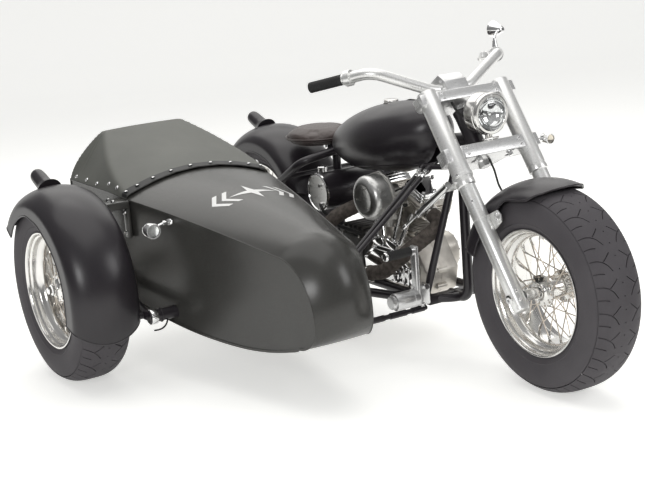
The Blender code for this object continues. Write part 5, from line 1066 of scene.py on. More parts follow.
chassis = bmesh.new()
low_rail = [(-0.030, STAY_Y, 0.320), (0.280, STAY_Y, 0.235), (0.450, RAIL_Y, RAIL_Z),
            (1.130, RAIL_Y, RAIL_Z)]
upper_stay = [(-0.015, STAY_Y, 0.350), (0.440, STAY_Y, 0.610)]
for half, middle in ((low_rail, (1.205, 0, RAIL_Z)), (upper_stay, (0.470, 0, 0.640))):
    other = [(x, -y, z) for x, y, z in reversed(half)]
    tube(chassis, rounded(half + [middle] + other, FRAME_BEND, 14), STEEL_TUBE, 24)
tube(chassis, [NECK_MIDDLE, SPINE_REAR], 0.022, 28)
downtube = [NECK_MIDDLE - Vector((0, 0, 0.001)), (DOWNTUBE_X, 0, 0.650), (DOWNTUBE_X, 0, RAIL_Z),
            (1.130, 0, RAIL_Z)]
tube(chassis, rounded(downtube, FRAME_BEND, 16), 0.0175, 28)
seat_tube_x = 0.4417
for start, end, radius in (((1.245, -0.040, 0.660), (1.120, -RAIL_Y, RAIL_Z), 0.013),
                           ((seat_tube_x, 0, 0.640), (seat_tube_x, 0, RAIL_Z), STEEL_TUBE),
                           ((seat_tube_x, -RAIL_Y, RAIL_Z), (seat_tube_x, RAIL_Y, RAIL_Z), 0.013),
                           ((0.3047, -STAY_Y, 0.5335), (0.3047, STAY_Y, 0.5335), 0.010)):
    rod(chassis, start, end, radius, 24)
weld_ring(chassis, [(seat_tube_x, 0, 0.619), (seat_tube_x, 0, 0.5)], STEEL_TUBE)
neck = lathe([(0.0, 0.149), (0.0315, 0.149), (0.0315, 0.138), (0.0302, 0.136), (0.0300, 0.010),
              (0.0315, 0.008), (0.0315, 0.0), (0.0, 0.0)], 56)
put(chassis, neck, TURN_TO_FORK, (1.3333, 0, 0.7333))
gusset = prism([(0, 0), (0.150, 0.0245), (0.040, -0.130)], 0.006, 0.001, 2)
put(chassis, gusset, UPRIGHT, (1.130, 0, 0.745))
for side in (-1, 1):
    put(chassis, block((0.110, 0.010, 0.085), 0.003, 3), None, (0, side * STAY_Y, AXLE_HEIGHT))
    for lean in (-1, 1):
        put(chassis, block((0.040, 0.030, 0.020), 0.002, 2), None,
            (0.905 + lean * 0.100, side * 0.085, RAIL_Z))
        hex_bolt(chassis, (0.905 + lean * 0.100, side * 0.084, RAIL_Z + 0.010), (0, 0, 1), 0.007,
                 0.009, 1)
put(chassis, block((0.030, 0.232, 0.030), 0.002, 2), None, (1.150, 0, RAIL_Z))
put(chassis, block((0.060, 0.036, 0.052), 0.003, 3), None, (seat_tube_x, 0, 0.644))
STRUTS = []
for shift in (0, 1):
    foot_x = 1.165 + 0.018 * shift
    foot = Vector((foot_x, BODY_CENTRE + body_half(foot_x) + 0.012, 0.395))
    head = Vector((1.115 + 0.036 * shift, -0.085, 0.655))
    STRUTS.append((head, foot, (foot - head).normalized()))
    rod(chassis, head - STRUTS[-1][2] * 0.020, head - STRUTS[-1][2] * 0.0003, 0.011, 24)
arm = [(DOWNTUBE_X, 0, 0.6664)] + [head - way * 0.020 for head, foot, way in reversed(STRUTS)]
tube(chassis, arm, 0.010, 18)
shape("frame_tubes", chassis, SATIN_BLACK, "root", ["main_frame"], 40, (CHROME,))


# The sidecar's carriers: a cross tube from the frame to a trailing arm for its wheel, a brace, and
# twin struts with chrome rod ends up to the frame's arm. A brake line loops round the axle tube.
carrier = bmesh.new()
ARM_X, ARM_Z, ARM_END_Y = 0.730, 0.245, -0.970
for points, radius in (
        ([(ARM_X, -0.1163, RAIL_Z), (ARM_X, -0.240, RAIL_Z), (ARM_X, -0.360, ARM_Z),
          (ARM_X, ARM_END_Y, ARM_Z)], 0.021),
        ([(ARM_X, -0.935, ARM_Z), (0.709, -0.965, ARM_Z), (0.408, -0.965, AXLE_HEIGHT)], 0.018),
        ([(1.020, -0.1163, RAIL_Z), (1.020, -0.1563, RAIL_Z), (ARM_X, -0.320, 0.225)], STEEL_TUBE)):
    tube(carrier, rounded(points, 0.045, 12), radius, 28)
for y in (-0.925, -0.955):
    weld_ring(carrier, [(ARM_X, y, ARM_Z), (ARM_X, y - 1, ARM_Z)], 0.0215)
rod(carrier, (0.700, -0.935, 0.248), (0.700, -1.0004, 0.248), 0.012, 24)
stub = [(0.0, 0.150), (0.0185, 0.150), (0.0185, 0.069), (0.0095, 0.069), (0.0095, -0.0668),
        (0.0, -0.0668)]
put(carrier, lathe(stub, 40, material=1), TURN_TO_Y, (0.438, -1.122, AXLE_HEIGHT))
hex_bolt(carrier, (0.438, -1.1888, AXLE_HEIGHT), (0, -1, 0), 0.0140, 0.014, 1)
collar = lathe([(0.0212, 0.012), (0.026, 0.012), (0.027, 0.010), (0.027, -0.010), (0.026, -0.012),
                (0.0212, -0.012)], 48, closed=True, material=1)
put(carrier, collar, TURN_TO_Y, (ARM_X, -0.955, ARM_Z))
hex_bolt(carrier, (ARM_X + 0.026, -0.955, ARM_Z + 0.006), (1, 0, 0.2), 0.0055, 0.007, 1)
line = [Vector((ARM_X + 0.024 * math.sin(t) + 0.004, -0.900 - 0.055 * t / math.pi,
                ARM_Z - 0.012 - 0.024 * math.sin(t * 0.5) - 0.004 * t)) for t in
        (math.pi * i / 20 for i in range(21))]
tube(carrier, line, 0.003, 10, 2)
shape("sidecar_carriers", carrier, SATIN_BLACK, "root", ["sidecar_chassis"], 40,
      (CHROME, RUBBER))

for i, (head, foot, way) in enumerate(STRUTS):
    strut = bmesh.new()
    tube(strut, [head + way * 0.034, foot - way * 0.030], 0.0078, 20)
    for end, out in ((head, 1), (foot, -1)):
        rod(strut, end + way * out * 0.012, end + way * out * 0.036, 0.0048, 16, material=1)
        rod(strut, end + way * out * 0.022, end + way * out * 0.030, 0.0085, 6, material=1)
        ball = lathe([(0.0, 0.0065), (0.0085, 0.0065), (0.0115, 0.004), (0.0115, -0.004),
                      (0.0085, -0.0065), (0.0, -0.0065)], 28, material=1)
        put(strut, ball, UPRIGHT, end + way * out * 0.006)
        rod(strut, end + way * out * 0.006 - LEFT * 0.012, end + way * out * 0.006 + LEFT * 0.012,
            0.0052, 6, material=1)
    shape(f"strut_{i + 1}_tube", strut, SATIN_BLACK, "root",
          [f"sidecar_strut_{i + 1}"], 40, (CHROME,))


# The fork: brushed legs, wider in their upper sleeves, held in two billet clamps that lie
# between them and close behind them. A lug on each leg carries the front fender.
FORK_HALF = 0.1486
BILLET = finish("billet_aluminium", (0.72, 0.72, 0.72), (0.80, 0.80, 0.80), (0.24, 0.32), 0.8,
                fine=1200, depth=0.00001)
leg_profile = [(0.0, 0.7340), (0.0190, 0.7340), (0.0200, 0.7380), (0.0290, 0.7380),
               (0.0315, 0.7368), (0.0325, 0.7345), (0.0325, 0.4180), (0.0312, 0.4172),
               (0.0312, 0.4128), (0.0325, 0.4120), (0.0325, 0.4000), (0.0316, 0.3965),
               (0.0290, 0.3950), (0.0275, 0.3935), (0.0275, 0.2760), (0.0268, 0.2752),
               (0.0268, 0.2728), (0.0275, 0.2720), (0.0275, -0.0300), (0.0262, -0.0330),
               (0.0262, -0.0345), (0.0250, -0.0410), (0.0215, -0.0450), (0.0, -0.0450)]
for side, label in ((-1, "right"), (1, "left")):
    leg = put(bmesh.new(), lathe(leg_profile, 72), TURN_TO_FORK, on_fork(0, 0, side * FORK_HALF))
    for along in (-0.014, 0.016):
        cap_screw(leg, on_fork(along, 0.0245, side * (FORK_HALF + 0.010)), FORK_AHEAD, 0.0058,
                  0.0065, 1)
    out = side * (FORK_HALF + 0.0262)
    cap_screw(leg, on_fork(0, 0, out), LEFT * side, 0.0150, 0.0055, 1)
    cap_screw(leg, on_fork(0.335, 0.020, side * (FORK_HALF + 0.0185)),
              FORK_AHEAD + LEFT * side, 0.0042, 0.0040, 1)
    plate = prism([(-0.004, -0.022), (0.040, -0.016), (0.052, 0.004), (0.044, 0.024),
                   (-0.004, 0.032)], 0.0075, 0.002, 3)
    put(leg, plate, TURN_TO_FORK @ UPRIGHT, on_fork(0.250, 0.020, side * 0.1262))
    for ahead, along in ((0.052, 0.246), (0.058, 0.264)):
        cap_screw(leg, on_fork(along, ahead, side * 0.130), LEFT * side, 0.0055, 0.0055, 1)
    if side < 0:
        ear = put(bmesh.new(), block((0.060, 0.0414, 0.006), 0.0015, 2), TURN_TO_FORK,
                  on_fork(0.4147, -0.030, -0.1693))
        put(leg, ear)
        band = lathe([(0.0327, 0.006), (0.0348, 0.006), (0.0354, 0.005), (0.0354, -0.005),
                      (0.0348, -0.006), (0.0327, -0.006)], 56, closed=True)
        put(leg, band, TURN_TO_FORK, on_fork(0.4300, 0, -FORK_HALF))
        cap_screw(leg, on_fork(0.430, 0.020, -FORK_HALF - 0.034), (FORK_AHEAD - LEFT), 0.0050,
                  0.0060, 1)
    shape(f"fork_leg_{label}_turned", leg, BRUSHED, "steering",
          [f"fork_leg_{label}"], 30, (CHROME,))

CLAMP_HALF = FORK_HALF + 0.042


def clamp_plate(along, depth):
    half = [(0.0260, 0.1240), (0.0225, 0.1300), (0.0225, 0.1700), (0.0190, CLAMP_HALF),
            (-0.0300, CLAMP_HALF), (-0.0460, 0.1720), (-0.0460, 0.0800), (-0.0980, 0.0420)]
    plate = prism(half + [(x, -y) for x, y in reversed(half)], depth, 0.0032, 3)
    slots = bmesh.new()
    for side in (-1, 1):
        put(slots, block((0.0030, 0.030, depth * 2)), None, (0.0, side * (CLAMP_HALF - 0.004), 0))
        put(slots, block((0.050, 0.016, 0.010)), None, (-0.001, side * 0.070, -depth / 2))
    plate = cut(plate, slots)
    for side in (-1, 1):
        for z in (-depth / 4, depth / 4):
            cap_screw(plate, (0.0255, side * 0.1080, z), (1, 0, 0), 0.0045, 0.0035, 1)
    return put(bmesh.new(), plate, TURN_TO_FORK, on_fork(along))


LOWER_CLAMP_AT, UPPER_CLAMP_AT = 0.503, 0.708
STEM_BACK = -0.055
lower = clamp_plate(LOWER_CLAMP_AT, 0.046)
rod(lower, on_fork(LOWER_CLAMP_AT, STEM_BACK), on_fork(0.688, STEM_BACK), 0.014, 32)
nut = lathe([(0.0, 0.012), (0.020, 0.012), (0.0235, 0.009), (0.0235, 0.0), (0.0, 0.0)], 8)
put(lower, nut, TURN_TO_FORK @ Matrix.Rotation(math.pi, 3, "X"), on_fork(0.480, -0.055))
for side in (-1, 1):
    hex_bolt(lower, on_fork(0.480, 0.010, side * 0.062), -FORK_UP, 0.0085, 0.012, 1)
shape("lower_clamp_billet", lower, BILLET, "steering", ["lower_clamp"], 30,
      (CHROME,))

upper = clamp_plate(UPPER_CLAMP_AT, 0.038)
BLOCK_FOOT = 0.727
side_view = [(-0.038, -0.001), (0.038, -0.001), (0.038, 0.0516), (0.019, 0.086), (-0.038, 0.086)]
box_body = prism(side_view, 0.090, 0.0028, 3)
put(upper, box_body, TURN_TO_FORK @ UPRIGHT, on_fork(BLOCK_FOOT, -0.055))
for side in (-1, 1):
    for ahead, along in ((-0.028, 0.012), (0.028, 0.012), (-0.028, 0.070), (0.018, 0.060)):
        cap_screw(upper, on_fork(BLOCK_FOOT + along, ahead - 0.055, side * 0.0448), LEFT * side,
                  0.0045, 0.0035, 1)
shape("upper_clamp_billet", upper, BILLET, "steering", ["upper_clamp"], 30,
      (CHROME,))

axle = bmesh.new()
axle_profile = [(0.0, 0.1208), (0.0185, 0.1208), (0.0185, 0.069), (0.0095, 0.069)]
axle_profile += [(r, -z) for r, z in reversed(axle_profile)]
put(axle, lathe(axle_profile, 44), TURN_TO_Y, FRONT_AXLE)
shape("front_axle_spindle", axle, CHROME, "steering", ["front_axle"], 30)

axle = bmesh.new()
axle_profile = [(0.0, 0.1414), (0.0185, 0.1414), (0.0185, 0.069), (0.0095, 0.069)]
axle_profile += [(r, -z) for r, z in reversed(axle_profile)]
put(axle, lathe(axle_profile, 44), TURN_TO_Y, (0, 0, AXLE_HEIGHT))
for side in (-1, 1):
    hex_bolt(axle, (0, side * 0.1632, AXLE_HEIGHT), (0, side, 0), 0.0160, 0.014)
shape("rear_axle_spindle", axle, CHROME, "root", ["rear_axle"], 30)


# The handlebar: a bent tube through the block, with rubber grips, a lever and a boxed master
# cylinder at each end, and a small cone mirror on the left one.
BAR_CENTRE = on_fork(0.766, -0.055)
BAR_BEND = BAR_CENTRE + Vector((-0.075, 0.265, 0.083))
BAR_END = BAR_CENTRE + Vector((-0.165, 0.318, 0.060))


def mirror_side(point, side):
    return Vector((point.x, point.y * side, point.z))


half = [BAR_CENTRE + LEFT * 0.070, BAR_BEND, BAR_END]
route = [mirror_side(point, -1) for point in reversed(half)] + half
bar = tube(bmesh.new(), rounded(route, 0.090, 18), 0.0190, 32)
for side, label in ((-1, "right"), (1, "left")):
    tip, bend = mirror_side(BAR_END, side), mirror_side(BAR_BEND, side)
    along = (tip - bend).normalized()
    out = along.cross(Vector((0, 0, 1))).normalized() * -side
    perch = tip - along * 0.022
    ring = lathe([(0.0192, 0.011), (0.0262, 0.011), (0.0270, 0.0100), (0.0270, -0.0100),
                  (0.0262, -0.011), (0.0192, -0.011)], 48, closed=True)
    put(bar, ring, aim(along), perch)
    heart = perch + out * 0.042
    rod(bar, perch + out * 0.020, heart, 0.0090, 24)
    put(bar, block((0.024, 0.024, 0.056), 0.004, 3), aim(along, "Y"), heart)
    lid_up = Vector((0, 0, 1))
    for step in (-0.020, 0.020):
        cap_screw(bar, heart + along * step + lid_up * 0.0118, lid_up, 0.0036, 0.0025, 1)
    lever = [heart + along * 0.018 + out * 0.004, heart + along * 0.040 + out * 0.010,
             heart + along * 0.080 + out * 0.004, heart + along * 0.110 - out * 0.001,
             heart + along * 0.120 + out * 0.0005]
    lever = rounded(lever, 0.05, 8)
    count = len(lever)
    tube(bar, lever, [0.0062 - 0.0016 * math.sin(math.pi * i / (count - 1)) for i in range(count)],
         18)
    ball = bmesh.new()
    bmesh.ops.create_uvsphere(ball, u_segments=20, v_segments=12, radius=0.0078)
    put(bar, ball, None, lever[-1])
    rod(bar, heart + along * 0.016 - lid_up * 0.013, heart + along * 0.016 + lid_up * 0.014, 0.0050,
        20, material=1)
    ribs = [(0.0, 0.130), (0.0150, 0.130), (0.0180, 0.128), (0.0185, 0.1245)]
    for i in range(18):
        z = 0.119 - i * 0.0060
        ribs += [(0.0185, z), (0.0174, z - 0.0008), (0.0174, z - 0.0024), (0.0185, z - 0.0032)]
    ribs += [(0.0185, 0.0060), (0.0185, 0.0003), (0.0, 0.0003)]
    grip = put(bmesh.new(), lathe(ribs, 40), aim(along), tip)
    shape(f"grip_{label}_ribbed", grip, RUBBER, "steering", [f"grip_{label}"], 40)
shape("handlebar_bent", bar, BRUSHED, "steering", ["handlebar"], 30, (CHROME,))

MIRROR = Vector((BAR_END.x - 0.078, 0.400, BAR_END.z + 0.078))
cone = lathe([(0.0, 0.0275), (0.0065, 0.0272), (0.0100, 0.0245), (0.0150, 0.0130),
              (0.0225, -0.0040), (0.0285, -0.0190), (0.0300, -0.0245), (0.0300, -0.0270),
              (0.0288, -0.0275), (0.0272, -0.0262), (0.0, -0.0262)], 56)
mirror = put(bmesh.new(), cone, aim((1, 0, 0)), MIRROR)
along = (BAR_END - BAR_BEND).normalized()
off = (Vector((0, 0, 1)) - along * along.z).normalized()
foot = BAR_END - along * 0.022 + off * 0.0273
knee = foot + off * 0.022
rod(mirror, foot, knee, 0.010, 24, 0.0075)
tube(mirror, rounded([knee - off * 0.002, knee + off * 0.010, MIRROR], 0.02, 6), 0.005, 16)
shape("mirror_cone", mirror, CHROME, "steering", ["mirror"], 35)


# The headlight: a turned shell with a bezel held by three screws, a bright reflector, a bulb and a
# clear lens, on a post from the lower clamp.
LAMP_FRONT = on_fork(0.615, 0.045) + Vector((0.045, 0, 0))
AHEAD_TURN = aim((1, 0, 0))


def clear_material(name, colour, roughness=0.02):
    material, tree, shader = new_nodes(name)
    shader.inputs["Base Color"].default_value = (*colour, 1)
    shader.inputs["Roughness"].default_value = roughness
    shader.inputs["Transmission Weight"].default_value = 1.0
    shader.inputs["IOR"].default_value = 1.45
    return material


CLEAR = clear_material("clear_glass", (0.97, 0.98, 0.98))
SIGNAL_GLASS = clear_material("signal_lens", (0.93, 0.89, 0.82), 0.1)
housing = lathe([(0.0545, -0.0015), (0.0560, 0.0000), (0.0630, -0.0002), (0.0672, -0.0030),
                 (0.0692, -0.0080), (0.0692, -0.0150), (0.0680, -0.0162), (0.0680, -0.0175),
                 (0.0698, -0.0190), (0.0700, -0.0560), (0.0680, -0.0630), (0.0620, -0.0730),
                 (0.0500, -0.0815), (0.0300, -0.0838), (0.0, -0.0840)], 112)
bowl = lathe([(0.0545, -0.0015), (0.0540, -0.0060), (0.0500, -0.0160), (0.0420, -0.0270),
              (0.0300, -0.0360), (0.0150, -0.0420), (0.0, -0.0430)], 112, material=1)
bmesh.ops.reverse_faces(bowl, faces=bowl.faces)
put(housing, bowl)
bulb = lathe([(0.0, -0.0120), (0.0055, -0.0130), (0.0075, -0.0170), (0.0075, -0.0400)], 32,
             material=1)
put(housing, bulb)
for i in range(3):
    turn = math.radians(90 + 120 * i)
    cap_screw(housing, (math.cos(turn) * 0.0615, math.sin(turn) * 0.0615, -0.0008), (0, 0, 1),
              0.0032, 0.0022, 1)
housing = put(bmesh.new(), housing, AHEAD_TURN, LAMP_FRONT)
coil_start = LAMP_FRONT + Vector((-0.080, 0.012, 0.020))
coil = []
for i in range(160):
    share = i / 159
    turn = 2 * math.pi * 9 * share
    middle = coil_start.lerp(on_fork(0.672, -0.020, 0.060), share) + Vector((0, 0, 0.010
                                                                       * math.sin(math.pi * share)))
    coil.append(middle + Vector((0.0075 * math.cos(turn), 0, 0.0075 * math.sin(turn))))
tube(housing, coil, 0.0026, 8, 2)
loop = [on_fork(0.690, 0.004, -0.070), on_fork(0.650, 0.006, -0.066),
        on_fork(0.628, -0.004, -0.038), LAMP_FRONT + Vector((-0.070, -0.020, 0.014))]
loop = rounded(loop, 0.03, 8)
tube(housing, loop, 0.0042, 12, 2)
shape("headlight_shell", housing, POLISHED, "steering", ["headlight_housing"],
      30, (CHROME, RUBBER))
crown = [(0.0, 0.0120), (0.0180, 0.0112), (0.0350, 0.0080), (0.0480, 0.0035), (0.0555, 0.0004)]
inner = [(r * 0.985, z - 0.0018) for r, z in crown[::-1]]
lens = put(bmesh.new(), lathe(crown + inner, 96), AHEAD_TURN, LAMP_FRONT)
shape("headlight_glass", lens, CLEAR, "steering", ["headlight_lens"], 40)

foot = on_fork(0.5293, 0.015)
bracket = put(bmesh.new(), block((0.034, 0.060, 0.006), 0.0018, 3), TURN_TO_FORK, foot)
middle = LAMP_FRONT - Vector((0.042, 0, 0))
way = (middle - foot).normalized()
tube(bracket, [foot, foot + way * 0.006, foot + way * 0.012, middle - way * 0.066],
     [0.0165, 0.0150, 0.0115, 0.0110], 28)
for side in (-1, 1):
    cap_screw(bracket, on_fork(0.5320, 0.015, side * 0.021), FORK_UP, 0.0048, 0.0050, 1)
shape("headlight_post", bracket, POLISHED, "steering", ["headlight_bracket"],
      30, (CHROME,))


def bullet_lamp(radius, length):
    """A turned bullet shell with a bright rim round a flat lens, along +Z."""
    front = length / 2
    shell_side = [(0.0, front - 0.0030), (radius * 0.74, front - 0.0030), (radius * 0.80, front),
                  (radius * 0.96, front), (radius, front - 0.0020), (radius, front - 0.0080),
                  (radius * 0.96, front - 0.0090), (radius * 0.97, front - 0.0105),
                  (radius * 0.99, 0.0), (radius * 0.93, -front * 0.40),
                  (radius * 0.78, -front * 0.72), (radius * 0.50, -front * 0.93),
                  (radius * 0.25, -front), (0.0, -front)]
    lamp = lathe(shell_side, 64)
    lamp_lens = lathe([(0.0, front + 0.0005), (radius * 0.40, front - 0.0003),
                       (radius * 0.79, front - 0.0018), (0.0, front - 0.0029)], 56, material=1)
    return put(lamp, lamp_lens)


SIGNAL_ROOT = on_fork(LOWER_CLAMP_AT, 0, CLAMP_HALF + 0.0003)
signal_middle = SIGNAL_ROOT + LEFT * 0.045
signal = put(bmesh.new(), bullet_lamp(0.019, 0.046), AHEAD_TURN, signal_middle)
tube(signal, [SIGNAL_ROOT, SIGNAL_ROOT + LEFT * 0.004, SIGNAL_ROOT + LEFT * 0.006, signal_middle],
     [0.010, 0.0095, 0.0062, 0.0058], 20)
shape("turn_signal_bullet", signal, CHROME, "steering", ["turn_signal"], 35,
      (SIGNAL_GLASS,))

side_turn = math.atan((BODY_HALF - NOSE_HALF) / (NOSE_X - BODY_BEND_X))
outward = Vector((math.sin(side_turn), -math.cos(side_turn), 0))
foot = Vector((0.752, BODY_CENTRE - body_half(0.752), 0.562)) + outward * 0.0003
middle = Vector((0.775, foot.y - 0.0805, 0.552))
spot_lamp = put(bmesh.new(), bullet_lamp(0.026, 0.056), AHEAD_TURN, middle)
drop = lathe([(0.0, 0.008), (0.006, 0.0075), (0.0095, 0.005), (0.0120, 0.0), (0.0, 0.0)], 32)
bmesh.ops.scale(drop, vec=(1.7, 1.0, 1.0), verts=drop.verts)
put(spot_lamp, drop, aim(outward, "Y") @ Matrix.Rotation(math.radians(12), 3, "Z"), foot)
tube(spot_lamp, [foot, foot + outward * 0.020, middle], [0.0075, 0.0062, 0.0058], 20)
rod(spot_lamp, foot + outward * 0.016, foot + outward * 0.026, 0.0085, 6)
shape("sidecar_spot_lamp", spot_lamp, CHROME, "root", ["sidecar_front_lamp"], 35,
      (CLEAR,))


# The steering damper: a chrome tube with collars on the right leg, and its rod with a rod end.
DAMPER_PIN = on_fork(0.430, -0.048, -0.178)
barrel = lathe([(0.0, 0.222), (0.0060, 0.222), (0.0105, 0.2215), (0.0120, 0.2195), (0.0120, 0.2120),
                (0.0112, 0.2110), (0.0112, 0.2080), (0.0120, 0.2070), (0.0120, 0.0140),
                (0.0135, 0.0130), (0.0135, 0.0020), (0.0120, 0.0), (0.0, 0.0)], 48)
barrel = put(bmesh.new(), barrel, aim(-FORK_AHEAD), DAMPER_PIN)
shape("damper_barrel", barrel, CHROME, "damper_tube", ["damper_tube"], 30)
spindle = lathe([(0.0, 0.325), (0.0060, 0.325), (0.0072, 0.323), (0.0072, 0.306), (0.0060, 0.304),
                 (0.0045, 0.303), (0.0045, 0.125), (0.0, 0.125)], 32)
spindle = put(bmesh.new(), spindle, aim(-FORK_AHEAD), DAMPER_PIN)
shape("damper_spindle", spindle, CHROME, "damper_rod", ["damper_rod"], 30)


# The engine: an aluminium V-twin on split cases, with finned barrels and heads, chromed rocker
# boxes, pushrod tubes with their lifter blocks, a cam cover, and a primary cover on its left.
CRANK = Vector((0.905, 0, 0.270))
LEAN = math.radians(22.5)
STEEL = finish("plated_steel", (0.42, 0.41, 0.39), (0.56, 0.55, 0.52), (0.22, 0.34), 1.0, patch=30)
DARK_CASE = finish("dark_case", (0.10, 0.10, 0.10), (0.16, 0.155, 0.15), (0.36, 0.50), 1.0,
                   patch=30)
HEADS = finish("blasted_aluminium", (0.50, 0.47, 0.43), (0.66, 0.63, 0.58), (0.36, 0.50), 1.0,
               patch=24, fine=1100, depth=0.00008)
FIN_COUNT = 12
FIN_START, HEAD_START, HEAD_DEPTH = 0.168, 0.2500, 0.0453
BARREL, FIN_REACH = 0.050, 0.066


def cylinder_axis(side):
    return Vector((side * math.sin(LEAN), 0, math.cos(LEAN)))


def cylinder_cross(side):
    return Vector((side * math.cos(LEAN), 0, -math.sin(LEAN)))


deck = cylinder_axis(1) * 0.1497
outer, inner = deck + cylinder_cross(1) * 0.055, deck - cylinder_cross(1) * 0.055
CASE_SHAPE = ((-1.0, 0.15), (-0.90, -0.80), (-0.75, -1.0), (0.75, -1.0), (0.90, -0.80),
              (1.0, 0.15))
case_side = [(x * 0.185, z * (0.085 if z < 0 else 0.075)) for x, z in CASE_SHAPE]
case_side += [(outer.x, outer.z), (inner.x, inner.z), (-inner.x, inner.z), (-outer.x, outer.z)]
case = prism(case_side, 0.140, 0.0055, 3)
parting = prism([(x * 1.006, z * 1.006) for x, z in case_side], 0.003, 0.0008, 2)
put(case, parting)
case = put(bmesh.new(), case, UPRIGHT, CRANK)
for x, z in ((-0.172, -0.050), (-0.120, -0.079), (0.120, -0.079), (0.172, -0.050), (0.180, 0.010)):
    rod(case, CRANK + Vector((x, -0.020, z)), CRANK + Vector((x, 0.020, z)), 0.0095, 20)
    hex_bolt(case, CRANK + Vector((x, -0.020, z)), (0, -1, 0), 0.0060, 0.0065, 1)
for i in range(7):
    x = -0.105 + i * 0.035
    put(case, block((0.004, 0.120, 0.010), 0.001, 2), None, CRANK + Vector((x, 0, -0.0855)))
for side in (-1, 1):
    flange = lathe([(0.0, 0.0), (0.0600, 0.0), (0.0615, -0.0015), (0.0615, -0.0100),
                    (0.0, -0.0100)], 72)
    put(case, flange, aim(cylinder_axis(side)), CRANK + cylinder_axis(side) * 0.1555)
    for i in range(4):
        turn = math.radians(45 + 90 * i)
        spot = (CRANK + cylinder_axis(side) * 0.1555 + cylinder_cross(side) * 0.056 * math.cos(turn)
                + LEFT * 0.056 * math.sin(turn))
        hex_bolt(case, spot, cylinder_axis(side), 0.0060, 0.0080, 1)
shape("engine_cases", case, HEADS, "root", ["crankcase"], 30, (STEEL,))

cam_side = [(x * 0.140, z * 0.085) for x, z in ((-0.86, -0.41), (1.0, -0.41), (1.07, 0.35),
                                                (0.43, 1.0), (-0.43, 1.0), (-0.93, 0.35))]
CAM_Y = -0.0953
cam = put(bmesh.new(), prism(cam_side, 0.050, 0.006, 4), UPRIGHT, CRANK + LEFT * CAM_Y)
lid = prism([(x * 0.84, z * 0.80 + 0.004) for x, z in cam_side], 0.008, 0.0028, 3)
put(cam, lid, UPRIGHT, CRANK + LEFT * (CAM_Y - 0.0270))
for x, z in cam_side:
    cap_screw(cam, CRANK + Vector((x * 0.91, CAM_Y - 0.0250, z * 0.88 + 0.002)), (0, -1, 0), 0.0050,
              0.0055)
nose = lathe([(0.0, 0.016), (0.030, 0.015), (0.034, 0.012), (0.036, 0.0), (0.0, 0.0)], 56)
put(cam, nose, aim((0, -1, 0)), CRANK + Vector((0.078, CAM_Y - 0.029, 0.006)))
for i in range(3):
    turn = 2 * math.pi * i / 3 + 0.4
    cap_screw(cam, CRANK + Vector((0.078 + 0.026 * math.cos(turn), CAM_Y - 0.0445,
                                   0.006 + 0.026 * math.sin(turn))), (0, -1, 0), 0.0036, 0.0030)
for side in (-1, 1):
    lifter = put(bmesh.new(), block((0.062, 0.044, 0.034), 0.005, 3),
                 Matrix.Rotation(side * LEAN * 0.6, 3, "Y"),
                 CRANK + Vector((side * 0.041, CAM_Y, 0.094)))
    put(cam, lifter)
    for x in (-0.024, 0.024):
        hex_bolt(cam, CRANK + Vector((side * 0.041 + x, CAM_Y - 0.016, 0.1085 - side * x * 0.25)),
                 (side * 0.23, 0, 0.97), 0.0048, 0.0070)
    for i, share in enumerate((0.17, 0.42)):
        start = CRANK + Vector((side * share * 0.140, CAM_Y, 0.084))
        lean = (2 * i - 1) * 0.031
        end = (CRANK + cylinder_axis(side) * (HEAD_START - 0.002) + cylinder_cross(side) * lean
               - LEFT * (0.078 - 0.0063))
        way = (end - start).normalized()
        tube(cam, [start, start + way * 0.026, start + way * 0.0265, start + way * 0.031,
                   start + way * 0.0315, start + way * 0.075, start + way * 0.0755,
                   start + way * 0.080, start + way * 0.0805, end],
             [0.0088, 0.0088, 0.0115, 0.0115, 0.0092, 0.0092, 0.0105, 0.0105, 0.0062, 0.0062], 28)
shape("cam_side", cam, CHROME, "root", ["cam_cover"], 30)

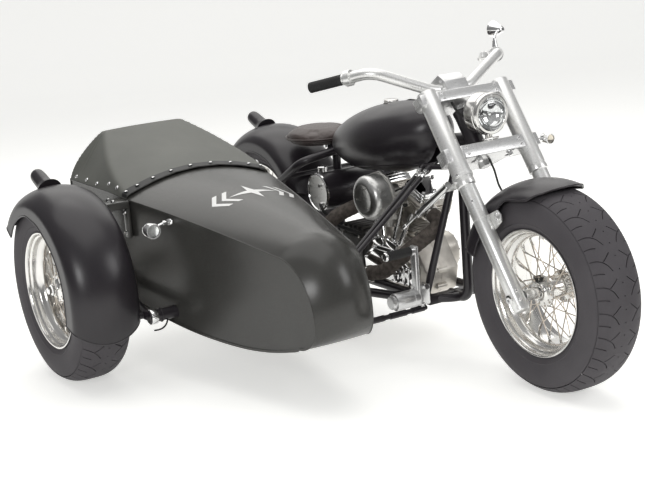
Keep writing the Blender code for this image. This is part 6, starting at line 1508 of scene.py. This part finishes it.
for side, label in ((1, "front"), (-1, "rear")):
    axis, cross = cylinder_axis(side), cylinder_cross(side)
    pitch = (HEAD_START - FIN_START) / FIN_COUNT
    profile = [(0.0, HEAD_START)]
    for i in range(FIN_COUNT):
        top = HEAD_START - i * pitch
        reach = FIN_REACH - (0.002 if i % 2 else 0.0)
        profile += [(reach - 0.0006, top), (reach, top - 0.0006), (reach, top - 0.0018),
                    (reach - 0.0006, top - 0.0024), (BARREL, top - 0.0030), (BARREL, top - pitch)]
    profile += [(BARREL, 0.1503), (0.0, 0.1503)]
    barrel = put(bmesh.new(), lathe(profile, 88), aim(axis), CRANK)
    shape(f"{label}_barrel", barrel, HEADS, "root", [f"{label}_cylinder"], 30)

    turn = Matrix.Rotation(side * LEAN, 3, "Y")
    head = put(bmesh.new(), block((0.138, 0.138, HEAD_DEPTH - 0.0006), 0.008, 3), turn,
               CRANK + axis * (HEAD_START + HEAD_DEPTH / 2))
    for i in range(6):
        level = HEAD_START + 0.0022 + i * 0.0080
        half = 0.078 if i < 5 else 0.074
        plate = prism([(x * half * (1 - 0.12 * (abs(x) == 1 and abs(y) == 1)),
                        y * half * (1 - 0.12 * (abs(x) == 1 and abs(y) == 1))) for x, y in
                       ((-1, -0.7), (-0.7, -1), (0.7, -1), (1, -0.7), (1, 0.7), (0.7, 1), (-0.7, 1),
                        (-1, 0.7))], 0.0030, 0.0006, 2)
        put(head, plate, turn, CRANK + axis * level)
    port = CRANK + axis * (HEAD_START + 0.0003 + 0.0225) + cross * 0.078 - LEFT * 0.035
    ring = lathe([(0.0, 0.0), (0.0330, 0.0), (0.0330, -0.012), (0.0, -0.012)], 48)
    put(head, ring, aim(cross), port)
    for hand in (-1, 1):
        hex_bolt(head, port + LEFT * 0.029 * hand, cross, 0.0050, 0.0060, 1)
    plug = CRANK + axis * (HEAD_START + 0.024) - LEFT * 0.078 + cross * 0.012
    rod(head, plug + LEFT * 0.004, plug - LEFT * 0.010, 0.0080, 6, material=1)
    rod(head, plug - LEFT * 0.010, plug - LEFT * 0.024, 0.0058, 18, 0.0048, 2)
    shape(f"{label}_head_finned", head, HEADS, "root", [f"{label}_head"], 30,
          (STEEL, RUBBER))

    at = HEAD_START + HEAD_DEPTH + 0.0003
    rocker = bmesh.new()
    for low, high, grow in ((0.0, 0.0120, 0.0), (0.0125, 0.0225, -0.0015),
                            (0.0230, 0.0350, -0.0040)):
        half_x, half_y = 0.058 + grow, 0.066 + grow
        corner = 0.014
        outline = []
        for cx, cy, start in ((1, 1, 0), (-1, 1, 90), (-1, -1, 180), (1, -1, 270)):
            for k in range(7):
                way = math.radians(start + 15 * k)
                outline.append((cx * (half_x - corner) + corner * math.cos(way),
                                cy * (half_y - corner) + corner * math.sin(way)))
        top_round = 0.0042 if high > 0.03 else 0.0010
        put(rocker, prism(outline, high - low, top_round, 3), turn,
            CRANK + axis * (at + (low + high) / 2))
    for x in (-0.040, 0.040):
        for y in (-0.047, 0.0, 0.047):
            cap_screw(rocker, CRANK + axis * (at + 0.0345) + cross * x + LEFT * y, axis, 0.0062,
                      0.0060)
    shape(f"{label}_rockers", rocker, CHROME, "root", [f"{label}_rocker_box"], 30)

gearbox = put(bmesh.new(), block((0.1897, 0.140, 0.170), 0.018, 5), None,
              CRANK + Vector((-0.28015, 0, 0.015)))
for x in (-0.335, -0.225):
    for z in (-0.045, 0.075):
        hex_bolt(gearbox, CRANK + Vector((x, -0.0695, z)), (0, -1, 0), 0.0060, 0.0070, 1)
lid = prism([(-0.072, -0.060), (0.072, -0.060), (0.072, 0.060), (-0.072, 0.060)], 0.010, 0.004, 3)
put(gearbox, lid, UPRIGHT, CRANK + Vector((-0.280, -0.0725, 0.015)))
for i in range(5):
    put(gearbox, block((0.004, 0.128, 0.012), 0.001, 2), None,
        CRANK + Vector((-0.340 + i * 0.030, 0, 0.104)))
shape("gearbox_cast", gearbox, DARK_CASE, "root", ["gearbox"], 30, (STEEL,))

primary_side = []
for i in range(72):
    turn = 2 * math.pi * i / 72
    offset = -0.300 if math.cos(turn) < 0 else 0.030
    primary_side.append((offset + 0.070 * math.cos(turn), 0.030 + 0.070 * math.sin(turn)))
primary = put(bmesh.new(), prism(primary_side, 0.075, 0.010, 5), UPRIGHT, CRANK + LEFT * 0.1078)
for x, z, radius in ((-0.285, 0.030, 0.050), (0.020, 0.030, 0.036)):
    derby = lathe([(0.0, 0.0065), (radius * 0.8, 0.0060), (radius, 0.0030), (radius, -0.002),
                   (0.0, -0.002)], 64)
    put(primary, derby, aim((0, 1, 0)), CRANK + Vector((x, 0.1453, z)))
    for i in range(5):
        turn = 2 * math.pi * i / 5
        cap_screw(primary, CRANK + Vector((x + radius * 0.84 * math.cos(turn), 0.1498,
                                           z + radius * 0.84 * math.sin(turn))), (0, 1, 0), 0.0036,
                  0.0030, 1)
for i in range(14):
    x, z = primary_side[(i * 5 + 2) % 72]
    cap_screw(primary, CRANK + Vector((x * 0.965 - 0.004, 0.1448, 0.030 + (z - 0.030) * 0.90)),
              (0, 1, 0), 0.0042, 0.0035, 1)
shape("primary_case", primary, HEADS, "root", ["primary_cover"], 30, (CHROME,))


# The air cleaner: a deep spun drum, its face let in below a broad rounded shoulder and left bare,
# on a ten-sided back plate, with the carburettor and its float bowl behind.
SPUN = finish("spun_aluminium", (0.52, 0.52, 0.51), (0.62, 0.62, 0.61), (0.26, 0.38), 1.0, fine=500,
              stretch=(0.04, 1, 1), depth=0.00002)
DRUM = CRANK + Vector((0.050, -0.225, 0.285))
drum = lathe([(0.0, -0.0010), (0.0470, -0.0010), (0.0480, -0.0003), (0.0490, 0.0),
              (0.0560, -0.0008), (0.0640, -0.0035), (0.0710, -0.0085), (0.0760, -0.0155),
              (0.0783, -0.0230), (0.0790, -0.0320), (0.0790, -0.0690), (0.0780, -0.0700),
              (0.0, -0.0700)], 128)
for i in range(3):
    turn = math.radians(70 + 120 * i)
    cap_screw(drum, (math.cos(turn) * 0.037, math.sin(turn) * 0.037, -0.0012), (0, 0, 1), 0.0030,
              0.0016, 1)
drum = put(bmesh.new(), drum, aim((0, -1, 0)), DRUM)
shape("air_drum", drum, SPUN, "root", ["air_cleaner"], 40, (STEEL,))
back = DRUM + LEFT * 0.0703
ten = [(0.087 * math.cos(2 * math.pi * (i + 0.5) / 10),
        0.087 * math.sin(2 * math.pi * (i + 0.5) / 10)) for i in range(10)]
plate = put(bmesh.new(), prism(ten, 0.012, 0.0022, 3), UPRIGHT, back + LEFT * 0.006)
bridge_y = -0.0833
throat_end = Vector((DRUM.x, bridge_y, DRUM.z))
tube(plate, [back + LEFT * 0.010, back + LEFT * 0.022, back + LEFT * 0.024, back + LEFT * 0.044,
             back + LEFT * 0.046, throat_end], [0.030, 0.030, 0.0255, 0.0255, 0.030, 0.030], 40)
bowl_at = (back + throat_end) / 2 - Vector((0, 0, 0.059))
put(plate, block((0.052, 0.042, 0.084), 0.006, 3), None, bowl_at + Vector((0, 0, 0.008)))
put(plate, block((0.056, 0.046, 0.008), 0.002, 3), None, bowl_at - Vector((0, 0, 0.010)))
rod(plate, bowl_at - Vector((0, 0, 0.034)), bowl_at - Vector((0, 0, 0.058)), 0.019, 32, 0.012)
for x in (-0.022, 0.022):
    cap_screw(plate, bowl_at + Vector((x, -0.0190, -0.006)), (0, 0, 1), 0.0035, 0.0040, 1)
for side in (-1, 1):
    head_spot = CRANK + cylinder_axis(side) * (HEAD_START + 0.0228)
    put(plate, block((0.030, 0.010, 0.022), 0.002, 2), None,
        (head_spot.x, bridge_y, head_spot.z))
    hex_bolt(plate, (head_spot.x, bridge_y - 0.005, head_spot.z), (0, -1, 0), 0.0070, 0.0080, 1)
put(plate, block((0.200, 0.008, 0.018), 0.002, 2), None, (CRANK.x, bridge_y, CRANK.z + 0.252))
cable = rounded([back + Vector((0.018, 0.030, 0.004)), back + Vector((0.060, 0.032, 0.020)),
                 back + Vector((0.130, 0.045, 0.050)), (1.180, -0.050, 0.690)], 0.06, 10)
tube(plate, cable, 0.0034, 12, 2)
shape("air_back_plate", plate, CAST, "root", ["air_cleaner_back"], 35,
      (STEEL, RUBBER))


# The oil tank: a black drum across the frame behind the engine, with a bright ring round each end
# disc, a ribbed filler cap on top and two hose fittings.
OIL = Vector((0.530, 0, 0.505))
oil = lathe([(0.0700, 0.1440), (0.0705, 0.1400), (0.0705, -0.1400), (0.0700, -0.1440)], 96)
for hand in (-1, 1):
    ring = lathe([(0.0, 0.1470), (0.0600, 0.1470), (0.0640, 0.1478)], 96, material=2)
    trim = lathe([(0.0640, 0.1478), (0.0655, 0.1500), (0.0690, 0.1500), (0.0715, 0.1480),
                  (0.0718, 0.1420), (0.0703, 0.1400)], 96, material=1)
    for piece in (ring, trim):
        bmesh.ops.scale(piece, vec=(1, 1, hand), verts=piece.verts)
        bmesh.ops.recalc_face_normals(piece, faces=piece.faces)
        put(oil, piece)
oil = put(bmesh.new(), oil, TURN_TO_Y, OIL)
ribs = []
for i in range(5):
    z = 0.074 + i * 0.004
    ribs += [(0.0175, z), (0.0185, z + 0.0008), (0.0185, z + 0.0024), (0.0175, z + 0.0032)]
filler = lathe([(0.0, 0.0960), (0.0150, 0.0955), *ribs[::-1], (0.0150, 0.066), (0.0, 0.066)], 40,
               material=1)
put(oil, filler, None, OIL + LEFT * -0.120)
for y, z in ((-0.150, -0.040), (-0.150, 0.030)):
    rod(oil, OIL + Vector((0.030, y + 0.006, z)), OIL + Vector((0.030, y - 0.010, z)), 0.0070, 6,
        material=1)
hose = rounded([OIL + Vector((0.030, -0.158, -0.040)), OIL + Vector((0.050, -0.162, -0.060)),
                OIL + Vector((0.080, -0.120, -0.120)), (0.700, -0.060, 0.350)], 0.03, 8)
tube(oil, hose, 0.0060, 14, 3)
shape("oil_drum", oil, SATIN_BLACK, "root", ["oil_tank"], 35, (CHROME, SPUN, RUBBER))


# The exhausts: two steel pipes wound with woven heat wrap, its turns laid over each other and held
# by steel bands, with bare open ends.
PIPE = 0.0268
WRAP_PITCH, WRAP_RELIEF = 0.021, 0.0032
WRAPPED = finish("woven_pipe_wrap", (0.056, 0.047, 0.041), (0.150, 0.128, 0.112), (0.80, 0.95),
                 patch=60, fine=1500, depth=0.0006)
FRONT_PIPE = ((0.200, -0.140, 0.115), (0.085, -0.180, 0.020), (-0.055, -0.205, -0.008))
REAR_PIPE = ((-0.245, -0.165, 0.165), (-0.300, -0.210, 0.075), (-0.455, -0.210, 0.057))


def even_path(path, step):
    """The path again with a point every step along it."""
    path = [Vector(point) for point in path]
    result, carry = [path[0]], 0.0
    for a, b in zip(path, path[1:]):
        length = (b - a).length
        at = step - carry
        while at <= length:
            result.append(a.lerp(b, at / length))
            at += step
        carry = length - (at - step)
    return result


def wound_pipe(bm, path, sides=40):
    step = 0.0018
    path = even_path(path, step)
    before = len(bm.verts)
    tube(bm, path, PIPE, sides)
    bm.verts.ensure_lookup_table()
    for i, point in enumerate(path):
        for j in range(sides):
            vert = bm.verts[before + i * sides + j]
            lap = (i * step / WRAP_PITCH + j / sides) % 1.0
            rise = min(1.0, lap / 0.10) - 0.55 * lap
            wrinkle = noise.noise(vert.co * 160) * 0.0005
            vert.co += (vert.co - point).normalized() * ((rise - 0.85) * WRAP_RELIEF + wrinkle)


for side, label, places, bend in ((1, "front", FRONT_PIPE, 0.100), (-1, "rear", REAR_PIPE, 0.080)):
    axis, cross = cylinder_axis(side), cylinder_cross(side)
    port = CRANK + axis * (HEAD_START + 0.0228) + cross * 0.0783 - LEFT * 0.035
    route = [port, port + cross * 0.076] + [CRANK + Vector(place) for place in places]
    route.append(Vector((-0.100, route[-1].y, route[-1].z)))
    path = rounded(route, bend, 16)
    pipe = bmesh.new()
    wound_pipe(pipe, even_path(path, 0.004)[:-12])
    tube(pipe, path[-2:], 0.0215, 40, 1, False)
    end, way = path[-1], (path[-1] - path[-2]).normalized()
    lip = lathe([(0.0215, 0.0), (0.0190, 0.0), (0.0190, -0.200), (0.0215, -0.200)], 44, material=1)
    put(pipe, lip, aim(way), end)
    for along in (0.010, 0.30, 0.62, 0.93):
        spots = even_path(path, 0.004)
        spot = int(along * (len(spots) - 14)) + 1
        here, after = spots[spot], spots[spot + 1]
        band = lathe([(0.0270, 0.0035), (0.0284, 0.0035), (0.0284, -0.0035), (0.0270, -0.0035)], 40,
                     closed=True, material=1)
        put(pipe, band, aim(after - here), here)
        out = (after - here).cross(Vector((0, 1, 0))).normalized()
        rod(pipe, here + out * 0.0297 - LEFT * 0.006, here + out * 0.0297 + LEFT * 0.008, 0.0032,
            12, material=1)
    shape(f"{label}_pipe_wound", pipe, WRAPPED, "root", [f"{label}_exhaust"], 40,
          (STEEL,))


# The foot controls: a billet block and plate on each side, with a rubber peg ended by a chrome nut,
# a master cylinder's barrel and a long low pedal bar.
for side, label in ((-1, "right"), (1, "left")):
    out = LEFT * side
    base = Vector((1.150, side * 0.1163, 0))
    control = put(bmesh.new(), block((0.045, 0.050, 0.070), 0.004, 3), None,
                  base + out * 0.025 + Vector((0, 0, 0.235)))
    plate_place = base + out * 0.055 + Vector((0.020, 0, 0))
    put(control, block((0.030, 0.016, 0.190), 0.0045, 4), None, plate_place + Vector((0, 0, 0.320)))
    for z in (0.238, 0.268, 0.388):
        cap_screw(control, plate_place + out * 0.0078 + Vector((0.0, 0, z)), out, 0.0055, 0.0045, 1)
    low = plate_place + Vector((0, 0, 0.235)) + out * 0.004
    master = lathe([(0.0, 0.1058), (0.0200, 0.1058), (0.0225, 0.1040), (0.0225, 0.0920),
                    (0.0290, 0.0900), (0.0300, 0.0880), (0.0300, 0.0240), (0.0285, 0.0225),
                    (0.0285, 0.0200), (0.0300, 0.0185), (0.0300, 0.0), (0.0, 0.0)], 56)
    put(control, master, aim(out), low)
    peg_root = plate_place + Vector((0, 0, 0.398))
    rod(control, peg_root + out * 0.006, peg_root + out * 0.018, 0.0165, 32)
    rubber = [(0.0, 0.1080), (0.0150, 0.1080), (0.0160, 0.1065)]
    for i in range(14):
        z = 0.1035 - i * 0.0060
        rubber += [(0.0160, z), (0.0152, z - 0.0008), (0.0152, z - 0.0022), (0.0160, z - 0.0030)]
    rubber += [(0.0160, 0.0190), (0.0, 0.0190)]
    put(control, lathe(rubber, 36, material=2), aim(out), peg_root)
    nut = lathe([(0.0, 0.1250), (0.0080, 0.1245), (0.0135, 0.1225), (0.0158, 0.1180),
                 (0.0158, 0.1140), (0.0120, 0.1100), (0.0090, 0.1080), (0.0, 0.1080)], 36,
                material=1)
    put(control, nut, aim(out), peg_root)
    shaft = base + out * 0.016 + Vector((0.015, 0, 0.1885))
    rod(control, shaft, shaft + out * 0.240, 0.0085, 24, material=3)
    for near, far in ((0.010, 0.060), (0.085, 0.150), (0.175, 0.232)):
        rod(control, shaft + out * near, shaft + out * far, 0.0110, 24, material=3)
    rod(control, shaft + out * 0.232, shaft + out * 0.240, 0.0110, 6, material=1)
    put(control, block((0.016, 0.016, 0.050), 0.003, 3), None,
        shaft + out * 0.016 + Vector((0, 0, 0.0232)))
    hex_bolt(control, shaft + out * 0.016 + Vector((0.008, 0, 0.0150)), (1, 0, 0), 0.0055, 0.0065,
             1)
    rod(control, base + Vector((0.015, 0, 0.265)) + out * 0.020,
        base + Vector((0.035, 0, 0.265)) + out * 0.020, 0.0085, 20, material=1)
    shape(f"{label}_foot_set", control, BILLET, "root",
          [f"{label}_foot_control"], 30, (CHROME, RUBBER, SATIN_BLACK))


# The saddle: a round pad of brown leather with a welt round its rim, blown up by a cloth
# simulation, on a black hinge with a chrome bolt over the spine.
SEAT_AT = Vector((0.330, 0, 0.682))
SEAT_TURN = Matrix.Rotation(math.radians(-1), 3, "Y")
SEAT_ACROSS = 0.93
PAD_PROFILE = ((0.0, 0.0295), (0.0400, 0.0292), (0.0850, 0.0270), (0.1120, 0.0225),
               (0.1265, 0.0155), (0.1325, 0.0070), (0.1330, 0.0), (0.1325, -0.0080),
               (0.1280, -0.0180), (0.1150, -0.0265), (0.0800, -0.0295), (0.0, -0.0295))
PAD_SWELL = 0.0045


def swollen(bm, pressure, cap, voxel):
    """The closed shape blown up by a cloth simulation, no point moving further than the cap."""
    mesh = bpy.data.meshes.new("pad_core")
    bm.to_mesh(mesh)
    bm.free()
    core = bpy.data.objects.new("pad_core", mesh)
    bpy.context.scene.collection.objects.link(core)
    remesh = core.modifiers.new("remesh", "REMESH")
    remesh.mode = "VOXEL"
    remesh.voxel_size = voxel
    bpy.context.view_layer.update()
    even = evaluated_mesh(core)
    core.modifiers.clear()
    core.data = even
    rest = [vert.co.copy() for vert in even.vertices]
    cloth = core.modifiers.new("cloth", "CLOTH")
    cloth.settings.use_pressure = True
    cloth.settings.uniform_pressure_force = pressure
    cloth.settings.effector_weights.gravity = 0
    for step in range(1, 21):
        bpy.context.scene.frame_set(step)
    blown = evaluated_mesh(core)
    places = [vert.co.copy() for vert in blown.vertices]
    bpy.context.scene.frame_set(1)
    bpy.data.objects.remove(core)
    result = bmesh.new()
    result.from_mesh(even)
    result.verts.ensure_lookup_table()
    for vert, start, place in zip(result.verts, rest, places):
        move = place - start
        vert.co = start + move * min(1.0, cap / max(move.length, 1e-9))
    bmesh.ops.smooth_vert(result, verts=result.verts, factor=0.5, use_axis_x=True, use_axis_y=True,
                          use_axis_z=True)
    bmesh.ops.subdivide_edges(result, edges=result.edges, cuts=1, use_grid_fill=True, smooth=0.6)
    return result


pad = lathe(PAD_PROFILE, 64)
bmesh.ops.scale(pad, vec=(1, SEAT_ACROSS, 1), verts=pad.verts)
pad = swollen(pad, 4.0, PAD_SWELL, 0.005)
pad = put(bmesh.new(), pad, SEAT_TURN, SEAT_AT)
saddle = shape("saddle_pad", pad, LEATHER, "root", ["seat"], 60)
welt = bmesh.new()
for level, reach, gauge in ((-0.0030, 0.1368, 0.0028), (-0.0100, 0.1352, 0.0020)):
    loop = [(math.cos(t) * reach, math.sin(t) * reach * SEAT_ACROSS, level)
            for t in (2 * math.pi * i / 120 for i in range(120))]
    bead(welt, loop, gauge, 10)
welt = put(bmesh.new(), welt, SEAT_TURN, SEAT_AT)
put(welt, block((0.120, 0.050, 0.006), 0.002, 2, 1), SEAT_TURN,
    SEAT_AT + Vector((0.035, 0, -0.0330)))
for y in (-0.024, 0.024):
    put(welt, block((0.014, 0.006, 0.030), 0.002, 2, 1), None, (0.425, y, 0.647))
rod(welt, (0.425, -0.034, 0.652), (0.425, 0.034, 0.652), 0.0055, 20, material=2)
hex_bolt(welt, (0.425, -0.030, 0.652), (0, -1, 0), 0.0085, 0.008, 2)
shape("saddle_welt", welt, LEATHER, "root", (), 40, (SATIN_BLACK, CHROME))


# The tonneau cover: one sheet of grey vinyl held by snaps, stretched from the deck over the seat
# back, with a dark hem along its front edge.
COVER_REAR, COVER_LENGTH = 0.030, 0.485
COVER_LIE = 0.0030
COVER_SHEET = 0.0012
COVER_FOOT, COVER_BASE, COVER_RISE = 0.467, 0.590, 0.195
SHOULDER_IN, EDGE_SAG = 0.118, 0.058
HEM_STUDS_X = 0.500
COVER_PROFILE = ((1.0, 0.467), (0.97, 0.49), (0.56, 0.745), (0.20, 0.985), (0.144, 1.0),
                 (0.09, 0.97), (0.02, 0.56), (0.0, 0.40))
DARK_VINYL = finish("dark_hem_vinyl", (0.020, 0.020, 0.020), (0.030, 0.030, 0.029), (0.45, 0.55),
                    fine=900, depth=0.0002)


def deck_top(x, y):
    share = max(-1.0, min(1.0, (y - BODY_CENTRE) / body_half(x)))
    return deck_height(x) + DECK_CROWN * (1 - share * share)


def cover_row(along, rise):
    """One line of the sheet across the body, from its right edge to its left one."""
    x = COVER_REAR + COVER_LENGTH * along
    lift = max(0.0, rise - COVER_FOOT) / (1 - COVER_FOOT)
    shoulder = body_half(x) - 0.002 - SHOULDER_IN * lift ** 1.7
    edge = body_half(x) - 0.001
    top = COVER_BASE + COVER_RISE * rise
    sag = EDGE_SAG * (1 - lift) * (rise > 0)
    side = [(edge, deck_height(x) + COVER_LIE), (shoulder, top - sag)]
    flat = [Vector((0, y, z)) for y, z in side]
    crest = [Vector((0, shoulder * s, top - sag * s * s + 0.004 * lift * (1 - s * s)))
             for s in (0.9, 0.6, 0.3, 0.0)]
    half = rounded(flat + crest[:1], 0.018, 8) + crest[1:]
    spaced = even_count(half, 26)
    row = [Vector((x, BODY_CENTRE - p.y, p.z)) for p in spaced]
    row += [Vector((x, BODY_CENTRE + p.y, p.z)) for p in reversed(spaced[:-1])]
    for point in row:
        point.z = max(point.z, deck_top(x, point.y) + COVER_LIE)
    return row


def even_count(path, count):
    """The path again as count evenly spaced points."""
    runs = [0.0]
    for a, b in zip(path, path[1:]):
        runs.append(runs[-1] + (b - a).length)
    result, k = [], 0
    for i in range(count):
        at = runs[-1] * i / (count - 1)
        while k < len(runs) - 2 and runs[k + 1] < at:
            k += 1
        result.append(path[k].lerp(path[k + 1], (at - runs[k]) / max(runs[k + 1] - runs[k], 1e-9)))
    return result


profile = curve_through(COVER_PROFILE, 12)
top_rows = [cover_row(point.x, point.y) for point in profile]
for i, row in enumerate(top_rows):
    for j, point in enumerate(row):
        point.z += 0.0012 * noise.noise(Vector((point.x * 9, point.y * 9, 3.0)))
        point.z = max(point.z, deck_top(point.x, point.y) + COVER_LIE * 0.8)
under = [[point - Vector((0, 0, COVER_SHEET)) for point in row] for row in top_rows]
cover = bmesh.new()
shell(cover, top_rows, under)
bmesh.ops.recalc_face_normals(cover, faces=cover.faces)
middle = len(top_rows[0]) // 2
along = sum((row[middle] - after[middle]).length for row, after in zip(top_rows, top_rows[1:]))
tonneau = shape("tonneau_sheet", cover, VINYL, "root", ["tonneau_cover"], 50)

hem = bmesh.new()
front = top_rows[0]
hem_rows = [[point + Vector((0.0040, 0, -0.0006)) for point in front],
            [point + Vector((0.0030, 0, 0.0016)) for point in front]]
hem_rows += [[point + Vector((0, 0, 0.0019)) for point in top_rows[i]] for i in (4, 8, 12, 13)]
for row in hem_rows[1:]:
    for point in row:
        point.z = max(point.z, deck_top(point.x, point.y) + COVER_LIE + 0.0010)
shell(hem, hem_rows, [[point - Vector((0, 0, 0.0012)) for point in row] for row in hem_rows])
bmesh.ops.recalc_face_normals(hem, faces=hem.faces)
stud = lathe([(0.0, 0.0040), (0.0040, 0.0036), (0.0066, 0.0024), (0.0075, 0.0008), (0.0075, 0.0),
              (0.0, 0.0)], 20, material=1)
held = bpy.data.meshes.new("stud")
stud.to_mesh(held)
stud.free()
spots = []
for share in (-0.955, -0.80, -0.58, -0.33, -0.06, 0.22, 0.50, 0.76, 0.93):
    spots.append((HEM_STUDS_X, BODY_CENTRE + body_half(HEM_STUDS_X) * share, Vector((-0.20, 0, 1))))
for hand in (-1, 1):
    for x in (0.075, 0.170, 0.270, 0.370, 0.450):
        spots.append((x, BODY_CENTRE + hand * (body_half(x) - 0.010),
                      Vector((0, hand * 0.75, 0.66))))
for share in (-0.72, -0.36, 0.0, 0.36, 0.72):
    spots.append((0.036, BODY_CENTRE + BODY_HALF * share, Vector((-0.8, 0, 0.6))))


def nearest_on_cover(x, y):
    return min((point for row in top_rows for point in row),
               key=lambda point: (point.x - x) ** 2 + (point.y - y) ** 2)


for x, y, out in spots:
    piece = bmesh.new()
    piece.from_mesh(held)
    place = nearest_on_cover(x, y) + out.normalized() * 0.0010
    if x == HEM_STUDS_X:
        place = Vector((place.x, y, place.z + 0.0012))
    put(hem, piece, aim(out), place)
bpy.data.meshes.remove(held)
trim = shape("tonneau_hem", hem, DARK_VINYL, "root", (), 40, (CHROME, VINYL))


dress(RUBBER, "brake_hose")
